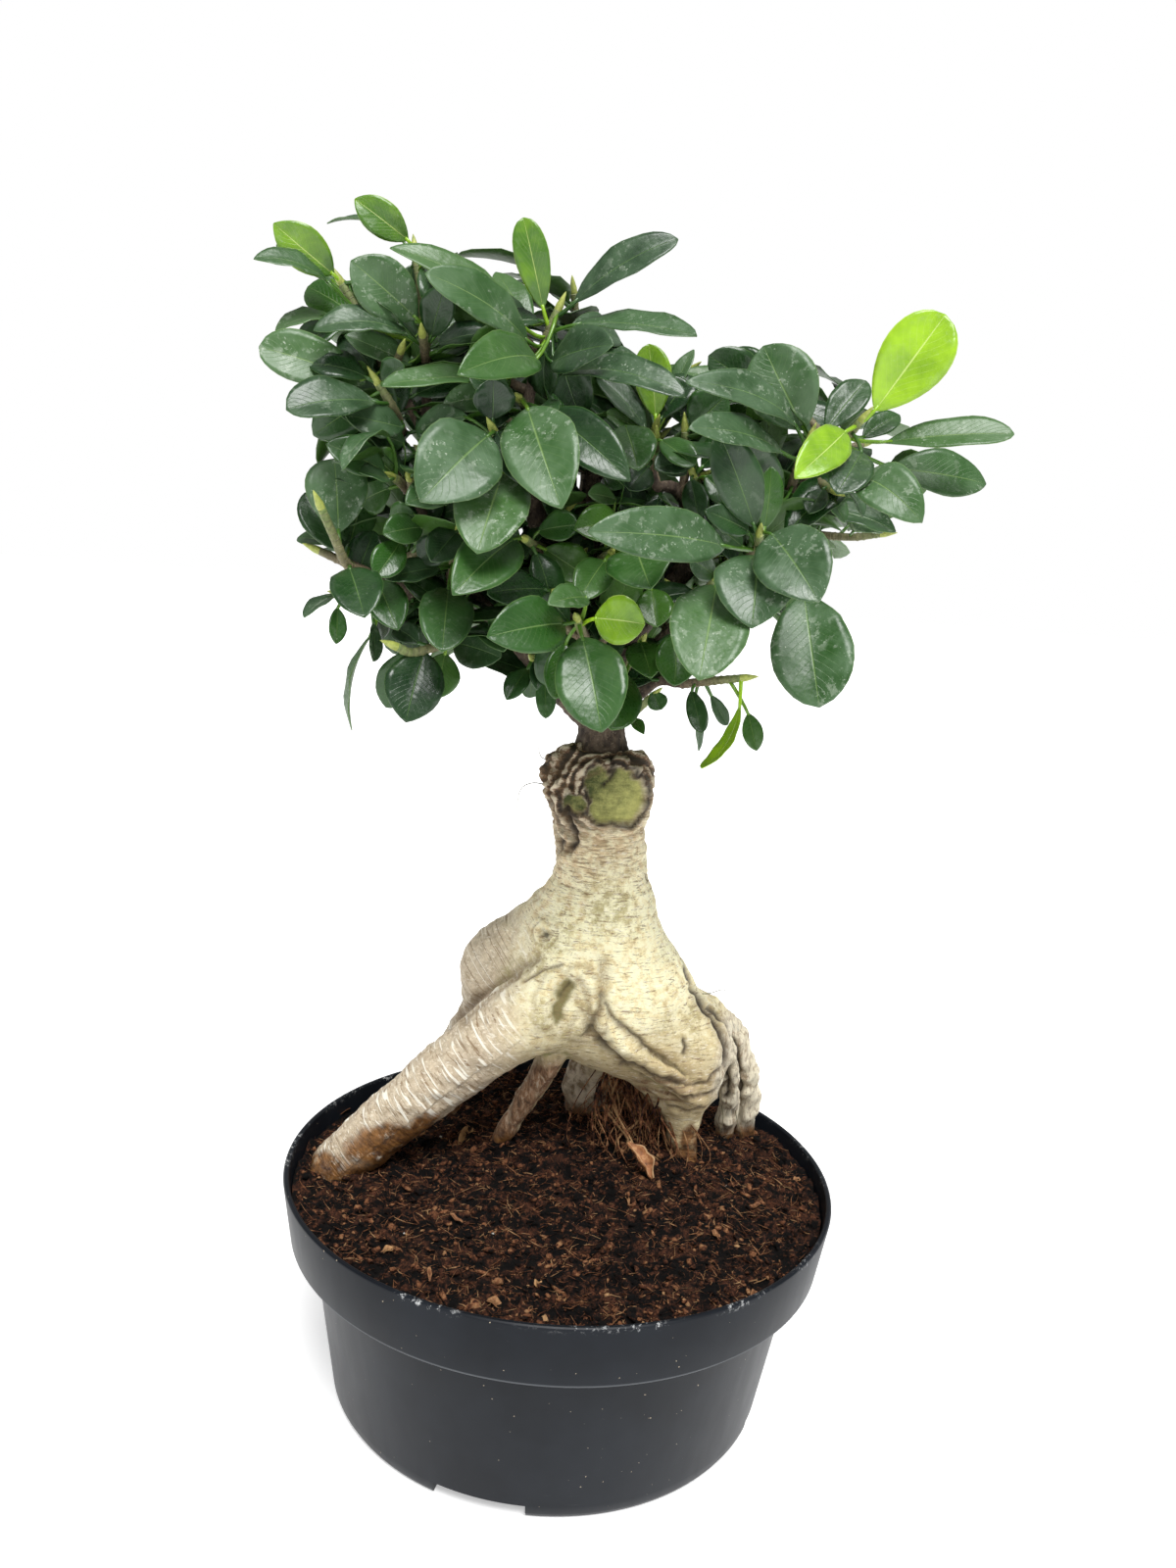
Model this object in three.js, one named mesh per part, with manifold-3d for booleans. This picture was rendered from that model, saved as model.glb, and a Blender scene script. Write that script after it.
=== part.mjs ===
// A ficus ginseng bonsai in a round plastic nursery pot. Millimetres, +Z up.
// The origin is the middle of the pot's underside, where the pot stands on the ground.
import * as THREE from "three";
import Module from "manifold-3d";

const wasm = await Module();
wasm.setup();

// Driving dimensions of the pot
const POT_HEIGHT = 93.4;
const RIM_RADIUS = 115;
const COLLAR_BOTTOM = 68.2;
const COLLAR_RADIUS = 111.4;
const WALL_TOP_RADIUS = 102.4;
const FOOT_RADIUS = 90.5;
const WALL = 1.9;
const LIP = 2.4;
const FOOT_RING_WIDTH = 5;
const FOOT_FLARE = 1.3;
const FOOT_FLARE_HEIGHT = 2.5;
const COLLAR_STEP = 0.8;
const FLOOR_RAISE = 6;
const FLOOR_THICK = 2;
const FLOOR_SLOPE = 1.5;
const BOSS_RADIUS = 14;
const DRAIN_RADIUS = 5;
const DRAIN_COUNT = 6;
const DRAIN_CIRCLE = 52;
const DRAIN_SIDES = 8;
const NOTCH_WIDTH = 36;
const NOTCH_DEPTH = 24;
const NOTCH_HEIGHT = 5.5;
const NOTCH_COUNT = 4;
const NOTCH_TURN = 1.31;
const POT_SEGMENTS = 44;

// Driving dimensions of the soil: its level at the wall, the mound round the roots, the hollow
// behind them, and two sizes of clods with their height, their length across and back, and a turn
const SOIL_AT_WALL = 86;
const MOUND = { height: 11, spread: 62, x: 12, y: 22 };
const HOLLOW = { depth: 4, spread: 45, x: -70, y: 60 };
const LARGE_CLODS = { height: 1.1, across: 48, back: 39, turn: 1.2 };
const SMALL_CLODS = { height: 0.7, across: 20, back: 23 };
const SOIL_SEGMENTS = 32;
const SOIL_RINGS = [86, 60, 34];

// Room between two pieces that touch on the real plant, and a little more round the roots
const GAP = 0.3;
const ROOT_GAP = 0.39;

// The wood: sides of each bough, twig and thin root, and a twig's radius at its start and at its end
const BOUGH_SIDES = 5;
const TWIG_SIDES = 4;
const THIN_ROOT_SIDES = 8;
const TWIG_RADIUS = [2, 1.6];

// Driving dimensions of a leaf. The stalk is a share of its length, the stations are shares of the
// blade at which it has a section, and the two powers set where the blade is widest and how full.
const BLADE_THICK = 1.3;
const FOOT_HALF_WIDTH = 0.6;
const FOOT_THICK = 1;
const PETIOLE_SHARE = 0.13;
const WIDEST_POWER = 1.18;
const FULLNESS_POWER = 0.82;
const BROAD_STATIONS = [0.2, 0.5, 0.8];
const SLIM_STATIONS = [0.3, 0.72];
const BROAD_FROM = 22;
const SLIM_FULLNESS = 1.06;
const FOLD = 0.22;

// The room kept round each leaf, the room a stalk wants at the boughs, the distance between the
// places on a twig where stalks may leave it, and how many of them and of steps along a stalk are tried
const CLEARANCE = 0.35;
const STALK_ROOM = 2;
const NODE_SPACING = 2.6;
const FEET_TRIED = 6;
const STALK_STEPS = 6;

// In cubic millimetres: a crossing too small to count, and how much crossing with its own shoot's
// leaves is borne to keep a leaf one step nearer to where it was laid out
const NO_CROSSING = 1e-4;
const GIVE_DISLIKE = 0.6;

// The grid on which the swollen rootstock is skinned, and its blend between roots
const SKIN_STEP = 7.8;
const SKIN_LOW = [-130, -50, 40];
const SKIN_HIGH = [116, 116, 300];
const SKIN_MOVES = 12;
const SKIN_REACH = 0.2;
const SKIN_ROUNDS = 2;
const LEAST_SLOPE = 0.2;
const ROOT_BLEND = 9;

// The neck is cut off flat where the graft sits on it
const NECK_TOP = 271;
const TOP_BLEND = 4;

// The viewpoint from which the crown's leaves are laid out, in millimetres and degrees
const VIEW = {
  place: new THREE.Vector3(-14.3, -470.6, 337),
  pitch: 9.55,
  yaw: 1.73,
  roll: 4.32,
  focal: 1200,
  middle: [600, 800],
};

const point = (x, y, z) => new THREE.Vector3(x, y, z);

// The three directions of the view: ahead, to the right and up
function viewAxes() {
  const [pitch, yaw, roll] = [VIEW.pitch, VIEW.yaw, VIEW.roll].map(THREE.MathUtils.degToRad);
  const ahead = point(
    Math.sin(yaw) * Math.cos(pitch),
    Math.cos(yaw) * Math.cos(pitch),
    -Math.sin(pitch),
  );
  const level = point(Math.cos(yaw), -Math.sin(yaw), 0);
  const upright = level.clone().cross(ahead);
  const right = level.clone().multiplyScalar(Math.cos(roll)).addScaledVector(upright, Math.sin(roll));
  const up = upright.clone().multiplyScalar(Math.cos(roll)).addScaledVector(level, -Math.sin(roll));
  return { ahead, right, up };
}

const AXES = viewAxes();

// The point at a depth (its y) that is seen at a place in the view
function sight([across, down, depth]) {
  const ray = AXES.ahead
    .clone()
    .addScaledVector(AXES.right, (across - VIEW.middle[0]) / VIEW.focal)
    .addScaledVector(AXES.up, (VIEW.middle[1] - down) / VIEW.focal);
  return VIEW.place.clone().addScaledVector(ray, (depth - VIEW.place.y) / ray.y);
}

// Where in the view a point is seen
function seenAt(spot) {
  const away = spot.clone().sub(VIEW.place);
  const distance = away.dot(AXES.ahead);
  return [
    VIEW.middle[0] + (VIEW.focal * away.dot(AXES.right)) / distance,
    VIEW.middle[1] - (VIEW.focal * away.dot(AXES.up)) / distance,
  ];
}

// A repeatable draw between 0 and 1 for a number
function draw(number) {
  const value = Math.sin(number * 12.9898 + 78.233) * 43758.5453;
  return value - Math.floor(value);
}

function geometryOf(corners, triangles) {
  const geometry = new THREE.BufferGeometry();
  geometry.setAttribute("position", new THREE.Float32BufferAttribute(corners, 3));
  geometry.setIndex(triangles);
  return geometry;
}

function solidOf(corners, triangles) {
  const mesh = new wasm.Mesh({
    numProp: 3,
    vertProperties: new Float32Array(corners),
    triVerts: new Uint32Array(triangles),
  });
  return new wasm.Manifold(mesh);
}

// A shape whose corners are split is joined at them, so that it is one closed body
function solidOfShape(geometry) {
  const source = geometry.index ? geometry.toNonIndexed() : geometry;
  const places = source.getAttribute("position");
  const known = new Map();
  const corners = [];
  const triangles = [];
  for (let i = 0; i < places.count; i += 3) {
    const face = [0, 1, 2].map((k) => {
      const spot = [places.getX(i + k), places.getY(i + k), places.getZ(i + k)];
      const key = spot.map((value) => Math.round(value * 1000) || 0).join();
      if (!known.has(key)) {
        known.set(key, corners.length / 3);
        corners.push(...spot);
      }
      return known.get(key);
    });
    if (new Set(face).size === 3) triangles.push(...face);
  }
  return solidOf(corners, triangles);
}

// The largest body of a solid: scraps that a cut leaves behind are dropped
function largestBody(solid) {
  const bodies = solid.decompose();
  return bodies.reduce((best, body) => (body.volume() > best.volume() ? body : best), bodies[0]);
}

function meshOf(name, solid, material) {
  const mesh = solid.getMesh();
  const geometry = geometryOf(
    Array.from(mesh.vertProperties),
    Array.from(mesh.triVerts),
  );
  geometry.computeVertexNormals();
  const piece = new THREE.Mesh(geometry, material);
  piece.name = name;
  return piece;
}

// A closed solid through a row of sections with as many points each; a section may be one point.
// Each face is split from an even point, so that both sides of a blade are split alike.
function loft(sections) {
  const corners = [];
  const loops = sections.map((section) =>
    section.map((spot) => corners.push(spot.x, spot.y, spot.z) / 3 - 1),
  );
  const triangles = [];
  const addFace = (a, b, c) => {
    if (a !== b && b !== c && a !== c) triangles.push(a, b, c);
  };
  for (let i = 1; i < loops.length; i++) {
    const [near, far] = [loops[i - 1], loops[i]];
    const count = Math.max(near.length, far.length);
    for (let k = 0; k < count; k++) {
      const [a, b] = [near[k % near.length], near[(k + 1) % near.length]];
      const [c, d] = [far[k % far.length], far[(k + 1) % far.length]];
      if (k % 2 === 0) {
        addFace(a, b, d);
        addFace(a, d, c);
      } else {
        addFace(a, b, c);
        addFace(b, d, c);
      }
    }
  }
  const closeEnd = (loop, reversed) => {
    for (let k = 2; k < loop.length; k++) {
      if (reversed) addFace(loop[0], loop[k], loop[k - 1]);
      else addFace(loop[0], loop[k - 1], loop[k]);
    }
  };
  closeEnd(loops[0], true);
  closeEnd(loops[loops.length - 1], false);
  const solid = solidOf(corners, triangles);
  if (solid.volume() > 0) return solid;
  for (let i = 0; i < triangles.length; i += 3) {
    [triangles[i + 1], triangles[i + 2]] = [triangles[i + 2], triangles[i + 1]];
  }
  return solidOf(corners, triangles);
}

// How upright a limb's first step is when its sections start from the x axis and not from the z axis
const STEEP_LIMB = 0.8;

// A round limb along a path of [place, radius] steps
function limb(steps, sides, extra = 0) {
  let across = null;
  const sections = steps.map(([spot, radius], i) => {
    const before = steps[Math.max(i - 1, 0)][0];
    const after = steps[Math.min(i + 1, steps.length - 1)][0];
    const along = after.clone().sub(before).normalize();
    if (!across) {
      const start = Math.abs(along.z) < STEEP_LIMB ? point(0, 0, 1) : point(1, 0, 0);
      across = start.cross(along).normalize();
    }
    across.addScaledVector(along, -across.dot(along)).normalize();
    const second = along.clone().cross(across);
    return Array.from({ length: sides }, (_, k) => {
      const angle = (k / sides) * 2 * Math.PI;
      return spot
        .clone()
        .addScaledVector(across, Math.cos(angle) * (radius + extra))
        .addScaledVector(second, Math.sin(angle) * (radius + extra));
    });
  });
  return loft(sections);
}

const joinAll = (solids) => solids.reduce((whole, solid) => whole.add(solid));

// The pot

function potSolid() {
  const innerTop = RIM_RADIUS - LIP;
  const profile = [
    [0, 0],
    [BOSS_RADIUS, 0],
    [BOSS_RADIUS + FLOOR_SLOPE, FLOOR_RAISE],
    [FOOT_RADIUS - FOOT_RING_WIDTH - FLOOR_SLOPE, FLOOR_RAISE],
    [FOOT_RADIUS - FOOT_RING_WIDTH, 0],
    [FOOT_RADIUS, 0],
    [FOOT_RADIUS + FOOT_FLARE, FOOT_FLARE_HEIGHT],
    [WALL_TOP_RADIUS, COLLAR_BOTTOM - COLLAR_STEP],
    [COLLAR_RADIUS, COLLAR_BOTTOM],
    [RIM_RADIUS, POT_HEIGHT - LIP / 2],
    [RIM_RADIUS - LIP / 2, POT_HEIGHT],
    [innerTop, POT_HEIGHT - LIP / 2],
    [COLLAR_RADIUS - WALL, COLLAR_BOTTOM + WALL],
    [WALL_TOP_RADIUS - WALL, COLLAR_BOTTOM - COLLAR_STEP + WALL],
    [FOOT_RADIUS + FOOT_FLARE - WALL, FLOOR_RAISE + FLOOR_THICK],
    [0, FLOOR_RAISE + FLOOR_THICK],
  ].map(([radius, height]) => new THREE.Vector2(radius, height));
  const shell = new THREE.LatheGeometry(profile, POT_SEGMENTS).rotateX(Math.PI / 2);
  let pot = solidOfShape(shell);
  if (pot.volume() < 0) throw new Error("the pot's profile runs the wrong way");
  for (let k = 0; k < DRAIN_COUNT; k++) {
    const angle = (k / DRAIN_COUNT) * 2 * Math.PI;
    const hole = new THREE.CylinderGeometry(DRAIN_RADIUS, DRAIN_RADIUS, 3 * FLOOR_RAISE, DRAIN_SIDES)
      .rotateX(Math.PI / 2)
      .translate(DRAIN_CIRCLE * Math.cos(angle), DRAIN_CIRCLE * Math.sin(angle), FLOOR_RAISE);
    pot = pot.subtract(solidOfShape(hole));
  }
  for (let k = 0; k < NOTCH_COUNT; k++) {
    const notch = new THREE.BoxGeometry(NOTCH_DEPTH, NOTCH_WIDTH, 2 * NOTCH_HEIGHT)
      .translate(FOOT_RADIUS, 0, 0)
      .rotateZ(NOTCH_TURN + (k / NOTCH_COUNT) * 2 * Math.PI);
    pot = pot.subtract(solidOfShape(notch));
  }
  return pot;
}

// The rootstock. Each limb runs through [across, down, depth, radius] steps: a place in the view, how
// far back it lies and how thick the limb is there. The swollen limbs are joined smoothly into one body.

const SWOLLEN_PARTS = {
  trunk: [[612, 750, 13, 18.6], [610, 796, 13, 20], [612, 846, 14, 18.8], [613, 890, 15, 19.4],
    [612, 925, 17, 24], [606, 965, 18, 30.5], [618, 1006, 18, 34.5]],
  right_swelling: [[640, 1026, 16, 28], [690, 1066, 20, 24.5], [694, 1092, 18, 18.5]],
  left_haunch: [[588, 950, 20, 22], [524, 990, 34, 24], [520, 1010, 40, 21.5]],
  left_root: [[590, 1004, 4, 19], [545, 1032, -4, 17], [500, 1062, -6, 14.8], [440, 1108, -4, 13.6],
    [382, 1156, -2, 12.6], [340, 1192, -3, 11.4], [350, 1214, -2, 8.5], [364, 1240, 0, 6]],
  rear_root: [[626, 1040, 34, 15], [606, 1104, 42, 13.6], [600, 1170, 48, 11], [598, 1212, 50, 8]],
  far_root: [[520, 1010, 50, 15], [478, 1062, 60, 13], [452, 1112, 64, 10], [450, 1150, 62, 8]],
  right_root: [[690, 1100, 15, 12], [697, 1144, 13, 7.4], [700, 1200, 13, 6.8], [700, 1250, 13, 6]],
  left_knob: [[574, 792, 3, 8], [576, 812, 0, 7]],
  right_knob: [[644, 786, 4, 8.5], [646, 822, 3, 7]],
};

const THIN_ROOTS = {
  middle: [[574, 1052, -2, 7], [560, 1084, 2, 6], [538, 1120, 7, 5.2], [512, 1160, 12, 4.4],
    [498, 1200, 14, 3.6]],
  crossing: [[602, 1020, -6, 4], [606, 1042, -14, 5], [634, 1068, -9, 5.6], [668, 1090, -6, 5],
    [700, 1112, -2, 4.6], [716, 1128, 8, 3.6]],
  right_inner: [[694, 1006, 22, 4], [716, 1022, 18, 4.6], [734, 1048, 17, 4.8], [744, 1084, 22, 4.8],
    [744, 1122, 32, 4.8], [737, 1164, 40, 3.8]],
  right_outer: [[696, 1010, 30, 5], [722, 1026, 29, 6.2], [747, 1056, 33, 6.6], [761, 1094, 40, 6.2],
    [763, 1130, 44, 5.2], [755, 1172, 46, 3.8]],
};

const placed = (steps) =>
  steps.map(([across, down, depth, radius]) => [sight([across, down, depth]), radius]);

// How far a point lies outside a tapering limb, below zero inside it
function outsideLimb(spot, from, to) {
  const along = to[0].clone().sub(from[0]);
  const share = THREE.MathUtils.clamp(spot.clone().sub(from[0]).dot(along) / along.lengthSq(), 0, 1);
  const nearest = from[0].clone().addScaledVector(along, share);
  return spot.distanceTo(nearest) - THREE.MathUtils.lerp(from[1], to[1], share);
}

function smoothLower(a, b, blend) {
  const share = THREE.MathUtils.clamp(0.5 + (b - a) / (2 * blend), 0, 1);
  return THREE.MathUtils.lerp(b, a, share) - blend * share * (1 - share);
}

const SWOLLEN_LIMBS = Object.values(SWOLLEN_PARTS).map(placed);

function outsideRootstock(spot) {
  let least = Infinity;
  for (const steps of SWOLLEN_LIMBS) {
    let away = Infinity;
    for (let i = 1; i < steps.length; i++) {
      away = Math.min(away, outsideLimb(spot, steps[i - 1], steps[i]));
    }
    least = least === Infinity ? away : smoothLower(least, away, ROOT_BLEND);
  }
  return -smoothLower(-least, NECK_TOP - spot.z, TOP_BLEND);
}

// A closed skin where a field is zero: one corner in each grid box that the skin crosses.
// Where two folds would share one box's corner, the grid is moved a little and skinned again.
function skin(field, low, high, step) {
  for (let move = 0; move < SKIN_MOVES; move++) {
    try {
      return skinOnGrid(field, low.clone().subScalar((step * move) / SKIN_MOVES), high, step);
    } catch (error) {
      if (move === SKIN_MOVES - 1) throw error;
    }
  }
  return null;
}

function skinOnGrid(field, low, high, step) {
  const counts = [0, 1, 2].map(
    (axis) => Math.ceil((high.getComponent(axis) - low.getComponent(axis)) / step) + 1,
  );
  const [nx, ny, nz] = counts;
  const at = (i, j, k) => (k * ny + j) * nx + i;
  const place = (i, j, k) => point(low.x + i * step, low.y + j * step, low.z + k * step);
  const values = new Float64Array(nx * ny * nz);
  for (let k = 0; k < nz; k++) {
    for (let j = 0; j < ny; j++) {
      for (let i = 0; i < nx; i++) values[at(i, j, k)] = field(place(i, j, k));
    }
  }
  const corners = [];
  const cornerOf = new Map();
  const boxCorner = (i, j, k) => {
    const key = at(i, j, k);
    if (cornerOf.has(key)) return cornerOf.get(key);
    const middle = point(0, 0, 0);
    let crossings = 0;
    const edges = [];
    for (let a = 0; a < 2; a++) {
      for (let b = 0; b < 2; b++) {
        edges.push([[0, a, b], [1, a, b]], [[a, 0, b], [a, 1, b]], [[a, b, 0], [a, b, 1]]);
      }
    }
    for (const [from, to] of edges) {
      const low = values[at(i + from[0], j + from[1], k + from[2])];
      const high = values[at(i + to[0], j + to[1], k + to[2])];
      if (low < 0 === high < 0) continue;
      const share = low / (low - high);
      middle.add(
        place(i + from[0], j + from[1], k + from[2]).lerp(
          place(i + to[0], j + to[1], k + to[2]),
          share,
        ),
      );
      crossings += 1;
    }
    middle.divideScalar(crossings);
    const reach = step * SKIN_REACH;
    for (let round = 0; round < SKIN_ROUNDS; round++) {
      const value = field(middle);
      const slope = point(
        field(middle.clone().add(point(reach, 0, 0))) - value,
        field(middle.clone().add(point(0, reach, 0))) - value,
        field(middle.clone().add(point(0, 0, reach))) - value,
      ).divideScalar(reach);
      const shift = THREE.MathUtils.clamp(-value / Math.max(slope.lengthSq(), LEAST_SLOPE), -reach, reach);
      middle.addScaledVector(slope, shift);
    }
    cornerOf.set(key, corners.length / 3);
    corners.push(middle.x, middle.y, middle.z);
    return cornerOf.get(key);
  };
  const triangles = [];
  const steps = [[1, 0, 0], [0, 1, 0], [0, 0, 1]];
  for (let k = 1; k < nz - 1; k++) {
    for (let j = 1; j < ny - 1; j++) {
      for (let i = 1; i < nx - 1; i++) {
        for (let axis = 0; axis < 3; axis++) {
          const [di, dj, dk] = steps[axis];
          const inside = values[at(i, j, k)] < 0;
          if (inside === values[at(i + di, j + dj, k + dk)] < 0) continue;
          const u = steps[(axis + 1) % 3];
          const w = steps[(axis + 2) % 3];
          const ring = [[0, 0], [1, 0], [1, 1], [0, 1]].map(([a, b]) =>
            boxCorner(i - a * u[0] - b * w[0], j - a * u[1] - b * w[1], k - a * u[2] - b * w[2]),
          );
          if (!inside) ring.reverse();
          triangles.push(ring[0], ring[1], ring[2], ring[0], ring[2], ring[3]);
        }
      }
    }
  }
  const solid = solidOf(corners, triangles);
  if (solid.volume() > 0) return solid;
  for (let i = 0; i < triangles.length; i += 3) {
    [triangles[i + 1], triangles[i + 2]] = [triangles[i + 2], triangles[i + 1]];
  }
  return solidOf(corners, triangles);
}

function rootstockSolid() {
  const body = skin(outsideRootstock, point(...SKIN_LOW), point(...SKIN_HIGH), SKIN_STEP);
  const roots = Object.values(THIN_ROOTS).map((steps) => limb(placed(steps), THIN_ROOT_SIDES));
  return joinAll([body, ...roots]);
}

// The room that a solid takes up with a gap round it: each corner moved out along the faces round it
function roomRound(solid, gap) {
  const mesh = solid.getMesh();
  const geometry = geometryOf(Array.from(mesh.vertProperties), Array.from(mesh.triVerts));
  geometry.computeVertexNormals();
  const [places, normals] = [geometry.getAttribute("position"), geometry.getAttribute("normal")];
  const corners = [];
  for (let i = 0; i < places.count; i++) {
    corners.push(
      places.getX(i) + gap * normals.getX(i),
      places.getY(i) + gap * normals.getY(i),
      places.getZ(i) + gap * normals.getZ(i),
    );
  }
  return solidOf(corners, Array.from(mesh.triVerts));
}

// The soil: a filled bowl with a mound round the roots

// One at a spot, falling off round it
const swell = (x, y, spot) => Math.exp(-((x - spot.x) ** 2 + (y - spot.y) ** 2) / spot.spread ** 2);

function soilHeight(x, y) {
  const mound = MOUND.height * swell(x, y, MOUND);
  const hollow = HOLLOW.depth * swell(x, y, HOLLOW);
  const wave = (distance, length) => (2 * Math.PI * distance) / length;
  const large =
    Math.sin(wave(x, LARGE_CLODS.across) + LARGE_CLODS.turn) * Math.cos(wave(y, LARGE_CLODS.back));
  const small = Math.sin(wave(x, SMALL_CLODS.across) + wave(y, SMALL_CLODS.back));
  return SOIL_AT_WALL + mound - hollow + LARGE_CLODS.height * large + SMALL_CLODS.height * small;
}

function soilSolid(room) {
  const floor = FLOOR_RAISE + FLOOR_THICK + GAP;
  const ring = (radius, height) =>
    Array.from({ length: SOIL_SEGMENTS }, (_, k) => {
      const angle = (k / SOIL_SEGMENTS) * 2 * Math.PI;
      const [x, y] = [radius * Math.cos(angle), radius * Math.sin(angle)];
      return point(x, y, height === null ? soilHeight(x, y) : height);
    });
  // The pot's wall has flat facets, so that its narrowest radius is a little less than its round one
  const fit = Math.cos(Math.PI / POT_SEGMENTS);
  const atFloor = (FOOT_RADIUS + FOOT_FLARE - WALL) * fit - GAP;
  const underCollar = (WALL_TOP_RADIUS - WALL) * fit - 2 * GAP;
  const inCollar = (COLLAR_RADIUS - WALL) * fit - GAP;
  const sections = [
    [point(0, 0, floor)],
    ring(atFloor, floor),
    ring(underCollar, COLLAR_BOTTOM - COLLAR_STEP + WALL + GAP),
    ring(inCollar, COLLAR_BOTTOM + WALL + 2 * GAP),
    ring(inCollar, null),
    ...SOIL_RINGS.map((radius) => ring(radius, null)),
    [point(0, 0, soilHeight(0, 0))],
  ];
  return largestBody(loft(sections).subtract(room));
}

// The grafted wood. Boughs that are seen run through [across, down, depth, radius] steps, and those
// behind through real places, [x, y, z, radius].

const SEEN_BOUGHS = {
  graft: [[613, 768, 12, 12.5], [614, 748, 12, 10.2], [612, 715, 12, 9.4], [606, 680, 13, 8],
    [600, 645, 15, 6.6]],
  left: [[606, 735, 12, 6.5], [572, 702, 6, 5.6], [530, 655, 2, 4.6], [482, 610, -4, 4],
    [446, 560, -8, 3.2], [436, 500, -10, 2.6], [436, 430, -12, 2.1], [435, 372, -14, 1.8]],
  far_left: [[482, 610, -4, 3.6], [430, 600, -12, 3], [392, 590, -22, 2.4], [370, 582, -30, 2]],
  left_stub: [[446, 550, -8, 2.4], [425, 512, -18, 2], [409, 488, -22, 1.7]],
  left_high: [[436, 450, -11, 2.1], [414, 408, -14, 1.9], [398, 390, -13, 1.6]],
  centre: [[600, 655, 14, 6.2], [580, 590, 14, 5], [552, 545, 8, 4.2], [543, 495, 2, 3.6],
    [538, 440, -6, 2.9], [541, 400, -10, 2.4], [552, 362, -12, 1.9]],
  centre_high: [[604, 655, 16, 6], [600, 570, 20, 5], [603, 520, 20, 4.4], [607, 484, 18, 3.6],
    [638, 474, 12, 2.8], [656, 460, 9, 2.1]],
  right: [[610, 690, 16, 6], [650, 640, 18, 5.4], [700, 580, 16, 4.8], [745, 545, 8, 4],
    [790, 530, -2, 3.2], [806, 508, -8, 2.8], [835, 475, -12, 2.2], [850, 458, -14, 1.9]],
  right_inner: [[720, 562, 12, 3.4], [694, 503, 2, 2.8], [670, 495, -4, 2.3], [664, 476, -6, 1.8]],
  right_low: [[625, 715, 12, 4.5], [680, 650, 4, 3.4], [730, 600, -12, 2.6], [764, 570, -30, 2]],
  right_hanging: [[632, 728, 10, 3.2], [668, 697, 2, 2.3], [700, 698, -6, 1.8]],
  front: [[608, 700, 4, 3.4], [600, 665, -18, 2.6], [593, 642, -40, 2]],
  left_low: [[530, 655, 2, 3.4], [490, 655, -14, 2.6], [452, 656, -28, 1.9]],
  left_end: [[430, 600, -12, 2.4], [402, 618, -10, 1.8]],
};

const HIDDEN_BOUGHS = {
  back_left: [[2, 14, 290, 6], [-25, 38, 322, 5], [-55, 60, 350, 3.8], [-76, 58, 385, 2.8],
    [-84, 50, 408, 2]],
  back: [[4, 16, 298, 6], [0, 50, 335, 4.8], [-8, 78, 372, 3.6], [-8, 74, 412, 2.6], [-12, 62, 432, 2]],
  back_right: [[8, 16, 296, 6], [35, 48, 325, 5], [62, 68, 352, 3.8], [86, 66, 382, 2.8], [96, 60, 402, 2]],
};

const BOUGHS = [
  ...Object.values(SEEN_BOUGHS).map(placed),
  ...Object.values(HIDDEN_BOUGHS).map((steps) =>
    steps.map(([x, y, z, radius]) => [point(x, y, z), radius]),
  ),
];

const boughSolid = (extra) => joinAll(BOUGHS.map((steps) => limb(steps, BOUGH_SIDES, extra)));

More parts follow.
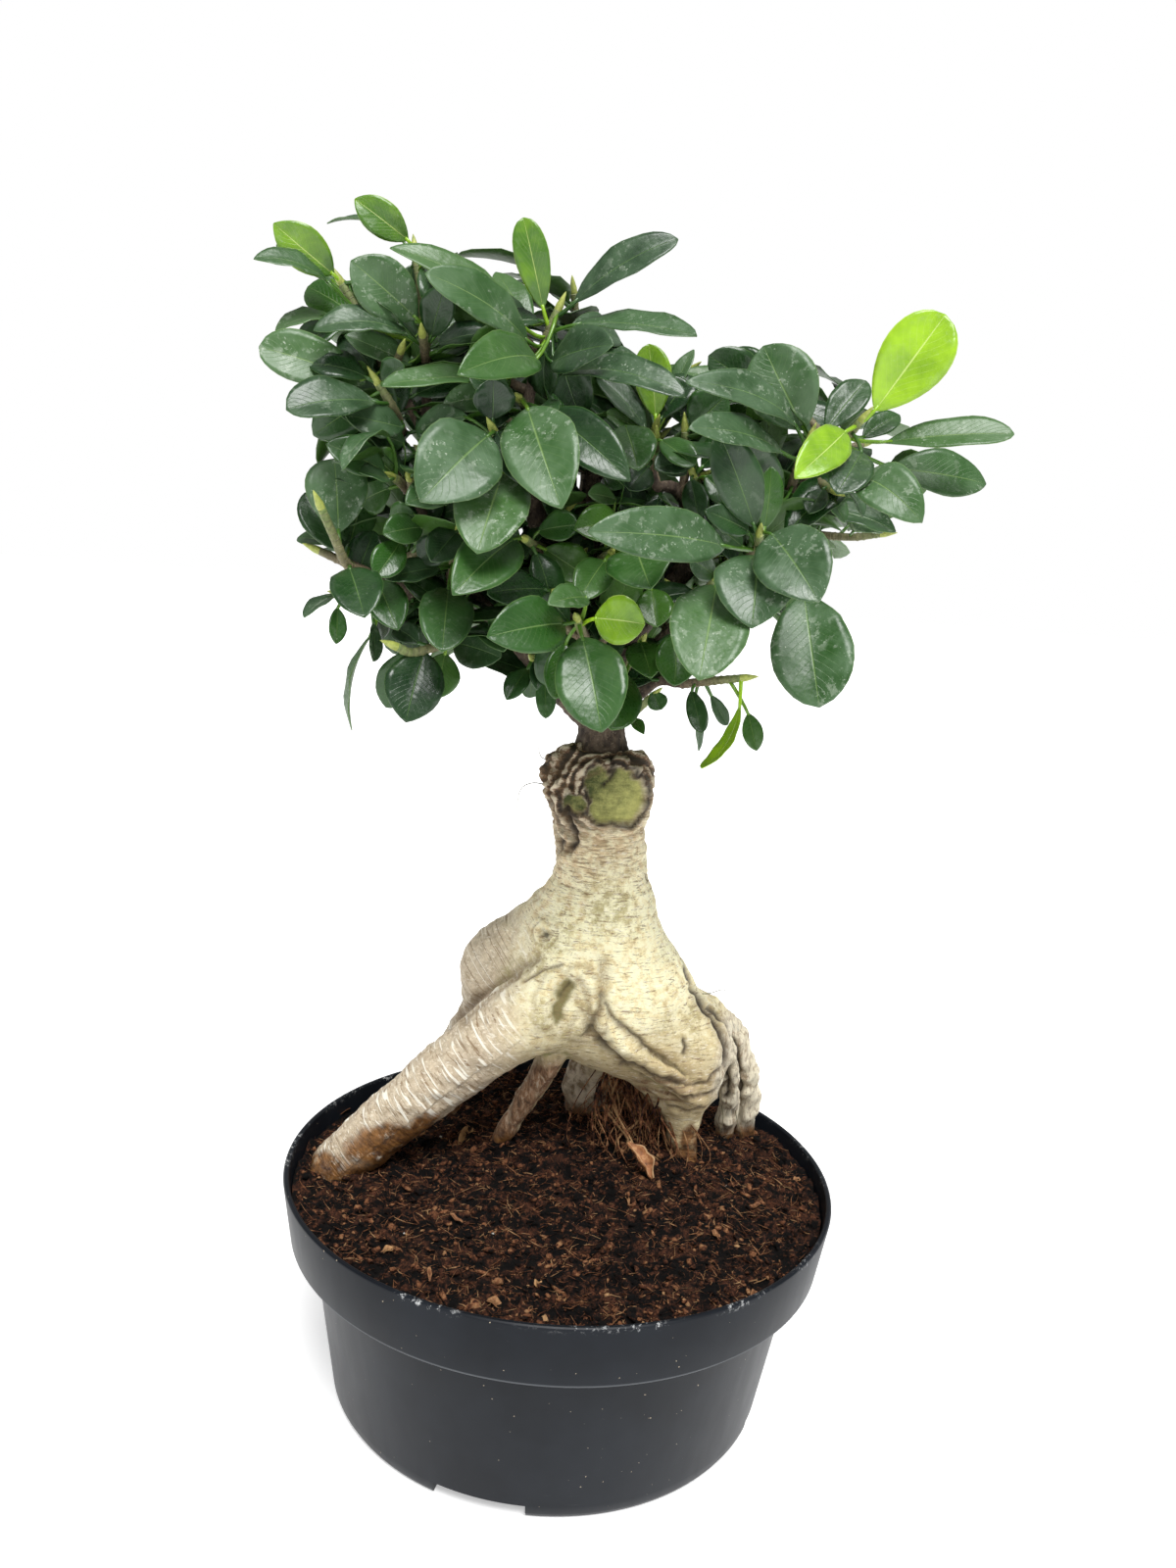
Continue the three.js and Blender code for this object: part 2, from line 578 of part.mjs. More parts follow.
// The leaves that the front of the crown shows, shoot by shoot. A twig's places and each leaf's
// tip and base are [across, down, depth]; wide is the blade's real width, lift turns its upper
// face from the view towards the sky in degrees, and bow is how far it arches, as a share of its length.
const FRONT_SHOOTS = {
  far_left_top: {
    twig: [[398, 392, -13], [380, 345, -14], [362, 312, -15], [349, 290, -16]],
    leaves: [
      { tip: [279, 228, -26], base: [349, 288, -16], wide: 17, lift: 8, bow: 0.05, young: true },
      { tip: [283, 248, -8], base: [350, 298, -12], wide: 13, lift: 35, bow: 0.1 },
      { tip: [259, 264, -30], base: [344, 300, -18], wide: 12, lift: 66, bow: 0.16 },
      { tip: [370, 311, -8], base: [352, 288, -12], wide: 11, lift: 16, bow: 0.02 },
      { tip: [314, 293, -4], base: [384, 338, -8], wide: 17, lift: 20, bow: 0.08 },
    ],
  },
  left_top: {
    twig: [[437, 390, -13], [432, 320, 0], [424, 258, 4]],
    leaves: [
      { tip: [362, 203, -4], base: [424, 252, 4], wide: 15, lift: 10, bow: 0.1, young: true },
      { tip: [334, 228, 14], base: [418, 250, 6], wide: 9, lift: 78, bow: 0.14 },
      { tip: [480, 292, -8], base: [432, 262, 0], wide: 13, lift: 10, bow: 0.05 },
      { tip: [388, 296, 2], base: [430, 336, 2], wide: 19, lift: 5, bow: 0.05 },
    ],
  },
  left_stem: {
    twig: [[435, 400, -13], [435, 350, -18], [433, 332, -20]],
    leaves: [
      { tip: [358, 266, -34], base: [433, 334, -20], wide: 21, lift: 14, bow: 0.08 },
      { tip: [320, 337, -42], base: [428, 352, -22], wide: 15, lift: 58, bow: 0.16 },
      { tip: [352, 342, -30], base: [430, 378, -20], wide: 12, lift: 35, bow: 0.05 },
      { tip: [264, 354, -38], base: [388, 398, -26], wide: 19, lift: 22, bow: 0.06 },
      { tip: [455, 291, -26], base: [438, 352, -18], wide: 13, lift: 15, bow: 0.05 },
      { tip: [281, 338, -12], base: [358, 336, -10], wide: 12, lift: 66, bow: 0.16 },
      { tip: [482, 322, -4], base: [440, 345, -12], wide: 13, lift: 30, bow: 0.08 },
    ],
  },
  left_rosette: {
    twig: [[410, 440, -14], [402, 418, -26], [386, 392, -30]],
    leaves: [
      { tip: [292, 418, -52], base: [395, 414, -30], wide: 18, lift: 46, bow: 0.1 },
      { tip: [352, 424, -40], base: [420, 440, -24], wide: 15, lift: 35, bow: 0.05 },
      { tip: [362, 394, -20], base: [412, 418, -18], wide: 17, lift: 5, bow: 0.05 },
      { tip: [352, 338, -18], base: [384, 384, -26], wide: 14, lift: 10, bow: 0.04 },
      { tip: [412, 372, -38], base: [388, 392, -30], wide: 11, lift: 10, bow: 0.04 },
    ],
  },
  centre_top: {
    twig: [[545, 385, -11], [553, 358, -14], [561, 335, -16], [569, 317, -17]],
    leaves: [
      { tip: [534, 222, -24], base: [557, 330, -17], wide: 14, lift: 5, bow: 0.06, young: true },
      { tip: [692, 244, -30], base: [574, 324, -17], wide: 14, lift: 40, bow: 0.12 },
      { tip: [711, 343, -44], base: [570, 334, -18], wide: 15, lift: 62, bow: 0.06 },
      { tip: [626, 352, -52], base: [557, 376, -18], wide: 18, lift: 40, bow: 0.08 },
      { tip: [632, 346, 14], base: [570, 338, -10], wide: 15, lift: 40, bow: 0.08 },
      { tip: [652, 365, 8], base: [560, 376, -8], wide: 15, lift: 62, bow: 0.1 },
      { tip: [700, 405, -56], base: [556, 392, -18], wide: 15, lift: 52, bow: 0.14 },
      { tip: [398, 253, -40], base: [547, 353, -18], wide: 15, lift: 55, bow: 0.12 },
      { tip: [434, 279, -56], base: [546, 362, -18], wide: 17, lift: 38, bow: 0.12 },
      { tip: [506, 278, 10], base: [546, 346, -8], wide: 13, lift: 30, bow: 0.06 },
      { tip: [467, 382, -70], base: [554, 372, -22], wide: 18, lift: 32, bow: 0.12 },
      { tip: [634, 410, 4], base: [556, 392, -6], wide: 17, lift: 15, bow: 0.06 },
      { tip: [390, 394, -56], base: [536, 392, -20], wide: 13, lift: 62, bow: 0.05 },
    ],
  },
  centre_front: {
    twig: [[540, 435, -8], [535, 414, -28], [530, 407, -36]],
    leaves: [
      { tip: [573, 519, -78], base: [536, 409, -38], wide: 26, lift: 0, bow: 0.1 },
      { tip: [643, 491, -60], base: [548, 414, -32], wide: 18, lift: 15, bow: 0.1 },
      { tip: [452, 413, -30], base: [518, 404, -30], wide: 13, lift: 35, bow: 0.05 },
      { tip: [478, 384, -34], base: [528, 408, -34], wide: 12, lift: 30, bow: 0.05 },
    ],
  },
  left_front: {
    twig: [[545, 500, 0], [522, 474, -36], [504, 440, -50]],
    leaves: [
      { tip: [429, 512, -84], base: [505, 440, -52], wide: 28, lift: 8, bow: 0.12 },
      { tip: [543, 496, -62], base: [501, 434, -48], wide: 13, lift: 10, bow: 0.06 },
      { tip: [487, 565, -82], base: [517, 476, -46], wide: 25, lift: 8, bow: 0.1 },
      { tip: [503, 386, -42], base: [502, 434, -42], wide: 15, lift: 15, bow: 0.04 },
      { tip: [425, 438, -30], base: [486, 424, -38], wide: 12, lift: 35, bow: 0.06 },
      { tip: [414, 514, -66], base: [466, 500, -48], wide: 13, lift: 35, bow: 0.06 },
    ],
  },
  centre_front_low: {
    twig: [[556, 560, 8], [545, 556, -24], [536, 550, -42]],
    leaves: [
      { tip: [462, 607, -84], base: [532, 547, -46], wide: 20, lift: 14, bow: 0.1 },
      { tip: [590, 536, -30], base: [543, 544, -26], wide: 13, lift: 30, bow: 0.06 },
      { tip: [600, 590, -26], base: [548, 556, -26], wide: 16, lift: 15, bow: 0.06 },
    ],
  },
  front_low: {
    twig: [[588, 620, 12], [572, 612, -18], [566, 605, -34]],
    leaves: [
      { tip: [497, 606, -52], base: [565, 603, -36], wide: 14, lift: 28, bow: 0.08 },
      { tip: [500, 643, -36], base: [552, 612, -30], wide: 13, lift: 25, bow: 0.06 },
      { tip: [558, 700, -28], base: [570, 622, -24], wide: 14, lift: 10, bow: 0.05 },
    ],
  },
  left_front_low: {
    twig: [[460, 596, -8], [464, 568, -32], [468, 542, -44]],
    leaves: [
      { tip: [440, 573, -62], base: [469, 540, -46], wide: 13, lift: 10, bow: 0.08 },
      { tip: [428, 572, -38], base: [458, 548, -38], wide: 12, lift: 5, bow: 0.05 },
      { tip: [393, 591, -48], base: [457, 580, -34], wide: 12, lift: 45, bow: 0.06 },
      { tip: [451, 665, -74], base: [457, 598, -34], wide: 19, lift: 5, bow: 0.1 },
    ],
  },
  left_small: {
    twig: [[446, 556, -8], [440, 546, -26], [436, 538, -36]],
    leaves: [
      { tip: [391, 545, -50], base: [436, 538, -38], wide: 12, lift: 20, bow: 0.06 },
      { tip: [384, 588, -54], base: [412, 548, -40], wide: 12, lift: 5, bow: 0.06 },
      { tip: [398, 530, -34], base: [428, 524, -34], wide: 11, lift: 5, bow: 0.04 },
    ],
  },
  left_stub: {
    twig: [[416, 500, -20], [406, 490, -30], [401, 487, -34]],
    leaves: [
      { tip: [328, 443, -30], base: [400, 458, -26], wide: 12, lift: 40, bow: 0.08 },
      { tip: [333, 453, -48], base: [401, 487, -36], wide: 14, lift: 25, bow: 0.06 },
      { tip: [368, 436, -16], base: [420, 456, -20], wide: 13, lift: 20, bow: 0.05 },
      { tip: [350, 479, -62], base: [408, 452, -34], wide: 10, lift: 76, bow: 0.2 },
      { tip: [376, 462, -36], base: [404, 486, -30], wide: 12, lift: 15, bow: 0.04 },
      { tip: [367, 482, -50], base: [402, 492, -38], wide: 10, lift: 62, bow: 0.05 },
      { tip: [368, 512, -22], base: [404, 496, -26], wide: 15, lift: 15, bow: 0.06 },
    ],
  },
  far_left: {
    twig: [[376, 584, -28], [355, 577, -46], [341, 548, -52], [328, 519, -58]],
    leaves: [
      { tip: [341, 468, -38], base: [346, 556, -42], wide: 22, lift: 0, bow: 0.05 },
      { tip: [311, 503, -24], base: [350, 572, -32], wide: 15, lift: 10, bow: 0.05 },
      { tip: [304, 549, -20], base: [344, 556, -28], wide: 8, lift: 40, bow: 0.05 },
      { tip: [372, 505, -16], base: [354, 566, -26], wide: 15, lift: 5, bow: 0.05 },
      { tip: [372, 630, -76], base: [355, 577, -48], wide: 18, lift: 8, bow: 0.08 },
      { tip: [406, 643, -52], base: [382, 586, -34], wide: 15, lift: 10, bow: 0.06 },
    ],
  },
  left_hanging: {
    twig: [[404, 617, -10], [378, 610, -22], [352, 606, -28]],
    leaves: [
      { tip: [359, 745, -26], base: [391, 634, -20], wide: 12, lift: 80, bow: 0.13 },
      { tip: [310, 630, -40], base: [352, 606, -30], wide: 9, lift: 60, bow: 0.1 },
      { tip: [343, 657, -34], base: [344, 614, -30], wide: 7, lift: 20, bow: 0.03 },
      { tip: [381, 675, -36], base: [380, 630, -26], wide: 7, lift: 45, bow: 0.05 },
      { tip: [390, 652, -8], base: [384, 618, -18], wide: 8, lift: 30, bow: 0.04 },
    ],
  },
  low_left: {
    twig: [[460, 655, -26], [441, 661, -46], [420, 666, -52], [405, 660, -56]],
    leaves: [
      { tip: [414, 737, -62], base: [436, 656, -46], wide: 21, lift: 5, bow: 0.08 },
      { tip: [394, 722, -36], base: [426, 654, -38], wide: 15, lift: 10, bow: 0.06 },
      { tip: [445, 713, -38], base: [455, 660, -30], wide: 14, lift: 10, bow: 0.06 },
      { tip: [511, 671, -44], base: [458, 655, -28], wide: 17, lift: 15, bow: 0.06 },
      { tip: [404, 640, -34], base: [432, 660, -42], wide: 10, lift: 20, bow: 0.05 },
    ],
  },
  low_centre: {
    twig: [[562, 690, 2], [548, 676, -14], [544, 672, -20]],
    leaves: [
      { tip: [517, 714, -30], base: [542, 678, -20], wide: 9, lift: 15, bow: 0.06 },
      { tip: [548, 704, -34], base: [547, 668, -22], wide: 6, lift: 10, bow: 0.04 },
      { tip: [557, 733, -22], base: [554, 678, -16], wide: 8, lift: 10, bow: 0.04 },
      { tip: [540, 712, -8], base: [545, 678, -12], wide: 8, lift: 20, bow: 0.04 },
    ],
  },
  front_rosette: {
    twig: [[600, 660, -22], [592, 640, -46], [589, 632, -54]],
    leaves: [
      { tip: [614, 747, -78], base: [592, 640, -52], wide: 25, lift: 0, bow: 0.1 },
      { tip: [497, 650, -86], base: [582, 638, -54], wide: 20, lift: 14, bow: 0.12 },
      { tip: [658, 637, -76], base: [600, 630, -56], wide: 19, lift: 4, bow: 0.08, young: true },
      { tip: [559, 617, -76], base: [602, 612, -54], wide: 11, lift: 35, bow: 0.1 },
      { tip: [566, 713, -50], base: [578, 648, -40], wide: 12, lift: 10, bow: 0.06 },
    ],
  },
  low_middle: {
    twig: [[620, 704, 16], [640, 680, -4], [654, 656, -18]],
    leaves: [
      { tip: [664, 692, -46], base: [652, 652, -22], wide: 15, lift: 10, bow: 0.06 },
      { tip: [624, 745, -40], base: [640, 682, -12], wide: 17, lift: 5, bow: 0.06 },
      { tip: [704, 668, -22], base: [664, 656, -20], wide: 13, lift: 20, bow: 0.05 },
    ],
  },
  centre_low: {
    twig: [[600, 580, 14], [614, 570, -12], [623, 564, -28]],
    leaves: [
      { tip: [590, 613, -52], base: [620, 568, -30], wide: 14, lift: 5, bow: 0.06 },
      { tip: [664, 601, -66], base: [648, 556, -34], wide: 25, lift: 0, bow: 0.08 },
      { tip: [586, 540, -36], base: [640, 534, -24], wide: 15, lift: 20, bow: 0.08 },
      { tip: [600, 504, -22], base: [632, 512, -14], wide: 9, lift: 40, bow: 0.08 },
      { tip: [670, 640, -40], base: [664, 596, -28], wide: 14, lift: 5, bow: 0.05 },
      { tip: [618, 480, -10], base: [640, 500, -8], wide: 12, lift: 30, bow: 0.05 },
    ],
  },
  mid_right: {
    twig: [[663, 480, -6], [668, 460, -18], [669, 447, -24]],
    leaves: [
      { tip: [651, 480, -40], base: [636, 430, -22], wide: 18, lift: 12, bow: 0.08 },
      { tip: [708, 476, -40], base: [669, 447, -26], wide: 11, lift: 30, bow: 0.06 },
      { tip: [700, 484, -22], base: [670, 470, -16], wide: 10, lift: 35, bow: 0.04 },
      { tip: [642, 500, -26], base: [664, 474, -16], wide: 12, lift: 15, bow: 0.05 },
    ],
  },
  centre_right: {
    twig: [[650, 466, 10], [664, 450, 0], [668, 438, -4]],
    leaves: [
      { tip: [662, 351, -8], base: [670, 437, -5], wide: 16, lift: 4, bow: 0.04, young: true },
      { tip: [708, 357, 4], base: [680, 420, 0], wide: 8, lift: 40, bow: 0.06 },
      { tip: [617, 422, -10], base: [664, 446, -4], wide: 9, lift: 25, bow: 0.06 },
      { tip: [609, 384, -14], base: [665, 448, -6], wide: 11, lift: 35, bow: 0.1 },
      { tip: [690, 374, 22], base: [676, 436, 8], wide: 15, lift: 10, bow: 0.04 },
    ],
  },
  right_inner_low: {
    twig: [[732, 556, 8], [722, 520, -6], [708, 486, -16]],
    leaves: [
      { tip: [713, 530, -30], base: [704, 484, -18], wide: 10, lift: 5, bow: 0.05 },
      { tip: [746, 512, -24], base: [716, 482, -18], wide: 10, lift: 10, bow: 0.05 },
      { tip: [668, 478, -34], base: [716, 470, -20], wide: 11, lift: 40, bow: 0.06 },
      { tip: [731, 498, -20], base: [719, 514, -10], wide: 5, lift: 20, bow: 0.02 },
      { tip: [762, 480, -16], base: [722, 500, -10], wide: 10, lift: 20, bow: 0.05 },
    ],
  },
  right_inner: {
    twig: [[696, 505, 2], [700, 470, -4], [699, 440, -8]],
    leaves: [
      { tip: [742, 403, -14], base: [700, 442, -8], wide: 18, lift: 4, bow: 0.05 },
      { tip: [685, 384, 2], base: [698, 440, -4], wide: 13, lift: 10, bow: 0.04 },
      { tip: [754, 448, -22], base: [702, 462, -8], wide: 12, lift: 42, bow: 0.06 },
      { tip: [770, 420, 4], base: [704, 446, 0], wide: 14, lift: 30, bow: 0.06 },
    ],
  },
  right_back_top: {
    twig: [[790, 530, 2], [800, 450, 22], [796, 408, 26]],
    leaves: [
      { tip: [723, 363, 10], base: [794, 412, 22], wide: 18, lift: 15, bow: 0.08 },
      { tip: [745, 358, 34], base: [800, 420, 30], wide: 16, lift: 25, bow: 0.08 },
      { tip: [696, 380, 24], base: [788, 420, 26], wide: 14, lift: 48, bow: 0.1 },
    ],
  },
  right_mid: {
    twig: [[803, 514, -7], [814, 476, -18], [825, 450, -22]],
    leaves: [
      { tip: [779, 353, -20], base: [827, 452, -22], wide: 27, lift: 4, bow: 0.05 },
      { tip: [700, 390, -58], base: [819, 448, -24], wide: 15, lift: 50, bow: 0.14 },
      { tip: [703, 437, -70], base: [806, 470, -26], wide: 14, lift: 50, bow: 0.08 },
      { tip: [737, 438, -54], base: [800, 522, -20], wide: 16, lift: 14, bow: 0.1 },
      { tip: [884, 389, -4], base: [836, 448, -14], wide: 14, lift: 14, bow: 0.06 },
    ],
  },
  right_low: {
    twig: [[826, 486, -11], [842, 496, -22], [850, 500, -26]],
    leaves: [
      { tip: [880, 528, -36], base: [862, 498, -30], wide: 7, lift: 62, bow: 0.1 },
      { tip: [862, 534, -26], base: [838, 500, -22], wide: 9, lift: 50, bow: 0.08 },
      { tip: [914, 543, -20], base: [824, 522, -12], wide: 16, lift: 56, bow: 0.1 },
      { tip: [826, 524, -34], base: [842, 496, -24], wide: 9, lift: 20, bow: 0.04 },
    ],
  },
  right_top: {
    twig: [[846, 462, -14], [864, 446, -20], [878, 430, -24]],
    leaves: [
      { tip: [965, 321, -34], base: [882, 434, -25], wide: 28, lift: 2, bow: 0.05, young: true },
      { tip: [811, 488, -58], base: [866, 438, -28], wide: 17, lift: 4, bow: 0.1, young: true },
      { tip: [854, 504, -54], base: [882, 458, -34], wide: 16, lift: 4, bow: 0.08 },
      { tip: [1035, 443, -36], base: [884, 456, -24], wide: 15, lift: 46, bow: 0.05 },
      { tip: [1006, 494, -12], base: [892, 478, -16], wide: 19, lift: 28, bow: 0.08 },
      { tip: [941, 533, -66], base: [868, 492, -34], wide: 19, lift: 30, bow: 0.24 },
      { tip: [918, 424, -8], base: [874, 452, -16], wide: 10, lift: 25, bow: 0.05 },
    ],
  },
  right_front: {
    twig: [[762, 572, -28], [773, 558, -42], [775, 546, -48]],
    leaves: [
      { tip: [732, 438, -54], base: [774, 552, -47], wide: 17, lift: 10, bow: 0.08 },
      { tip: [787, 476, -38], base: [778, 550, -42], wide: 10, lift: 20, bow: 0.04 },
      { tip: [836, 614, -82], base: [783, 540, -50], wide: 26, lift: 6, bow: 0.12 },
      { tip: [767, 641, -88], base: [772, 562, -50], wide: 29, lift: 2, bow: 0.12 },
      { tip: [836, 722, -62], base: [818, 592, -34], wide: 29, lift: 4, bow: 0.08 },
      { tip: [600, 543, -88], base: [750, 563, -48], wide: 19, lift: 20, bow: 0.12 },
      { tip: [719, 521, -56], base: [769, 546, -46], wide: 11, lift: 30, bow: 0.06 },
      { tip: [727, 534, -36], base: [762, 562, -36], wide: 9, lift: 20, bow: 0.05 },
    ],
  },
  right_front_low: {
    twig: [[716, 612, -8], [722, 602, -28], [730, 590, -44]],
    leaves: [
      { tip: [713, 694, -86], base: [732, 590, -46], wide: 27, lift: 0, bow: 0.1 },
      { tip: [688, 700, -46], base: [690, 640, -32], wide: 16, lift: 8, bow: 0.06 },
      { tip: [704, 570, -56], base: [732, 590, -44], wide: 10, lift: 20, bow: 0.04 },
    ],
  },
  hanging_right: {
    twig: [[696, 698, -5], [725, 695, -14], [756, 692, -20]],
    leaves: [
      { tip: [716, 748, -30], base: [704, 700, -10], wide: 8, lift: 8, bow: 0.06 },
      { tip: [716, 784, -44], base: [757, 704, -22], wide: 9, lift: 52, bow: -0.14, young: true },
      { tip: [772, 766, -26], base: [762, 722, -22], wide: 8, lift: 8, bow: 0.05 },
      { tip: [742, 740, -8], base: [722, 704, -10], wide: 6, lift: 20, bow: 0.05 },
      { tip: [713, 766, -4], base: [706, 712, -4], wide: 6, lift: 60, bow: 0.05 },
    ],
  },
  sprout: {
    twig: [[630, 740, 6], [646, 728, -8], [664, 712, -14]],
    leaves: [
      { tip: [675, 724, -20], base: [664, 704, -15], wide: 8, lift: 5, bow: 0.03 },
      { tip: [657, 749, -18], base: [644, 732, -9], wide: 5, lift: 20, bow: 0.1 },
    ],
  },
};

// Shoots at the sides and behind. Their leaves follow a rule, turned from each to the next by
// the golden angle. A twig is [x, y, z] places, and spread is how far the leaves lean out, in degrees.
const RULED_SHOOTS = {
  back_left_top: { twig: [[-84, 50, 406], [-92, 56, 424], [-96, 58, 440]], count: 8, spread: 62 },
  back_left_mid: { twig: [[-62, 61, 356], [-84, 78, 366], [-96, 86, 376]], count: 8, spread: 72 },
  back_left_low: { twig: [[-50, 58, 344], [-74, 62, 334], [-90, 62, 328]], count: 8, spread: 80 },
  back_top: { twig: [[-12, 62, 430], [-18, 58, 448], [-20, 54, 458]], count: 8, spread: 58 },
  back_mid_left: { twig: [[-8, 78, 374], [-30, 92, 392], [-38, 98, 402]], count: 8, spread: 70 },
  back_mid_right: { twig: [[-6, 76, 390], [16, 92, 404], [24, 98, 412]], count: 8, spread: 70 },
  back_low: { twig: [[-2, 60, 348], [-8, 88, 344], [-10, 102, 340]], count: 8, spread: 78 },
  back_low_left: { twig: [[-20, 34, 318], [-38, 56, 306], [-46, 66, 302]], count: 7, spread: 80 },
  back_low_right: { twig: [[30, 42, 320], [44, 70, 314], [50, 84, 312]], count: 8, spread: 80 },
  back_right_mid: { twig: [[66, 68, 356], [82, 88, 360], [88, 98, 364]], count: 8, spread: 72 },
  back_right_top: { twig: [[96, 60, 400], [104, 62, 416], [106, 64, 424]], count: 8, spread: 62 },
  right_side: { twig: [[74, 67, 368], [104, 48, 366], [118, 42, 368]], count: 8, spread: 74 },
  crown_middle: { twig: [[-8, 74, 410], [20, 50, 420], [30, 42, 428]], count: 8, spread: 62 },
};

// The rule of their leaves: least and most length and width, how much less the last leaf leans than
// the first, the draw of the lean in degrees, the droop and the arch as shares of the length, and how
// far a face looks along its twig besides up. A twig steeper than STEEP_TWIG starts its leaves' turn
// from the x axis and not from the z axis.
const RULED_LENGTH = [40, 52];
const RULED_WIDTH = [18, 21.9];
const RULED_LEAN_LOSS = 0.45;
const RULED_LEAN_DRAW = 16;
const RULED_DROOP = 0.16;
const RULED_BOW = 0.09;
const RULED_FACE_ALONG = 0.6;
const RULED_TURN = 1.6;
const RULED_SEED = 400;
const SEEDS_A_SHOOT = 20;
const GOLDEN_ANGLE = 137.5;
const STEEP_TWIG = 0.9;

// The crown's outline in the view, which the ruled leaves stay inside
const CROWN_OUTLINE = [
  [300, 340], [350, 270], [420, 240], [520, 280], [620, 345], [700, 372], [800, 368],
  [872, 395], [930, 430], [945, 480], [880, 540], [840, 600], [800, 640], [740, 650],
  [690, 690], [560, 700], [480, 670], [420, 680], [370, 630], [322, 560], [312, 470],
];

function insideOutline([across, down]) {
  let inside = false;
  CROWN_OUTLINE.forEach(([x1, y1], i) => {
    const [x2, y2] = CROWN_OUTLINE[(i + 1) % CROWN_OUTLINE.length];
    const crosses = y1 > down !== y2 > down;
    if (crosses && across < x1 + ((x2 - x1) * (down - y1)) / (y2 - y1)) inside = !inside;
  });
  return inside;
}

// A blade's width at a share of its length, one at its widest
const bladeWidth = (share) => Math.sin(Math.PI * share ** WIDEST_POWER) ** FULLNESS_POWER;

const turned = (vector, axis, degrees) =>
  vector.clone().applyAxisAngle(axis, THREE.MathUtils.degToRad(degrees));

// The way that a laid-out leaf's upper face turns as it is lifted: up, and a little to the right
const LIFTED_TO = point(0.2, 0, 1);

// The upper face's direction of a leaf laid out in the view
function faceSeen(tip, base, lift) {
  const along = tip.clone().sub(base).normalize();
  const toView = VIEW.place.clone().sub(tip.clone().add(base).multiplyScalar(0.5)).normalize();
  const facing = toView.addScaledVector(along, -toView.dot(along)).normalize();
  const side = along.clone().cross(facing);
  if (side.dot(LIFTED_TO) < 0) side.negate();
  const angle = THREE.MathUtils.degToRad(lift);
  return facing.multiplyScalar(Math.cos(angle)).addScaledVector(side, Math.sin(angle));
}

// A leaf: its stalk from a foot on the twig, then the blade in flat lozenge sections folded along
// the midrib. Without a foot it is the blade alone, and extra makes it thicker all round.
function leafSolid(leaf, foot, extra = 0) {
  const { tip, base, face, wide, bow } = leaf;
  const along = tip.clone().sub(base);
  const length = along.length();
  along.normalize();
  const side = along.clone().cross(face).normalize();
  const section = (share, half, depth) => {
    const middle = base
      .clone()
      .addScaledVector(along, length * share)
      .addScaledVector(face, length * bow * 4 * share * (1 - share));
    const raise = half * FOLD;
    return [
      middle.clone().addScaledVector(side, -half - extra).addScaledVector(face, raise),
      middle.clone().addScaledVector(face, depth / 2 + extra),
      middle.clone().addScaledVector(side, half + extra).addScaledVector(face, raise),
      middle.clone().addScaledVector(face, -depth / 2 - extra),
    ];
  };
  const isSlim = wide < BROAD_FROM;
  const stations = isSlim ? SLIM_STATIONS : BROAD_STATIONS;
  const halfWidth = (wide / 2) * (isSlim ? SLIM_FULLNESS : 1);
  const blade = stations.map((share) =>
    section(PETIOLE_SHARE + (1 - PETIOLE_SHARE) * share, halfWidth * bladeWidth(share), BLADE_THICK),
  );
  const stalk = section(foot ? 0 : PETIOLE_SHARE, FOOT_HALF_WIDTH, FOOT_THICK);
  if (foot) stalk.forEach((spot) => spot.add(foot).sub(base));
  return loft([stalk, ...blade, [tip.clone().addScaledVector(along, extra)]]);
}

// The room between a stalk and the boughs, taken at steps along the stalk
function roomAtBoughs(root, base) {
  let least = Infinity;
  for (let step = 0; step <= STALK_STEPS; step++) {
    const spot = root.clone().lerp(base, step / STALK_STEPS);
    for (const bough of BOUGHS) {
      for (let i = 1; i < bough.length; i++) {
        least = Math.min(least, outsideLimb(spot, bough[i - 1], bough[i]));
      }
    }
  }
  return least;
}

// The places along a twig, from its end to its start, where stalks may leave it
function nodesOf(twig) {
  const places = [];
  for (let i = twig.length - 1; i > 0; i--) {
    const count = Math.max(1, Math.round(twig[i].distanceTo(twig[i - 1]) / NODE_SPACING));
    for (let k = 0; k < count; k++) places.push(twig[i].clone().lerp(twig[i - 1], k / count));
  }
  return places;
}

// Where a leaf's stalk may leave its twig: the places nearest its blade from which no bough is in the way
function stalkFeet(nodes, base) {
  const near = [...nodes].sort((a, b) => a.distanceTo(base) - b.distanceTo(base));
  const free = near.filter((spot) => roomAtBoughs(spot, base) > STALK_ROOM);
  return (free.length ? free : near).slice(0, FEET_TRIED);
}

// The ways in which a leaf may give way to its neighbours: its tip nearer or further, and its face turned
const GIVES = [];
for (const turn of [0, 12, -12, 24, -24]) {
  for (const shift of [0, 5, -5, 10, -10, 16, -16, 22, -22]) GIVES.push({ turn, shift });
}

function seenLeafTries(entry) {
  const base = sight(entry.base);
  return GIVES.map(({ turn, shift }) => {
    const [across, down, depth] = entry.tip;
    const tip = sight([across, down, depth + shift]);
    const face = faceSeen(tip, base, entry.lift + turn);
    return { tip, base, face, wide: entry.wide, bow: entry.bow };
  });
}

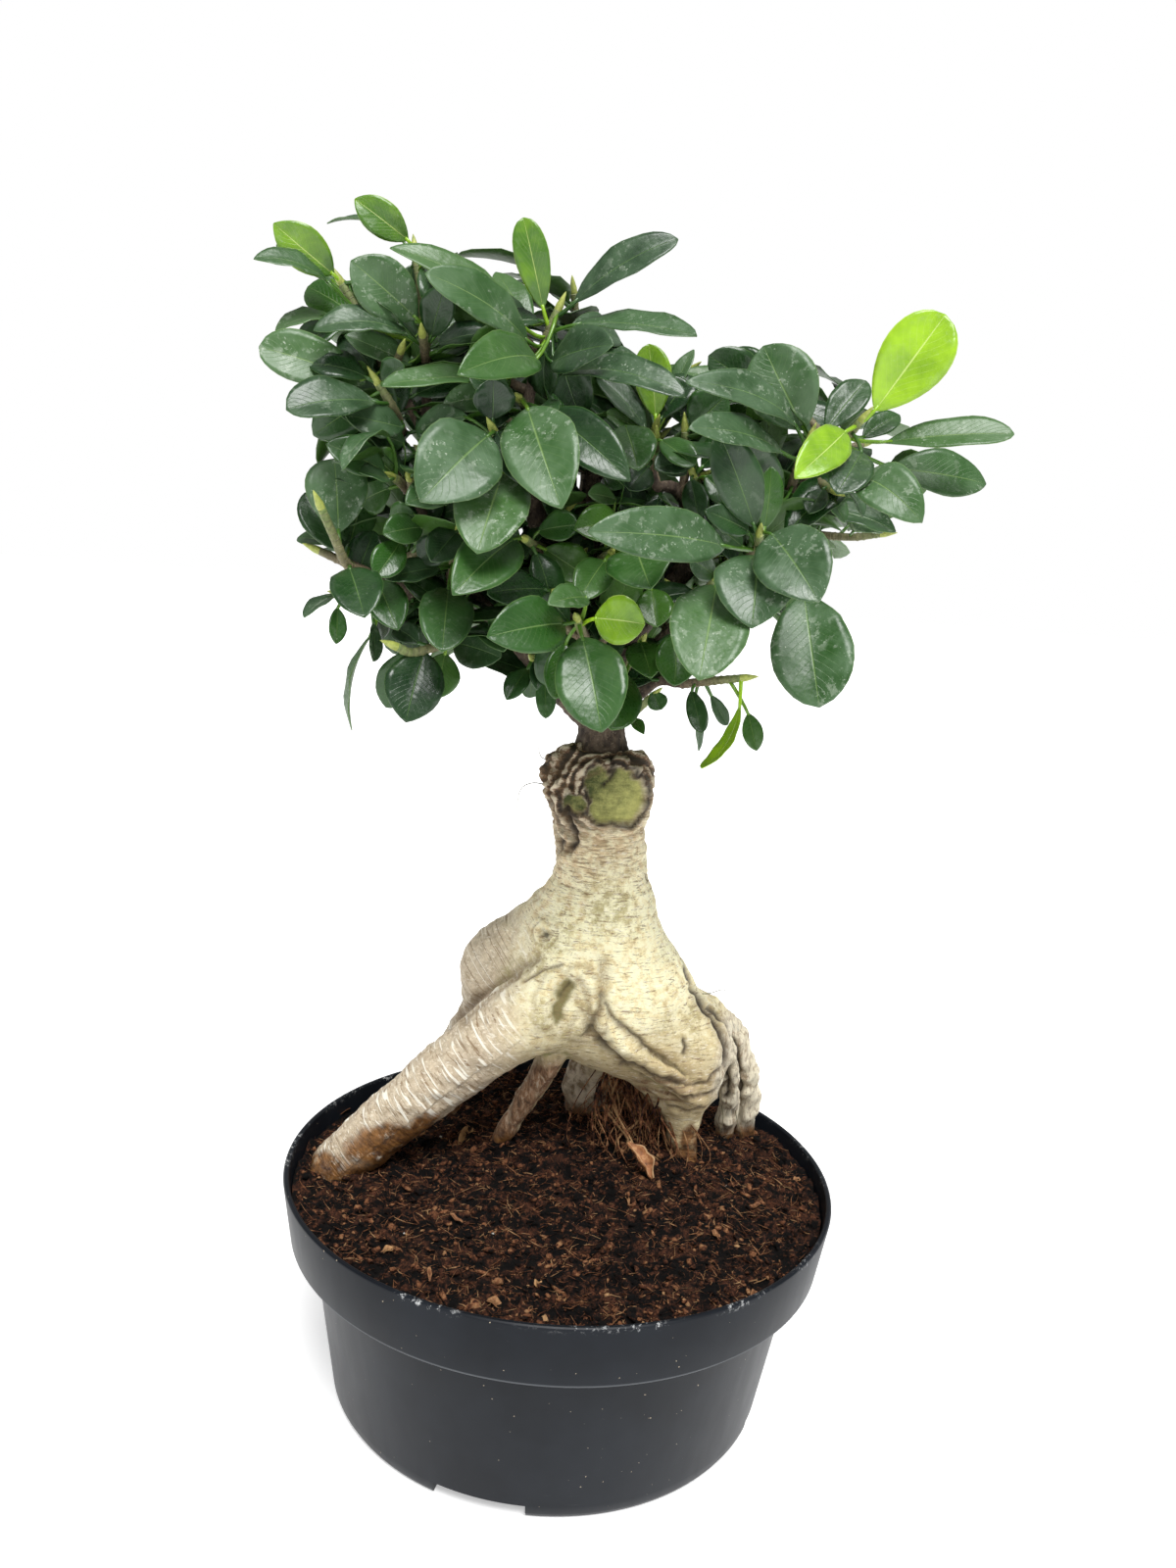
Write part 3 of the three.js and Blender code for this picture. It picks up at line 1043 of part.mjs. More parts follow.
// A ruled leaf leans out from its twig, droops a little with its lean, and shows its face to the sky
function ruledLeafTries(twig, spread, index, count, seed) {
  const axis = twig[2].clone().sub(twig[0]).normalize();
  const share = count > 1 ? index / (count - 1) : 1;
  const base = share < 0.5
    ? twig[0].clone().lerp(twig[1], 0.5 + share)
    : twig[1].clone().lerp(twig[2], 2 * share - 1);
  const start = Math.abs(axis.z) < STEEP_TWIG ? point(0, 0, 1) : point(1, 0, 0);
  const outward = start.cross(axis).normalize();
  const pick = (range, number) => range[0] + (range[1] - range[0]) * draw(number);
  const length = pick(RULED_LENGTH, seed);
  const wide = pick(RULED_WIDTH, seed + 0.37);
  const lean = spread * (1 - RULED_LEAN_LOSS * share) + RULED_LEAN_DRAW * (draw(seed + 0.71) - 0.5);
  return GIVES.map(({ turn, shift }) => {
    const around = turned(outward, axis, index * GOLDEN_ANGLE + RULED_TURN * turn);
    const direction = axis
      .clone()
      .multiplyScalar(Math.cos(THREE.MathUtils.degToRad(lean + shift)))
      .addScaledVector(around, Math.sin(THREE.MathUtils.degToRad(lean + shift)));
    direction.z -= RULED_DROOP;
    direction.normalize();
    const up = point(0, 0, 1).addScaledVector(axis, RULED_FACE_ALONG);
    const face = up.addScaledVector(direction, -up.dot(direction)).normalize();
    const tip = base.clone().addScaledVector(direction, length);
    return { tip, base, face, wide, bow: RULED_BOW };
  }).filter((leaf) => insideOutline(seenAt(leaf.tip)));
}

const WOOD = "wood";
const YOUNG = "young leaf";
const twigOf = (shoot) => `${shoot.name} twig`;

const touches = (a, b) => a.max[0] > b.min[0] && b.max[0] > a.min[0]
  && a.max[1] > b.min[1] && b.max[1] > a.min[1]
  && a.max[2] > b.min[2] && b.max[2] > a.min[2];

// Everything a new leaf must stay clear of: { owner, solid, box }
const taken = [];

function keepClearOf(owner, solid) {
  taken.push({ owner, solid, box: solid.boundingBox() });
}

function crossing(solid, isMet) {
  const box = solid.boundingBox();
  return taken
    .filter((other) => isMet(other.owner) && touches(box, other.box))
    .reduce((sum, other) => sum + solid.intersect(other.solid).volume(), 0);
}

// The try at a leaf, and the foot of its stalk, that stays clear of wood and of other shoots and
// crosses least with its own shoot's leaves, which a young leaf doesn't cross at all. Earlier tries
// are liked better. Null where none is clear.
function settleLeaf(shoot, tries, young) {
  const isOwn = (owner) => owner === shoot.name;
  const isOther = (owner) => owner !== WOOD && !isOwn(owner) && owner !== twigOf(shoot);
  let best = null;
  tries.forEach((leaf, order) => {
    const dislike = order * GIVE_DISLIKE;
    if (best && best.cost <= dislike) return;
    const blade = leafSolid(leaf, null, CLEARANCE);
    if (crossing(blade, (owner) => owner === WOOD) > NO_CROSSING) return;
    for (const foot of stalkFeet(shoot.nodes, leaf.base)) {
      const whole = leafSolid(leaf, foot, CLEARANCE);
      if (crossing(whole, isOther) > NO_CROSSING) continue;
      const shared = crossing(whole, isOwn);
      if (young && shared > NO_CROSSING) continue;
      if (!best || dislike + shared < best.cost) best = { leaf, foot, whole, cost: dislike + shared };
    }
  });
  return best;
}

// The materials: colour, roughness and metalness of each finish

const finish = (color, roughness) => new THREE.MeshStandardMaterial({ color, roughness, metalness: 0 });
const potFinish = () => finish(0x26282b, 0.42);
const soilFinish = () => finish(0x2e1d14, 0.95);
const barkFinish = () => finish(0xc9b48c, 0.8);
const scionFinish = () => finish(0x6b5543, 0.85);
const leafFinish = () => finish(0x2c5230, 0.35);
const youngFinish = () => finish(0x86b81e, 0.35);
const dryFinish = () => finish(0xa5673a, 0.8);

// The dry leaf on the soil: its place in the view, its upper face's direction, its width and arch, and
// how far above its place it is before it is lowered onto the soil
const DRY_LEAF = {
  tip: [664, 1208, -12], base: [634, 1158, -4], face: [0.5, -0.5, 0.7], wide: 12, bow: 0.1,
};
const DRY_LEAF_START = 15;

function dryLeafSolid(soil) {
  const [tip, base] = [sight(DRY_LEAF.tip), sight(DRY_LEAF.base)];
  const solid = leafSolid({ ...DRY_LEAF, tip, base, face: point(...DRY_LEAF.face).normalize() }, null);
  let drop = -DRY_LEAF_START;
  while (solid.translate(0, 0, -drop - GAP).intersect(soil).volume() < NO_CROSSING) drop += GAP / 3;
  return solid.translate(0, 0, -drop);
}

// The whole plant

const root = new THREE.Group();
const rootstock = rootstockSolid();
const rootstockRoom = roomRound(rootstock, ROOT_GAP);
const boughRoom = boughSolid(GAP);
const soil = soilSolid(rootstockRoom);
const scion = largestBody(boughSolid(0).subtract(rootstockRoom));
root.add(meshOf("pot", potSolid(), potFinish()));
root.add(meshOf("soil", soil, soilFinish()));
root.add(meshOf("rootstock", rootstock, barkFinish()));
root.add(meshOf("scion_branches", scion, scionFinish()));
root.add(meshOf("dry_leaf", dryLeafSolid(soil), dryFinish()));

keepClearOf(WOOD, rootstockRoom);
for (const steps of BOUGHS) {
  for (let i = 1; i < steps.length; i++) {
    keepClearOf(WOOD, limb(steps.slice(i - 1, i + 1), BOUGH_SIDES, GAP));
  }
}

const shoots = [];

function startShoot(name, twig, growth) {
  const steps = twig.map((spot, i) => [
    spot,
    THREE.MathUtils.lerp(TWIG_RADIUS[0], TWIG_RADIUS[1], i / (twig.length - 1)),
  ]);
  const shoot = { name, twig, steps, nodes: nodesOf(twig), leaves: [], young: [], ...growth };
  keepClearOf(twigOf(shoot), limb(steps, TWIG_SIDES, CLEARANCE));
  shoots.push(shoot);
}

// A leaf for which there is no clear place isn't grown
function growLeaf(shoot, tries, young) {
  const found = settleLeaf(shoot, tries, young);
  if (!found) return;
  const solid = leafSolid(found.leaf, found.foot);
  keepClearOf(young ? YOUNG : shoot.name, found.whole);
  (young ? shoot.young : shoot.leaves).push(solid);
}

for (const [name, { twig, leaves }] of Object.entries(FRONT_SHOOTS)) {
  startShoot(`shoot_${name}`, twig.map(sight), { laidOut: leaves });
}
for (const [name, { twig, count, spread }] of Object.entries(RULED_SHOOTS)) {
  startShoot(`shoot_${name}`, twig.map(([x, y, z]) => point(x, y, z)), { count, spread });
}
for (const shoot of shoots.filter((one) => one.laidOut)) {
  shoot.laidOut.forEach((entry) => growLeaf(shoot, seenLeafTries(entry), entry.young));
}
shoots.filter((one) => one.count).forEach((shoot, order) => {
  for (let i = 0; i < shoot.count; i++) {
    const seed = RULED_SEED + order * SEEDS_A_SHOOT + i;
    growLeaf(shoot, ruledLeafTries(shoot.twig, shoot.spread, i, shoot.count, seed), false);
  }
});

let youngCount = 0;
for (const shoot of shoots) {
  const wood = limb(shoot.steps, TWIG_SIDES);
  const cutShoot = joinAll([wood, ...shoot.leaves]).subtract(boughRoom).subtract(rootstockRoom);
  root.add(meshOf(shoot.name, largestBody(cutShoot), leafFinish()));
  const twigRoom = limb(shoot.steps, TWIG_SIDES, GAP);
  for (const solid of shoot.young) {
    youngCount += 1;
    root.add(meshOf(`young_leaf_${youngCount}`, largestBody(solid.subtract(twigRoom)), youngFinish()));
  }
}

export default root;
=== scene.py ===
import math

import bpy
import numpy as np
from mathutils import Matrix, Vector, noise
from mathutils.bvhtree import BVHTree


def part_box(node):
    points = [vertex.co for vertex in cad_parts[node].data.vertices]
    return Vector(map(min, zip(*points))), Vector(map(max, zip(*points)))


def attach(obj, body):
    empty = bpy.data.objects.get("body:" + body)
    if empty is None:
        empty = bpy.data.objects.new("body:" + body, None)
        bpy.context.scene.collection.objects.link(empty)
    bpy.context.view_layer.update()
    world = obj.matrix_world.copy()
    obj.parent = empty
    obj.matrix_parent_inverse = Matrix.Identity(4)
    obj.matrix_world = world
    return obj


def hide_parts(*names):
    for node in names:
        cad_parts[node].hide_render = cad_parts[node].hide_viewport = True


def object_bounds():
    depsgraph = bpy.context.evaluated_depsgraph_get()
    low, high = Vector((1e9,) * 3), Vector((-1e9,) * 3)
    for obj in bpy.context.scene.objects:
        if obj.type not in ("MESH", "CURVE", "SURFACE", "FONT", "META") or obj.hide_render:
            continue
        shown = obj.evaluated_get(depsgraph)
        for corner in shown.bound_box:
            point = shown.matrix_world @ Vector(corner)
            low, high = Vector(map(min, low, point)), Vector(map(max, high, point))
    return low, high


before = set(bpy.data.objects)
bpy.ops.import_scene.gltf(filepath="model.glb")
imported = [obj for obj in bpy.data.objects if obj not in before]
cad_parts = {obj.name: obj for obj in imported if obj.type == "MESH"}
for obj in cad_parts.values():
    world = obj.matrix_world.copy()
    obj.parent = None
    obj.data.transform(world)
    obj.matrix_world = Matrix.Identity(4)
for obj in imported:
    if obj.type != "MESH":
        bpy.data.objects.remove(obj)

# The dressed ficus ginseng bonsai. The plant is laid out in millimetres, as the solids are, and each
# piece is brought to metres as it is made.
CAD_BOX = [list(corner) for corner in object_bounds()]
MM = 0.001

# The viewpoint, in millimetres and degrees, on a picture 1200 wide and 1600 high
VIEW_PLACE = np.array([-14.3, -470.6, 337.0])
VIEW_PITCH, VIEW_YAW, VIEW_ROLL = 9.55, 1.73, 4.32
VIEW_FOCAL = 1200.0
VIEW_MIDDLE = (600.0, 800.0)
PICTURE_HEIGHT = 1600
SENSOR = 36.0


def unit(vector):
    return vector / np.linalg.norm(vector)


def view_axes():
    """Ahead, right and up as seen."""
    pitch, yaw, roll = (math.radians(angle) for angle in (VIEW_PITCH, VIEW_YAW, VIEW_ROLL))
    ahead = np.array([
        math.sin(yaw) * math.cos(pitch),
        math.cos(yaw) * math.cos(pitch),
        -math.sin(pitch),
    ])
    level = np.array([math.cos(yaw), -math.sin(yaw), 0.0])
    upright = np.cross(level, ahead)
    right = level * math.cos(roll) + upright * math.sin(roll)
    up = upright * math.cos(roll) - level * math.sin(roll)
    return ahead, right, up


AHEAD, RIGHT, UP = view_axes()


def ray_at(across, down):
    """The direction in which a place in the picture is seen."""
    return (AHEAD + RIGHT * (across - VIEW_MIDDLE[0]) / VIEW_FOCAL
            + UP * (VIEW_MIDDLE[1] - down) / VIEW_FOCAL)


def sight(place):
    """The point at a depth (its y) that is seen at a place in the picture."""
    across, down, depth = place
    ray = ray_at(across, down)
    return VIEW_PLACE + ray * (depth - VIEW_PLACE[1]) / ray[1]


def seen_at(spot):
    """Where a point, or each of many, is seen in the picture."""
    away = spot - VIEW_PLACE
    distance = away @ AHEAD
    return (VIEW_MIDDLE[0] + VIEW_FOCAL * (away @ RIGHT) / distance,
            VIEW_MIDDLE[1] - VIEW_FOCAL * (away @ UP) / distance)


def draw(number):
    """A repeatable draw between 0 and 1 for a number."""
    value = math.sin(number * 12.9898 + 78.233) * 43758.5453
    return value - math.floor(value)


def drawn(pair, number):
    """A repeatable draw between a pair's two values."""
    return pair[0] + (pair[1] - pair[0]) * draw(number)


def smooth(low, high, value):
    share = np.clip((value - low) / (high - low), 0.0, 1.0)
    return share * share * (3 - 2 * share)


def bell(value):
    """One at zero, falling off to both sides."""
    return np.exp(-value ** 2)


# Making pieces

def show(thing):
    bpy.context.scene.collection.objects.link(thing)
    return thing


def clear_selection():
    for thing in bpy.context.selected_objects:
        thing.select_set(False)


def make_active(piece):
    clear_selection()
    piece.select_set(True)
    bpy.context.view_layer.objects.active = piece


def apply_modifiers(piece):
    make_active(piece)
    for modifier in list(piece.modifiers):
        bpy.ops.object.modifier_apply(modifier=modifier.name)


def corners_of(mesh, kind="co"):
    """Each corner's place, or with kind "normal" its normal."""
    flat = np.empty(len(mesh.vertices) * 3)
    mesh.vertices.foreach_get(kind, flat)
    return flat.reshape(-1, 3)


def set_corners(mesh, corners):
    mesh.vertices.foreach_set("co", np.asarray(corners, dtype=np.float32).ravel())
    mesh.update()


def faces_of(mesh):
    return [list(face.vertices) for face in mesh.polygons]


def add_values(mesh, name, values):
    layer = mesh.attributes.new(name, "FLOAT", "POINT")
    layer.data.foreach_set("value", np.asarray(values, dtype=np.float32))


class Shape:
    """Parts of one piece, gathered in millimetres with their paint values before the mesh is made."""

    def __init__(self):
        self.corners, self.faces, self.paints, self.sheets = [], [], [], []
        self.values = {}
        self.count = 0

    def add(self, corners, faces, paint, sheet=None, **values):
        """sheet is each corner's place on the part's own unrolled surface."""
        self.corners.append(corners)
        self.faces += [[index + self.count for index in face] for face in faces]
        self.paints += [paint] * len(faces)
        self.sheets.append(np.zeros((len(corners), 2)) if sheet is None else sheet)
        for name in set(self.values) | set(values):
            earlier = self.values.setdefault(name, [np.zeros(self.count)])
            value = values.get(name, 0.0)
            earlier.append(np.broadcast_to(np.asarray(value, dtype=float), (len(corners),)))
        self.count += len(corners)

    def add_tube(self, places, widths, sides, paint=0, **values):
        corners, faces, sheet = tube(places, widths, sides)
        self.add(corners, faces, paint, sheet, **values)

    def piece(self, name, materials=()):
        mesh = bpy.data.meshes.new(name)
        mesh.from_pydata(np.concatenate(self.corners) * MM, [], self.faces)
        mesh.polygons.foreach_set("material_index", self.paints)
        mesh.polygons.foreach_set("use_smooth", [True] * len(self.faces))
        for material in materials:
            mesh.materials.append(material)
        for label, parts in self.values.items():
            add_values(mesh, label, np.concatenate(parts))
        loops = np.empty(len(mesh.loops), dtype=int)
        mesh.loops.foreach_get("vertex_index", loops)
        sheet = mesh.uv_layers.new(name="sheet")
        sheet.data.foreach_set("uv", np.concatenate(self.sheets)[loops].ravel())
        return show(bpy.data.objects.new(name, mesh))

    def stand(self, name, materials, nodes, slot):
        stand_for(self.piece(name, materials), nodes)


def stand_for(piece, nodes):
    """The piece rides on the plant's one body and stands for these solids, which are hidden."""
    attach(piece, "root")
    if nodes:
        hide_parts(*nodes)


# Paint

# Outputs and inputs of shader nodes that share a name with others, by their number
ATTRIBUTE_FACTOR = 2
OBJECT_COORDINATES = 3
MIX_SHARE, MIX_FIRST, MIX_SECOND, MIX_COLOUR = 0, 6, 7, 2


class Wire:
    """A value in a shader, which numbers and other values are added to, taken from or multiplied with."""

    def __init__(self, nodes, socket):
        self.nodes, self.socket = nodes, socket

    def __add__(self, other):
        return self.nodes.math("ADD", self, other)

    def __sub__(self, other):
        return self.nodes.math("SUBTRACT", self, other)

    def __mul__(self, other):
        return self.nodes.math("MULTIPLY", self, other)


class Nodes:
    """A tree of shader nodes, with short ways to add and join them."""

    def __init__(self, tree):
        self.tree = tree

    def put(self, value, socket):
        """Another node's value is linked in, and anything else is set as it is."""
        if isinstance(value, Wire):
            self.tree.links.new(value.socket, socket)
        elif isinstance(value, tuple) and len(value) == 3 and socket.type == "RGBA":
            socket.default_value = (*value, 1.0)
        else:
            socket.default_value = value

    def add(self, kind, values, **settings):
        """A new node with its settings, and with values for inputs by name or number."""
        node = self.tree.nodes.new(kind)
        for name, setting in settings.items():
            setattr(node, name, setting)
        for key, value in values.items():
            self.put(value, node.inputs[key])
        return [Wire(self, socket) for socket in node.outputs]

    def value(self, name):
        """One of the values that a piece's corners have."""
        return self.add("ShaderNodeAttribute", {}, attribute_name=name)[ATTRIBUTE_FACTOR]

    def sheet(self):
        return self.add("ShaderNodeUVMap", {}, uv_map="sheet")[0]

    def split(self, vector):
        return self.add("ShaderNodeSeparateXYZ", {0: vector})

    def joined(self, first, second):
        return self.add("ShaderNodeCombineXYZ", {0: first, 1: second})[0]

    def math(self, operation, first, second=0.0, clamp=False):
        return self.add("ShaderNodeMath", {0: first, 1: second}, operation=operation, use_clamp=clamp)[0]

    def mapped(self, vector, scale):
        return self.add("ShaderNodeMapping", {"Vector": vector, "Scale": scale})[0]

    def range(self, value, low, high, to_low=0.0, to_high=1.0):
        ends = dict(enumerate((value, low, high, to_low, to_high)))
        return self.add("ShaderNodeMapRange", ends, interpolation_type="SMOOTHSTEP")[0]

    def ramp(self, value, stops):
        """A colour for each share of the way, from [(share, colour), ...]."""
        node = self.tree.nodes.new("ShaderNodeValToRGB")
        self.put(value, node.inputs[0])
        elements = node.color_ramp.elements
        while len(elements) < len(stops):
            elements.new(0.5)
        for element, (share, colour) in zip(elements, stops):
            element.position = share
            element.color = (*colour, 1.0)
        return Wire(self, node.outputs[0])

    def mix(self, share, first, second):
        """A share of the second colour over the first."""
        ends = {MIX_SHARE: share, MIX_FIRST: first, MIX_SECOND: second}
        return self.add("ShaderNodeMix", ends, data_type="RGBA")[MIX_COLOUR]

    def bump(self, height, depth, strength=1.0):
        """Relief: depth is the height of one unit in millimetres."""
        return self.add(
            "ShaderNodeBump", {"Strength": strength, "Distance": depth * MM, "Height": height})[0]

    def cloud(self, source, scale, detail, roughness, twist=0.0):
        return self.add("ShaderNodeTexNoise", {
            "Vector": source, "Scale": scale, "Detail": detail, "Roughness": roughness,
            "Distortion": twist})[0]

    def place(self, effect, **values):
        """A shared effect with its own values here."""
        return self.add("ShaderNodeGroup", values, node_tree=effect.tree)


class Effect(Nodes):
    """A node group that several finishes share: build(nodes, *inputs) gives its outputs."""

    def __init__(self, name, build, numbers, results, vector="Vector"):
        super().__init__(bpy.data.node_groups.new(name, "ShaderNodeTree"))
        sides = self.tree.interface
        sides.new_socket(vector, in_out="INPUT", socket_type="NodeSocketVector")
        for label, usual in numbers.items():
            sides.new_socket(label, in_out="INPUT", socket_type="NodeSocketFloat").default_value = usual
        for label in results:
            sides.new_socket(label, in_out="OUTPUT", socket_type="NodeSocketFloat")
        given = self.add("NodeGroupInput", {})
        made = build(self, *given[:1 + len(numbers)])
        wanted = self.tree.nodes.new("NodeGroupOutput").inputs
        for value, socket in zip(made, wanted):
            self.put(value, socket)


def speckled(nodes, vector, size, detail, roughness, low, high):
    """Specks or patches about size millimetres across, where the noise passes from low to high."""
    grain = nodes.cloud(vector, nodes.math("DIVIDE", 1 / MM, size), detail, roughness)
    return [nodes.range(grain, low, high)]


def veined(nodes, sheet, count, slant, rib):
    """A leaf's midrib and side veins, and its rim."""
    across, along, _ = nodes.split(sheet)
    off_rib = nodes.math("ABSOLUTE", across * 2.0 - 1.0)
    # Side veins leave the midrib at a slant and fade out towards the rim
    slanted = along * count - off_rib * slant
    wave = nodes.math("ABSOLUTE", nodes.math("FRACT", slanted) - 0.5)
    side_veins = nodes.range(wave, 0.06, 0.0) * nodes.range(off_rib, 0.95, 0.35)
    rib_width = rib - along * 0.035
    veins = nodes.math("MAXIMUM", nodes.range(off_rib, rib_width, 0.0), side_veins * 0.28)
    return [veins, nodes.range(off_rib, 0.955, 1.0)]


SPECKLE = Effect("speckle", speckled, {
    "Size": 1.0, "Detail": 3.0, "Roughness": 0.6, "Low": 0.5, "High": 0.6}, ["Specks"])
VEINS = Effect("leaf_veins", veined, {
    "Count": 13.0, "Slant": 4.2, "Rib": 0.06}, ["Veins", "Rim"], "Sheet")


class Paint(Nodes):
    """A finish: a material with its shader and its places on the piece."""

    def __init__(self, name):
        self.material = bpy.data.materials.new(name)
        self.material.use_nodes = True
        super().__init__(self.material.node_tree)
        self.tree.nodes.clear()
        output = self.tree.nodes.new("ShaderNodeOutputMaterial")
        self.shader = self.tree.nodes.new("ShaderNodeBsdfPrincipled")
        self.tree.links.new(self.shader.outputs[0], output.inputs["Surface"])
        self.coordinates = self.add("ShaderNodeTexCoord", {})[OBJECT_COORDINATES]

    def noise(self, size, detail=4.0, roughness=0.6, stretch=None, twist=0.0, source=None):
        """Cloudy noise whose lumps are about size millimetres across."""
        source = source or self.coordinates
        source = self.mapped(source, stretch) if stretch else source
        return self.cloud(source, 1 / (size * MM), detail, roughness, twist)

    def specks(self, size, low, high, detail=3.0, roughness=0.6, stretch=None):
        source = self.mapped(self.coordinates, stretch) if stretch else self.coordinates
        return self.place(
            SPECKLE, Vector=source, Size=size, Detail=detail, Roughness=roughness, Low=low, High=high)[0]

    def coat(self, share, over):
        """A share of another colour over what there is."""
        self.colour = self.mix(share, self.colour, over)

    def finish(self, roughness, normal=None, **fixed):
        self.put(self.colour, self.shader.inputs["Base Color"])
        self.put(roughness, self.shader.inputs["Roughness"])
        if normal is not None:
            self.put(normal, self.shader.inputs["Normal"])
        for name, number in fixed.items():
            self.shader.inputs[name.replace("_", " ")].default_value = number
        return self.material


# The finishes

DARK_GREEN = (0.006, 0.027, 0.007)
GREEN = (0.020, 0.076, 0.009)
MIDDLE_GREEN = (0.066, 0.170, 0.012)
LIME_GREEN = (0.360, 0.620, 0.015)
VEIN_GREEN = (0.095, 0.190, 0.050)
PALE_GREEN = (0.400, 0.560, 0.170)
LIME_VEIN = (0.700, 0.820, 0.280)
# A grey bloom, partly dust and partly a painted sheen
BLOOM_AND_SHEEN_GREY = (0.100, 0.170, 0.092)
DUST_WHITE = (0.480, 0.540, 0.440)


def leaf_paint(name, is_young):
    """Glossy leather leaf: pale midrib and side veins, a grey bloom that is partly dust and partly painted
    sheen, dried water marks, a paler back.
    """
    paint = Paint(name)
    tone, dust, back = paint.value("tone"), paint.value("dust"), paint.value("back")
    veins, rim = paint.place(VEINS, Sheet=paint.sheet(), Count=11.0 if is_young else 14.0)
    cloud = paint.noise(14, 3)
    fine = paint.noise(1.6, 4, 0.7)
    drift = 0.5 if is_young else 0.3
    paint.colour = paint.ramp(tone + (cloud - 0.5) * drift, [
        (0.0, DARK_GREEN), (0.3, GREEN), (0.62, MIDDLE_GREEN), (1.0, LIME_GREEN),
    ])
    # The grey bloom is partly dust and partly a painted sheen on the leaves that face up and at the top of
    # the crown
    bloom_and_sheen = paint.range(cloud, 0.28, 0.66, 0.15, 1.0) * dust
    paint.coat(bloom_and_sheen * (0.06 if is_young else 0.62), BLOOM_AND_SHEEN_GREY)
    paint.coat(back * 0.45, LIME_GREEN if is_young else MIDDLE_GREEN)
    vein_colour = LIME_VEIN if is_young else paint.mix(tone, VEIN_GREEN, PALE_GREEN)
    paint.coat(veins * 0.62, vein_colour)
    # A pale rim along the blade's edge, partly a painted highlight on the edge
    paint.coat(rim * 0.35, vein_colour)
    # Dried drops: pale blots and specks, most on the large leaves
    blots = paint.specks(3.2, 0.54, 0.62, 3, 0.65) * 0.36
    drops = blots + paint.specks(0.8, 0.66, 0.73, 2, 0.5)
    marks = drops * paint.specks(11, 0.42, 0.6)
    marks = paint.math("MULTIPLY", marks, dust * 0.75, clamp=True)
    paint.coat(marks, DUST_WHITE)
    rough = paint.math("ADD", fine * 0.16 + 0.2 + bloom_and_sheen * 0.2, back * 0.15, clamp=True)
    relief = fine * 0.25 - veins * 0.5 + paint.noise(5.5, 2) * 1.5
    return paint.finish(rough, paint.bump(relief, 0.35, 0.7), Specular_IOR_Level=0.5)


def twig_paint():
    """Thin young wood: green at the tips, brown and ringed with leaf scars below."""
    paint = Paint("young_twig")
    tone = paint.value("tone")
    grain = paint.noise(1.2, 4, 0.7, (1.0, 1.0, 0.4))
    bark = paint.ramp(grain, [
        (0.25, (0.055, 0.038, 0.024)), (0.55, (0.16, 0.115, 0.07)), (0.8, (0.30, 0.24, 0.16)),
    ])
    green = paint.ramp(grain, [(0.3, (0.09, 0.16, 0.03)), (0.7, (0.24, 0.32, 0.10))])
    _, along, _ = paint.split(paint.sheet())
    off_ring = paint.math("ABSOLUTE", paint.math("FRACT", along) - 0.5)
    scars = paint.range(off_ring, 0.10, 0.0)
    paint.colour = paint.mix(tone, bark, green)
    paint.coat(scars * 0.5, (0.2, 0.17, 0.11))
    relief = grain + scars * 0.6
    return paint.finish(0.62, paint.bump(relief, 0.3, 0.8))


def bud_paint():
    """Pointed bud in its stipules, yellow-green."""
    paint = Paint("tip_bud")
    paint.colour = paint.ramp(paint.noise(1.5), [(0.3, (0.22, 0.27, 0.05)), (0.7, (0.46, 0.50, 0.12))])
    return paint.finish(0.45, paint.bump(paint.noise(0.5), 0.1, 0.4))


TAN = (0.620, 0.470, 0.240)
PALE_TAN = (0.900, 0.790, 0.460)
CREAM = (0.985, 0.935, 0.640)
NECK_TAN = (0.640, 0.470, 0.290)
OLIVE_TAN = (0.330, 0.310, 0.120)
LINE_BROWN = (0.230, 0.140, 0.062)
GREY_TAN = (0.330, 0.250, 0.170)
PALE_GREY_TAN = (0.530, 0.430, 0.310)
ROOT_CREAM = (0.720, 0.620, 0.470)
STROKE_CREAM = (1.000, 0.950, 0.820)
BELLY_TAN = (0.600, 0.470, 0.250)
DEEP_CRACK = (0.030, 0.019, 0.012)
FIBRE_DARK = (0.060, 0.034, 0.018)
FIBRE_BROWN = (0.290, 0.155, 0.078)
FIBRE_PALE = (0.900, 0.790, 0.590)
SCAR_OLIVE = (0.055, 0.070, 0.013)
SCAR_PALE = (0.520, 0.510, 0.160)
HOLLOW_GREEN = (0.150, 0.165, 0.035)
CHALK_WHITE = (0.800, 0.700, 0.560)
CHALK_GREY = (0.230, 0.160, 0.100)
WET_DARK = (0.060, 0.024, 0.008)
WET_BROWN = (0.290, 0.130, 0.034)
FLAKE_DARK = (0.300, 0.205, 0.120)
FLAKE_PALE = (0.960, 0.890, 0.700)


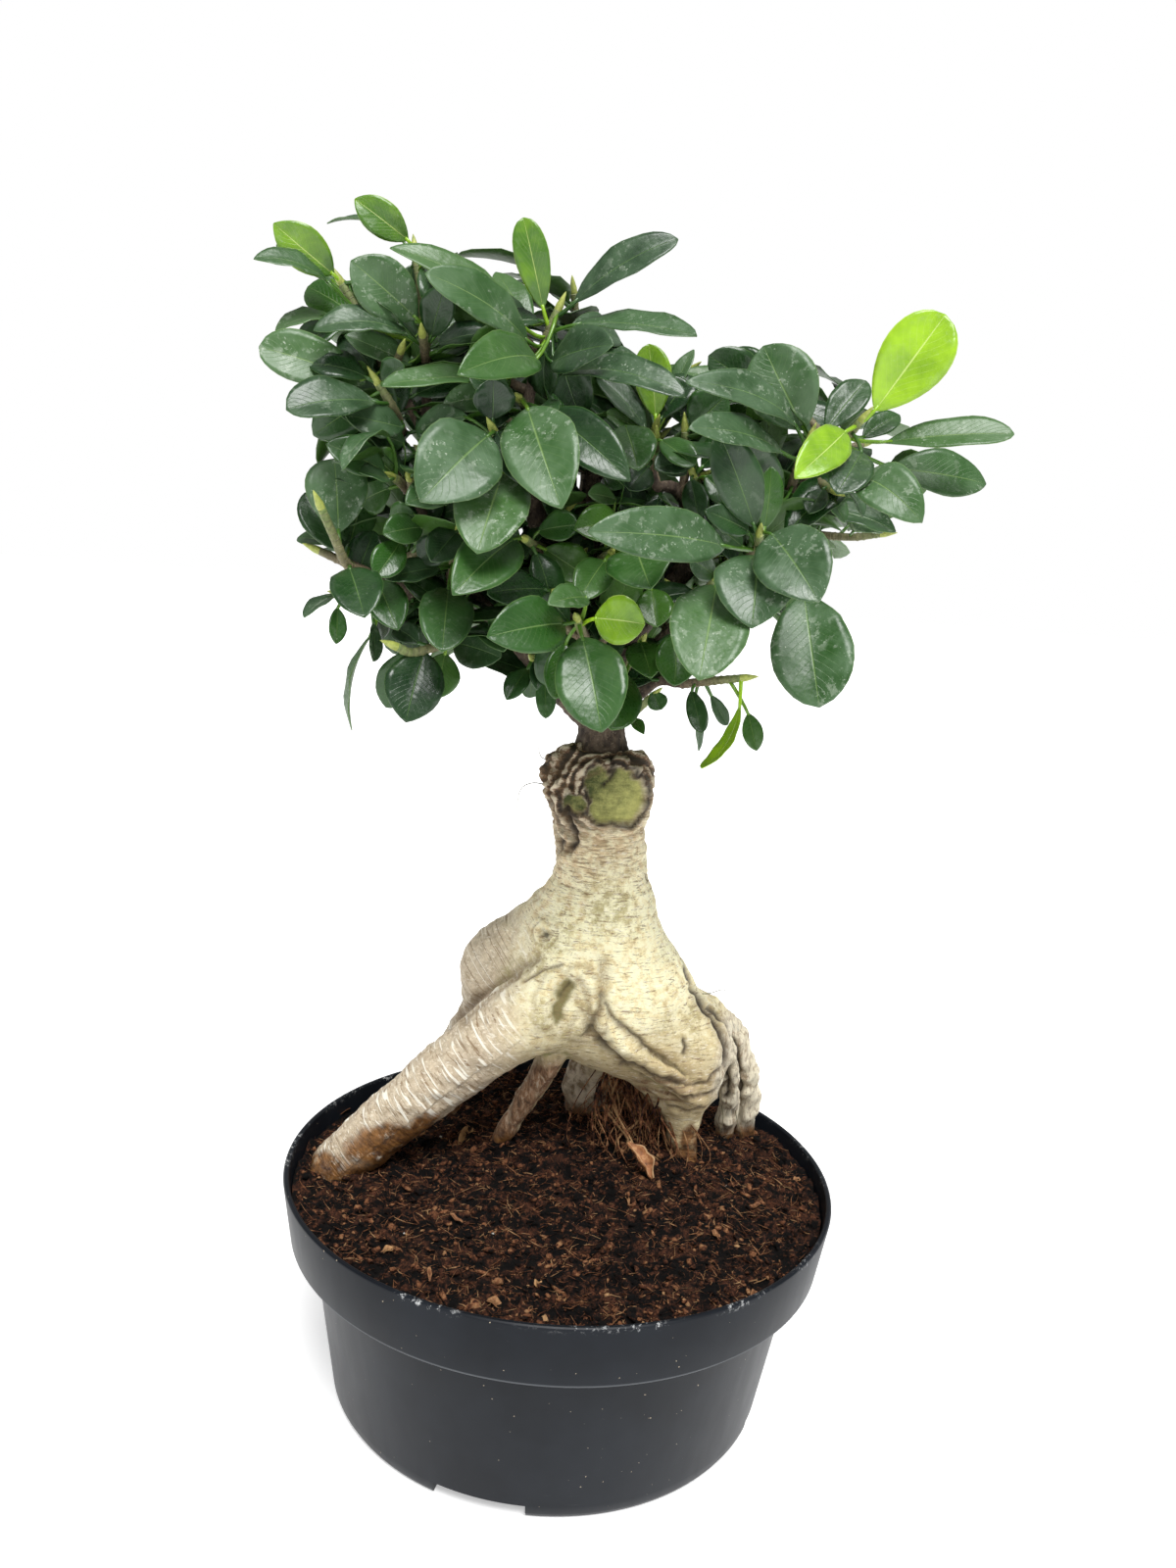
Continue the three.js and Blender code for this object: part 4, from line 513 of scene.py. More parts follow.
def rootstock_paint():
    """Pale, finely wrinkled fig bark: freckled trunk, greyer roots with pale strokes, wet brown ends."""
    paint = Paint("pale_fig_bark")
    cloud = paint.noise(24, 4)
    mottle = paint.noise(4.0, 6, 0.7)
    fine = paint.noise(0.8, 5, 0.75)
    wrinkles = paint.noise(1.15, 6, 0.74, (0.20, 0.20, 1.4), 0.5)
    round_root = paint.joined(paint.value("along_root"), paint.value("round_root"))
    root_rings = paint.noise(1.7, 5, 0.70, (1.2, 0.2, 1.0), 0.4, round_root)
    grey = paint.value("grey")
    lines = paint.mix(grey, wrinkles, root_rings)

    # The trunk's cream with brown lines, olive clouds and freckles
    paint.colour = paint.ramp(mottle, [(0.32, TAN), (0.44, PALE_TAN), (0.54, CREAM)])
    olive = paint.range(cloud, 0.46, 0.66) * paint.range(mottle, 0.62, 0.4)
    paint.coat(olive * 0.6, OLIVE_TAN)
    freckles = paint.specks(1.1, 0.6, 0.68) * 0.6
    paint.coat(freckles * paint.range(cloud, 0.35, 0.6), LINE_BROWN)

    # The left and rear roots' greyer tan with pale strokes across them
    greyed = paint.ramp(
        paint.noise(2.6, 6, 0.75), [(0.32, GREY_TAN), (0.48, PALE_GREY_TAN), (0.66, ROOT_CREAM)])
    belly = paint.value("belly") * paint.range(cloud, 0.35, 0.55, 0.45, 0.95)
    paint.coat(belly, BELLY_TAN)
    paint.coat(grey * 0.9, greyed)
    stroke = paint.noise(1.9, 1, 0.4, (1.25, 0.16, 1.0), 0.3, round_root)
    strokes = paint.range(stroke, 0.6, 0.645) * grey
    neck = paint.value("neck")
    paint.coat(neck * paint.range(mottle, 0.62, 0.4, 0.25, 0.8), NECK_TAN)
    brown_lines = paint.range(lines, paint.range(neck, 0.0, 1.0, 0.46, 0.54), 0.37) * 0.85
    paint.coat(brown_lines, LINE_BROWN)
    flecks = paint.specks(0.9, 0.58, 0.64, stretch=(0.30, 0.30, 1.2))
    paint.coat(flecks * 0.45, STROKE_CREAM)
    paint.coat(strokes * 0.85, STROKE_CREAM)

    flaky = paint.value("flaky")
    flakes = paint.noise(1.8, 6, 0.75, (1.0, 1.0, 0.3), 0.8)
    flaked = paint.ramp(flakes, [(0.32, FLAKE_DARK), (0.42, PALE_GREY_TAN), (0.52, FLAKE_PALE)])
    paint.coat(flaky, flaked)
    # Brown on the thin prop root, and painted shade where the right lobe laps over the front foot
    browned = paint.ramp(flakes, [(0.36, FIBRE_DARK), (0.52, FIBRE_BROWN), (0.66, PALE_GREY_TAN)])
    paint.coat(paint.value("brown"), browned)
    fibre = paint.value("fibre")
    strands = paint.noise(1.3, 6, 0.75, (0.45, 0.45, 1.3), 1.4)
    both = strands * 0.55 + paint.value("strand") * 0.45
    # The fibres' own browns, with painted shade near black in the crevices and a painted highlight pale on
    # the strands
    ragged_shade_and_highlight = paint.ramp(both, [
        (0.40, DEEP_CRACK), (0.46, FIBRE_DARK), (0.52, FIBRE_BROWN), (0.61, FIBRE_PALE),
    ])
    paint.coat(fibre, ragged_shade_and_highlight)
    scar = paint.value("scar")
    # The scars' olive mottle, with a painted highlight towards their lower right
    scar_mottle_and_highlight = paint.noise(3.5, 9, 0.8) * 1.35 + paint.value("scar_light") * 0.6
    healed = paint.ramp(scar_mottle_and_highlight - 0.42, [(0.28, SCAR_OLIVE), (0.86, SCAR_PALE)])
    paint.coat(scar, healed)
    paint.coat(paint.value("hollow"), HOLLOW_GREEN)
    chalky = paint.ramp(paint.noise(5.5, 6, 0.7), [(0.40, CHALK_GREY), (0.56, CHALK_WHITE)])
    paint.coat(paint.value("white"), chalky)
    wet = paint.value("wet") * paint.range(paint.noise(5, 6, 0.7), 0.3, 0.46, 0.45, 1.0)
    paint.coat(wet, paint.ramp(mottle, [(0.38, WET_DARK), (0.62, WET_BROWN)]))
    # Olive-brown painted shade in the valleys between the lobes
    valley = paint.value("valley") * paint.range(mottle, 0.66, 0.42)
    paint.coat(valley * 0.75, OLIVE_TAN)
    # Brown painted shade in low places: beside the grooves, at the feet of the ridges and in the knot's and
    # swirl's troughs
    low = paint.value("low") * paint.range(fine, 0.2, 0.6)
    paint.coat(low * 0.8, LINE_BROWN)
    # Near black in the grooves, the notch, the knot and the gaps between flakes: partly the cracks' own
    # colour, partly painted shade
    paint.coat(paint.value("crack"), DEEP_CRACK)
    rough = fine * 0.2 + 0.6 - wet * 0.25
    relief = fine * 0.4 + lines * 1.1 + strands * fibre * 2.2 + flakes * flaky * 2.2 + strokes * 0.4
    return paint.finish(rough, paint.bump(relief, 1.0, 0.85))


def scion_paint():
    """Grafted wood: grey-brown bark with corky flecks, darker in its furrows."""
    paint = Paint("grafted_wood_bark")
    flake = paint.noise(3.0, 6, 0.7, (1.0, 1.0, 0.5))
    fine = paint.noise(0.8, 5, 0.7)
    paint.colour = paint.ramp(flake, [
        (0.30, (0.014, 0.009, 0.006)), (0.46, (0.060, 0.040, 0.026)),
        (0.62, (0.135, 0.098, 0.066)), (0.8, (0.26, 0.21, 0.16)),
    ])
    flecks = paint.specks(1.4, 0.66, 0.72, 2, 0.5, (1.0, 1.0, 2.0))
    paint.coat(flecks * 0.6, (0.42, 0.34, 0.25))
    relief = flake + fine * 0.35
    return paint.finish(0.8, paint.bump(relief, 1.2, 0.9))


def chip_paint():
    """Dry bark and leaf chips: dark brown to orange-tan, streaked."""
    paint = Paint("dry_chip_brown")
    streak = paint.noise(1.6, 5, 0.7, (1.0, 0.5, 1.0))
    level = streak * 0.7 + paint.value("tone") * 0.8
    paint.colour = paint.ramp(level - 0.35, [
        (0.18, (0.050, 0.018, 0.009)), (0.45, (0.200, 0.080, 0.030)), (0.70, (0.460, 0.260, 0.110)),
    ])
    return paint.finish(0.75, paint.bump(streak, 0.5, 0.8))


def soil_paint(name="fibrous_peat"):
    """Fibrous peat: near black to warm brown, with patches of painted shade. Each crumb and fibre has a shade
    of its own.
    """
    paint = Paint(name)
    shade = paint.value("tone")
    grain = paint.noise(1.6, 6, 0.8)
    # Near-black patches painted in as shade in the gaps between the crumbs
    shaded_pits = paint.range(paint.noise(6, 5, 0.7), 0.56, 0.42, 0.0, 0.32)
    level = grain * 0.95 + shade * 0.75 - (shaded_pits + 0.08)
    paint.colour = paint.ramp(level, [
        (0.24, (0.0015, 0.0008, 0.0006)), (0.40, (0.018, 0.007, 0.004)), (0.54, (0.100, 0.036, 0.018)),
        (0.72, (0.300, 0.125, 0.056)), (0.96, (0.540, 0.320, 0.155)),
    ])
    white = paint.range(shade, 0.93, 0.97)
    paint.coat(white, (0.78, 0.76, 0.70))
    relief = grain + paint.noise(0.7, 4, 0.7) * 0.5
    return paint.finish(0.92, paint.bump(relief, 1.4, 1.0), Specular_IOR_Level=0.2)


def pot_paint():
    """Black moulded plastic: satin, faint flow marks, a few scuffs and specks, a chalky lip, a painted
    highlight along the collar's lower edge.
    """
    paint = Paint("black_moulded_plastic")
    _, _, height = paint.split(paint.coordinates)
    haze = paint.noise(38, 3)
    brushed = paint.noise(7, 4, 0.6, (1.0, 1.0, 0.25))
    paint.colour = paint.ramp(haze, [(0.35, (0.0045, 0.0060, 0.0090)), (0.65, (0.0085, 0.0110, 0.0155))])
    scratch = paint.specks(1.0, 0.70, 0.74, stretch=(0.08, 0.08, 5.0))
    scratched = scratch * paint.specks(26, 0.58, 0.66, 2)
    paint.coat(scratched * 0.35, (0.12, 0.13, 0.14))
    specks = paint.specks(1.3, 0.80, 0.81, 1, 0.4)
    paint.coat(specks, (0.36, 0.30, 0.22))
    lip = paint.range(height, (POT_HEIGHT - 3.2) * MM, (POT_HEIGHT - 0.8) * MM)
    worn = paint.specks(2.2, 0.55, 0.61, 6, 0.8) * paint.range(haze, 0.44, 0.6)
    chalk = lip * worn
    paint.coat(chalk * 0.8, (0.55, 0.56, 0.56))
    # A paler grey line painted along the collar's lower edge, a painted highlight
    edge_highlight = (paint.range(height, (COLLAR_BOTTOM - 0.5) * MM, (COLLAR_BOTTOM + 0.2) * MM)
            * paint.range(height, (COLLAR_BOTTOM + 1.3) * MM, (COLLAR_BOTTOM + 0.8) * MM))
    paint.coat(edge_highlight * 0.55, (0.13, 0.14, 0.15))
    rough = paint.math("ADD", brushed * 0.14 + 0.33, chalk * 0.3, clamp=True)
    relief = paint.noise(0.5, 3) * 0.2 + brushed * 0.4
    return paint.finish(rough, paint.bump(relief, 0.10, 0.4), Specular_IOR_Level=0.17)


def dry_leaf_paint():
    """Dead leaf: orange-brown, streaked along its veins, pale at the curled edge."""
    paint = Paint("dead_leaf_brown")
    veins, rim = paint.place(VEINS, Sheet=paint.sheet(), Count=9.0, Rib=0.12)
    streak = paint.noise(2.2, 5, 0.7)
    paint.colour = paint.ramp(streak, [
        (0.3, (0.085, 0.030, 0.012)), (0.50, (0.29, 0.115, 0.040)), (0.72, (0.52, 0.29, 0.13)),
    ])
    paint.coat(paint.math("MAXIMUM", veins, rim) * 0.6, (0.5, 0.34, 0.18))
    return paint.finish(0.7, paint.bump(streak, 0.5, 0.8))


# Leaves

BLADE_THICK = 0.55
PETIOLE_SHARE = 0.13
PETIOLE_RADIUS = 0.75
WIDEST_POWER = 1.18
FULLNESS_POWER = 0.82
LEAST_HALF_WIDTH = 0.3
WEDGE_POWER = 0.82
BLUNTNESS = (0.50, 0.82)
RIB_GROOVE, RIB_DEPTH = 0.7, 0.28
LOPSIDED = 0.05
WAVE_HEIGHT = 0.035
BLADE_TWIST = 0.22
SIDE_DRIFT = 0.018
# A stalk's own place on the sheet of a leaf lies clear of its veins
STALK_SHEET = (0.62, 0.3)
STALK_LIGHTER, STALK_LIGHTEST, STALK_DUST_AND_SHEEN = 0.32, 0.9, 0.15
FOLD = 0.22
FINE_BLADE = (8, 14)
PLAIN_BLADE = (4, 9)
NODE_SPACING = 2.6
FEET_TRIED = 6
TWIG_RADIUS = (2.0, 1.6)
TWIG_SIDES = 8
KNUCKLE = 0.16
BUD_LENGTHS = (-1.0, 0.5, 2.2, 4.2, 6.0, 7.2)
BUD_RADII = (1.3, 1.5, 1.45, 1.0, 0.55, 0.12)

# What the solids' leaves may have given way by: degrees turned and millimetres or degrees shifted
GIVES = [(turn, shift) for turn in (0, 12, -12, 24, -24) for shift in (0, 5, -5, 10, -10, 16, -16, 22, -22)]
SOLID_STATIONS = {True: (0.3, 0.72), False: (0.2, 0.5, 0.8)}
BROAD_FROM = 22
SLIM_FULLNESS = 1.06
FITS = 0.4

LIME = True


def leaf(tip, base, wide, lift, bow, is_young=False):
    return {"tip": tip, "base": base, "wide": wide, "lift": lift, "bow": bow, "is_young": is_young}


def shoot(twig, leaves):
    return {"twig": twig, "leaves": [leaf(*values) for values in leaves]}


def ruled(twig, count, spread):
    return {"twig": twig, "count": count, "spread": spread}


def blade_width(share):
    return np.sin(np.pi * np.clip(share, 0, 1) ** WIDEST_POWER) ** FULLNESS_POWER


def rounded_width(share, bluntness):
    """A finished blade's width at a share of its length, one at its widest."""
    widest = WEDGE_POWER / (WEDGE_POWER + bluntness)
    most = widest ** WEDGE_POWER * (1 - widest) ** bluntness
    share = np.clip(share, 0, 1)
    return share ** WEDGE_POWER * (1 - share) ** bluntness / most


def face_seen(tip, base, lift):
    """The upper face's direction of a leaf laid out in the picture."""
    along = unit(tip - base)
    to_view = unit(VIEW_PLACE - (tip + base) / 2)
    facing = unit(to_view - along * (to_view @ along))
    side = np.cross(along, facing)
    if side @ np.array([0.2, 0.0, 1.0]) < 0:
        side = -side
    angle = math.radians(lift)
    return facing * math.cos(angle) + side * math.sin(angle)


def seen_tries(entry):
    base = sight(entry["base"])
    for turn, shift in GIVES:
        across, down, depth = entry["tip"]
        tip = sight((across, down, depth + shift))
        face = face_seen(tip, base, entry["lift"] + turn)
        yield {"tip": tip, "base": base, "face": face, "wide": entry["wide"], "bow": entry["bow"]}


# The rule of the leaves at the sides and behind
RULED_LENGTH = (40, 52)
RULED_WIDTH = (18, 21.9)
RULED_LEAN_LOSS = 0.45
RULED_LEAN_DRAW = 16
RULED_DROOP = 0.16
RULED_BOW = 0.09
RULED_FACE_ALONG = 0.6
RULED_TURN = 1.6
RULED_SEED = 400
SEEDS_A_SHOOT = 20
GOLDEN_ANGLE = 137.5


def ruled_tries(twig, spread, index, count, seed):
    axis = unit(twig[2] - twig[0])
    share = index / (count - 1) if count > 1 else 1
    if share < 0.5:
        base = twig[0] + (twig[1] - twig[0]) * (0.5 + share)
    else:
        base = twig[1] + (twig[2] - twig[1]) * (2 * share - 1)
    start = np.array([0, 0, 1.0]) if abs(axis[2]) < 0.9 else np.array([1.0, 0, 0])
    outward = unit(np.cross(start, axis))
    length, wide = drawn(RULED_LENGTH, seed), drawn(RULED_WIDTH, seed + 0.37)
    lean = spread * (1 - RULED_LEAN_LOSS * share) + RULED_LEAN_DRAW * (draw(seed + 0.71) - 0.5)
    for turn, shift in GIVES:
        around = np.array(Matrix.Rotation(
            math.radians(index * GOLDEN_ANGLE + RULED_TURN * turn), 3, Vector(axis)) @ Vector(outward))
        angle = math.radians(lean + shift)
        direction = axis * math.cos(angle) + around * math.sin(angle)
        direction[2] -= RULED_DROOP
        direction = unit(direction)
        up = np.array([0, 0, 1.0]) + axis * RULED_FACE_ALONG
        face = unit(up - direction * (up @ direction))
        yield {"tip": base + direction * length, "base": base, "face": face, "wide": wide, "bow": RULED_BOW}


def nodes_of(twig):
    """The places along a twig, from its end to its start, where stalks may leave it."""
    places = []
    for start, end in reversed(list(zip(twig[:-1], twig[1:]))):
        count = max(1, round(np.linalg.norm(end - start) / NODE_SPACING))
        places += [end + (start - end) * k / count for k in range(count)]
    return places


def solid_corners(one):
    """Where the corners of a leaf's solid lie: at its tip and at its sections' two edges."""
    along = one["tip"] - one["base"]
    length = np.linalg.norm(along)
    along = along / length
    side = unit(np.cross(along, one["face"]))
    is_slim = one["wide"] < BROAD_FROM
    places = [one["tip"]]
    for share in SOLID_STATIONS[is_slim]:
        reach = PETIOLE_SHARE + (1 - PETIOLE_SHARE) * share
        half = one["wide"] / 2 * (SLIM_FULLNESS if is_slim else 1) * blade_width(share)
        middle = (one["base"] + along * length * reach
                  + one["face"] * length * one["bow"] * 4 * reach * (1 - reach))
        for sign in (-1, 1):
            places.append(middle + side * sign * half + one["face"] * half * FOLD)
    return places


def off_solid(tree, places):
    """How far places lie from a solid's surface, leaving out the two furthest, in millimetres."""
    away = sorted(tree.find_nearest(Vector(place) * MM)[3] / MM for place in places)
    return sum(away[:-2]) / (len(away) - 2) if len(away) > 4 else sum(away) / len(away)


def tree_of(node):
    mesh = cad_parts[node].data
    return BVHTree.FromPolygons([v.co for v in mesh.vertices], faces_of(mesh))


def found_leaf(tree, tries, nodes):
    """The try that the solid shows, with the foot of its stalk, or None."""
    best, least = None, FITS
    for one in tries:
        away = off_solid(tree, solid_corners(one))
        if away < least:
            best, least = one, away
        if least < 0.01:
            break
    if best is None:
        return None
    edges = solid_corners(best)[1:3]
    near = sorted(nodes, key=lambda spot: np.linalg.norm(spot - best["base"]))[:2 * FEET_TRIED]
    best["foot"] = min(near, key=lambda spot: off_solid(tree, [
        edge + (spot - edge) * part for edge in edges for part in (0.25, 0.5)]))
    return best


def blade_pattern(across, along):
    """A flat blade from a grid with a thin wall: each corner's place across (-1 to 1), along (0 to 1)
    and through (0 on top, 1 below), with its faces."""
    clear_selection()
    bpy.ops.mesh.primitive_grid_add(x_subdivisions=across, y_subdivisions=along, size=2)
    grid = bpy.context.object
    wall = grid.modifiers.new("wall", "SOLIDIFY")
    wall.thickness = 0.1
    wall.offset = -1
    apply_modifiers(grid)
    places = corners_of(grid.data)
    faces = faces_of(grid.data)
    bpy.data.objects.remove(grid)
    return places[:, 0], (places[:, 1] + 1) / 2, (places[:, 2] < -0.05).astype(float), faces


def stalk_pattern(sides=6, rings=4):
    """A closed tube: each corner's turn round it, its place along (0 to 1), with its faces."""
    clear_selection()
    bpy.ops.mesh.primitive_cylinder_add(vertices=sides, radius=1, depth=1, location=(0, 0, 0.5))
    tube = bpy.context.object
    bpy.ops.object.mode_set(mode="EDIT")
    for ring in range(1, rings):
        bpy.ops.mesh.select_all(action="SELECT")
        bpy.ops.mesh.bisect(plane_co=(0, 0, ring / rings), plane_no=(0, 0, 1))
    bpy.ops.object.mode_set(mode="OBJECT")
    places = corners_of(tube.data)
    places[:, 2] += 0.5
    faces = faces_of(tube.data)
    bpy.data.objects.remove(tube)
    return places[:, :2], places[:, 2], faces


PATTERNS = {True: blade_pattern(*FINE_BLADE), False: blade_pattern(*PLAIN_BLADE)}
STALK = stalk_pattern()


def lay_leaf(shape, one, tone, dust, seed, is_fine=True):
    """A waved blade folded along its midrib, and its stalk down to the foot."""
    across, even_share, through, faces = PATTERNS[is_fine]
    along_share = 0.35 * even_share + 0.65 * (1 - np.cos(np.pi * even_share)) / 2
    tip, base, face = one["tip"], one["base"], one["face"]
    along = tip - base
    length = np.linalg.norm(along)
    along = along / length
    side = unit(np.cross(along, face))
    reach = PETIOLE_SHARE + (1 - PETIOLE_SHARE) * along_share
    blunt = rounded_width(along_share, drawn(BLUNTNESS, seed + 0.83))
    half = np.maximum(one["wide"] / 2 * blunt, LEAST_HALF_WIDTH)
    lopsided = 1 + LOPSIDED * (draw(seed) - 0.5) * across
    edge = np.abs(across)
    wave_count = 1.6 + 1.6 * draw(seed + 0.11)
    wave = np.sin(2 * np.pi * (wave_count * along_share + draw(seed + 0.23) + 0.27 * (across > 0)))
    twist = (draw(seed + 0.31) - 0.5) * BLADE_TWIST * along_share
    rise = (
        length * one["bow"] * 4 * reach * (1 - reach)
        + half * FOLD * edge ** 1.25
        + one["wide"] * WAVE_HEIGHT * edge ** 2 * wave * np.sin(np.pi * along_share)
        + across * half * twist
        - RIB_DEPTH * bell(across * half / RIB_GROOVE) * np.sin(np.pi * np.clip(along_share, 0, 1))
        - BLADE_THICK * (through - 0.5) * np.clip(1.15 - edge ** 4, 0.35, 1)
    )
    drift = length * SIDE_DRIFT * (draw(seed + 0.47) - 0.5) * np.sin(np.pi * along_share)
    corners = (
        base
        + np.outer(reach * length, along)
        + np.outer(across * half * lopsided + drift, side)
        + np.outer(rise, face)
    )
    sheet = np.column_stack([(across + 1) / 2, along_share])
    shape.add(corners, faces, 0, sheet, tone=tone, dust=dust, back=through)
    lay_stalk(shape, one, tone)


def lay_stalk(shape, one, tone):
    ring, share, faces = STALK
    tip, base, face, foot = one["tip"], one["base"], one["face"], one["foot"]
    along = unit(tip - base)
    length = np.linalg.norm(tip - base)
    end_share = PETIOLE_SHARE + 0.05
    end = (base + along * length * end_share
           + face * length * one["bow"] * 4 * end_share * (1 - end_share))
    bend = base * 0.75 + foot * 0.25 + face * 0.4
    side = unit(np.cross(along, face))
    ways = np.column_stack([(1 - share) ** 2, 2 * share * (1 - share), share ** 2])
    middle = ways @ np.array([foot, bend, end])
    radius = PETIOLE_RADIUS * (1.25 - 0.35 * share)
    corners = (middle + np.outer(ring[:, 0] * radius, side) + np.outer(ring[:, 1] * radius, face))
    sheet = np.tile(STALK_SHEET, (len(share), 1))
    tone = np.clip(tone + STALK_LIGHTER, 0, STALK_LIGHTEST)
    shape.add(corners, faces, 0, sheet, tone=tone, dust=STALK_DUST_AND_SHEEN, back=0.0)


def smoothed(path, radii, step):
    """More places along a path, on smooth curves through its own, with their radii."""
    path, radii = np.array(path, dtype=float), np.array(radii, dtype=float)
    ends = np.vstack([2 * path[0] - path[1], path, 2 * path[-1] - path[-2]])
    places, widths = [path[0]], [radii[0]]
    for i in range(len(path) - 1):
        before, start, end, after = ends[i:i + 4]
        count = max(1, round(np.linalg.norm(end - start) / step))
        for k in range(1, count + 1):
            t = k / count
            places.append(0.5 * (2 * start + (end - before) * t
                                 + (2 * before - 5 * start + 4 * end - after) * t ** 2
                                 + (3 * start - before - 3 * end + after) * t ** 3))
            widths.append(radii[i] + (radii[i + 1] - radii[i]) * t)
    return np.array(places), np.array(widths)


def tube(places, widths, sides):
    """A closed round tube: its corners, faces and each corner's place round and along it."""
    rings, across = [], None
    travelled = np.concatenate([[0], np.cumsum(np.linalg.norm(np.diff(places, axis=0), axis=1))])
    for i, (place, width) in enumerate(zip(places, widths)):
        along = unit(places[min(i + 1, len(places) - 1)] - places[max(i - 1, 0)])
        if across is None:
            across = unit(np.cross([0, 0, 1.0] if abs(along[2]) < 0.8 else [1.0, 0, 0], along))
        across = unit(across - along * (across @ along))
        second = np.cross(along, across)
        turns = np.arange(sides) * 2 * np.pi / sides
        rings.append(place + width * (np.outer(np.cos(turns), across) + np.outer(np.sin(turns), second)))
    corners = np.vstack(rings)
    sheet = np.column_stack([
        np.tile(np.arange(sides) / sides, len(places)), np.repeat(travelled, sides)])
    faces = []
    for i in range(len(places) - 1):
        for k in range(sides):
            a, b = i * sides + k, i * sides + (k + 1) % sides
            faces.append([a, b, b + sides, a + sides])
    faces.append(list(range(sides))[::-1])
    faces.append([(len(places) - 1) * sides + k for k in range(sides)])
    return corners, faces, sheet


def lay_twig(shape, twig, tone):
    """A twig with knuckles where its leaves leave it, and a pointed bud at its end."""
    places, widths = smoothed(twig, np.linspace(*TWIG_RADIUS, len(twig)), 0.9)
    share = np.linspace(0, 1, len(places))
    travelled = np.concatenate([[0], np.cumsum(np.linalg.norm(np.diff(places, axis=0), axis=1))])
    knuckles = 1 + KNUCKLE * np.maximum(0, np.cos(2 * np.pi * travelled / NODE_SPACING)) ** 3
    corners, faces, sheet = tube(places, widths * 0.92 * knuckles, TWIG_SIDES)
    sheet[:, 1] /= NODE_SPACING
    shape.add(corners, faces, 1, sheet, tone=np.repeat(tone * share ** 2, TWIG_SIDES))
    lead = unit(twig[-1] - twig[-2])
    shape.add_tube(twig[-1] + np.outer(BUD_LENGTHS, lead), np.array(BUD_RADII), TWIG_SIDES, 2)


# The shoots that the picture shows: twigs and leaves as [across, down, depth], depth in millimetres

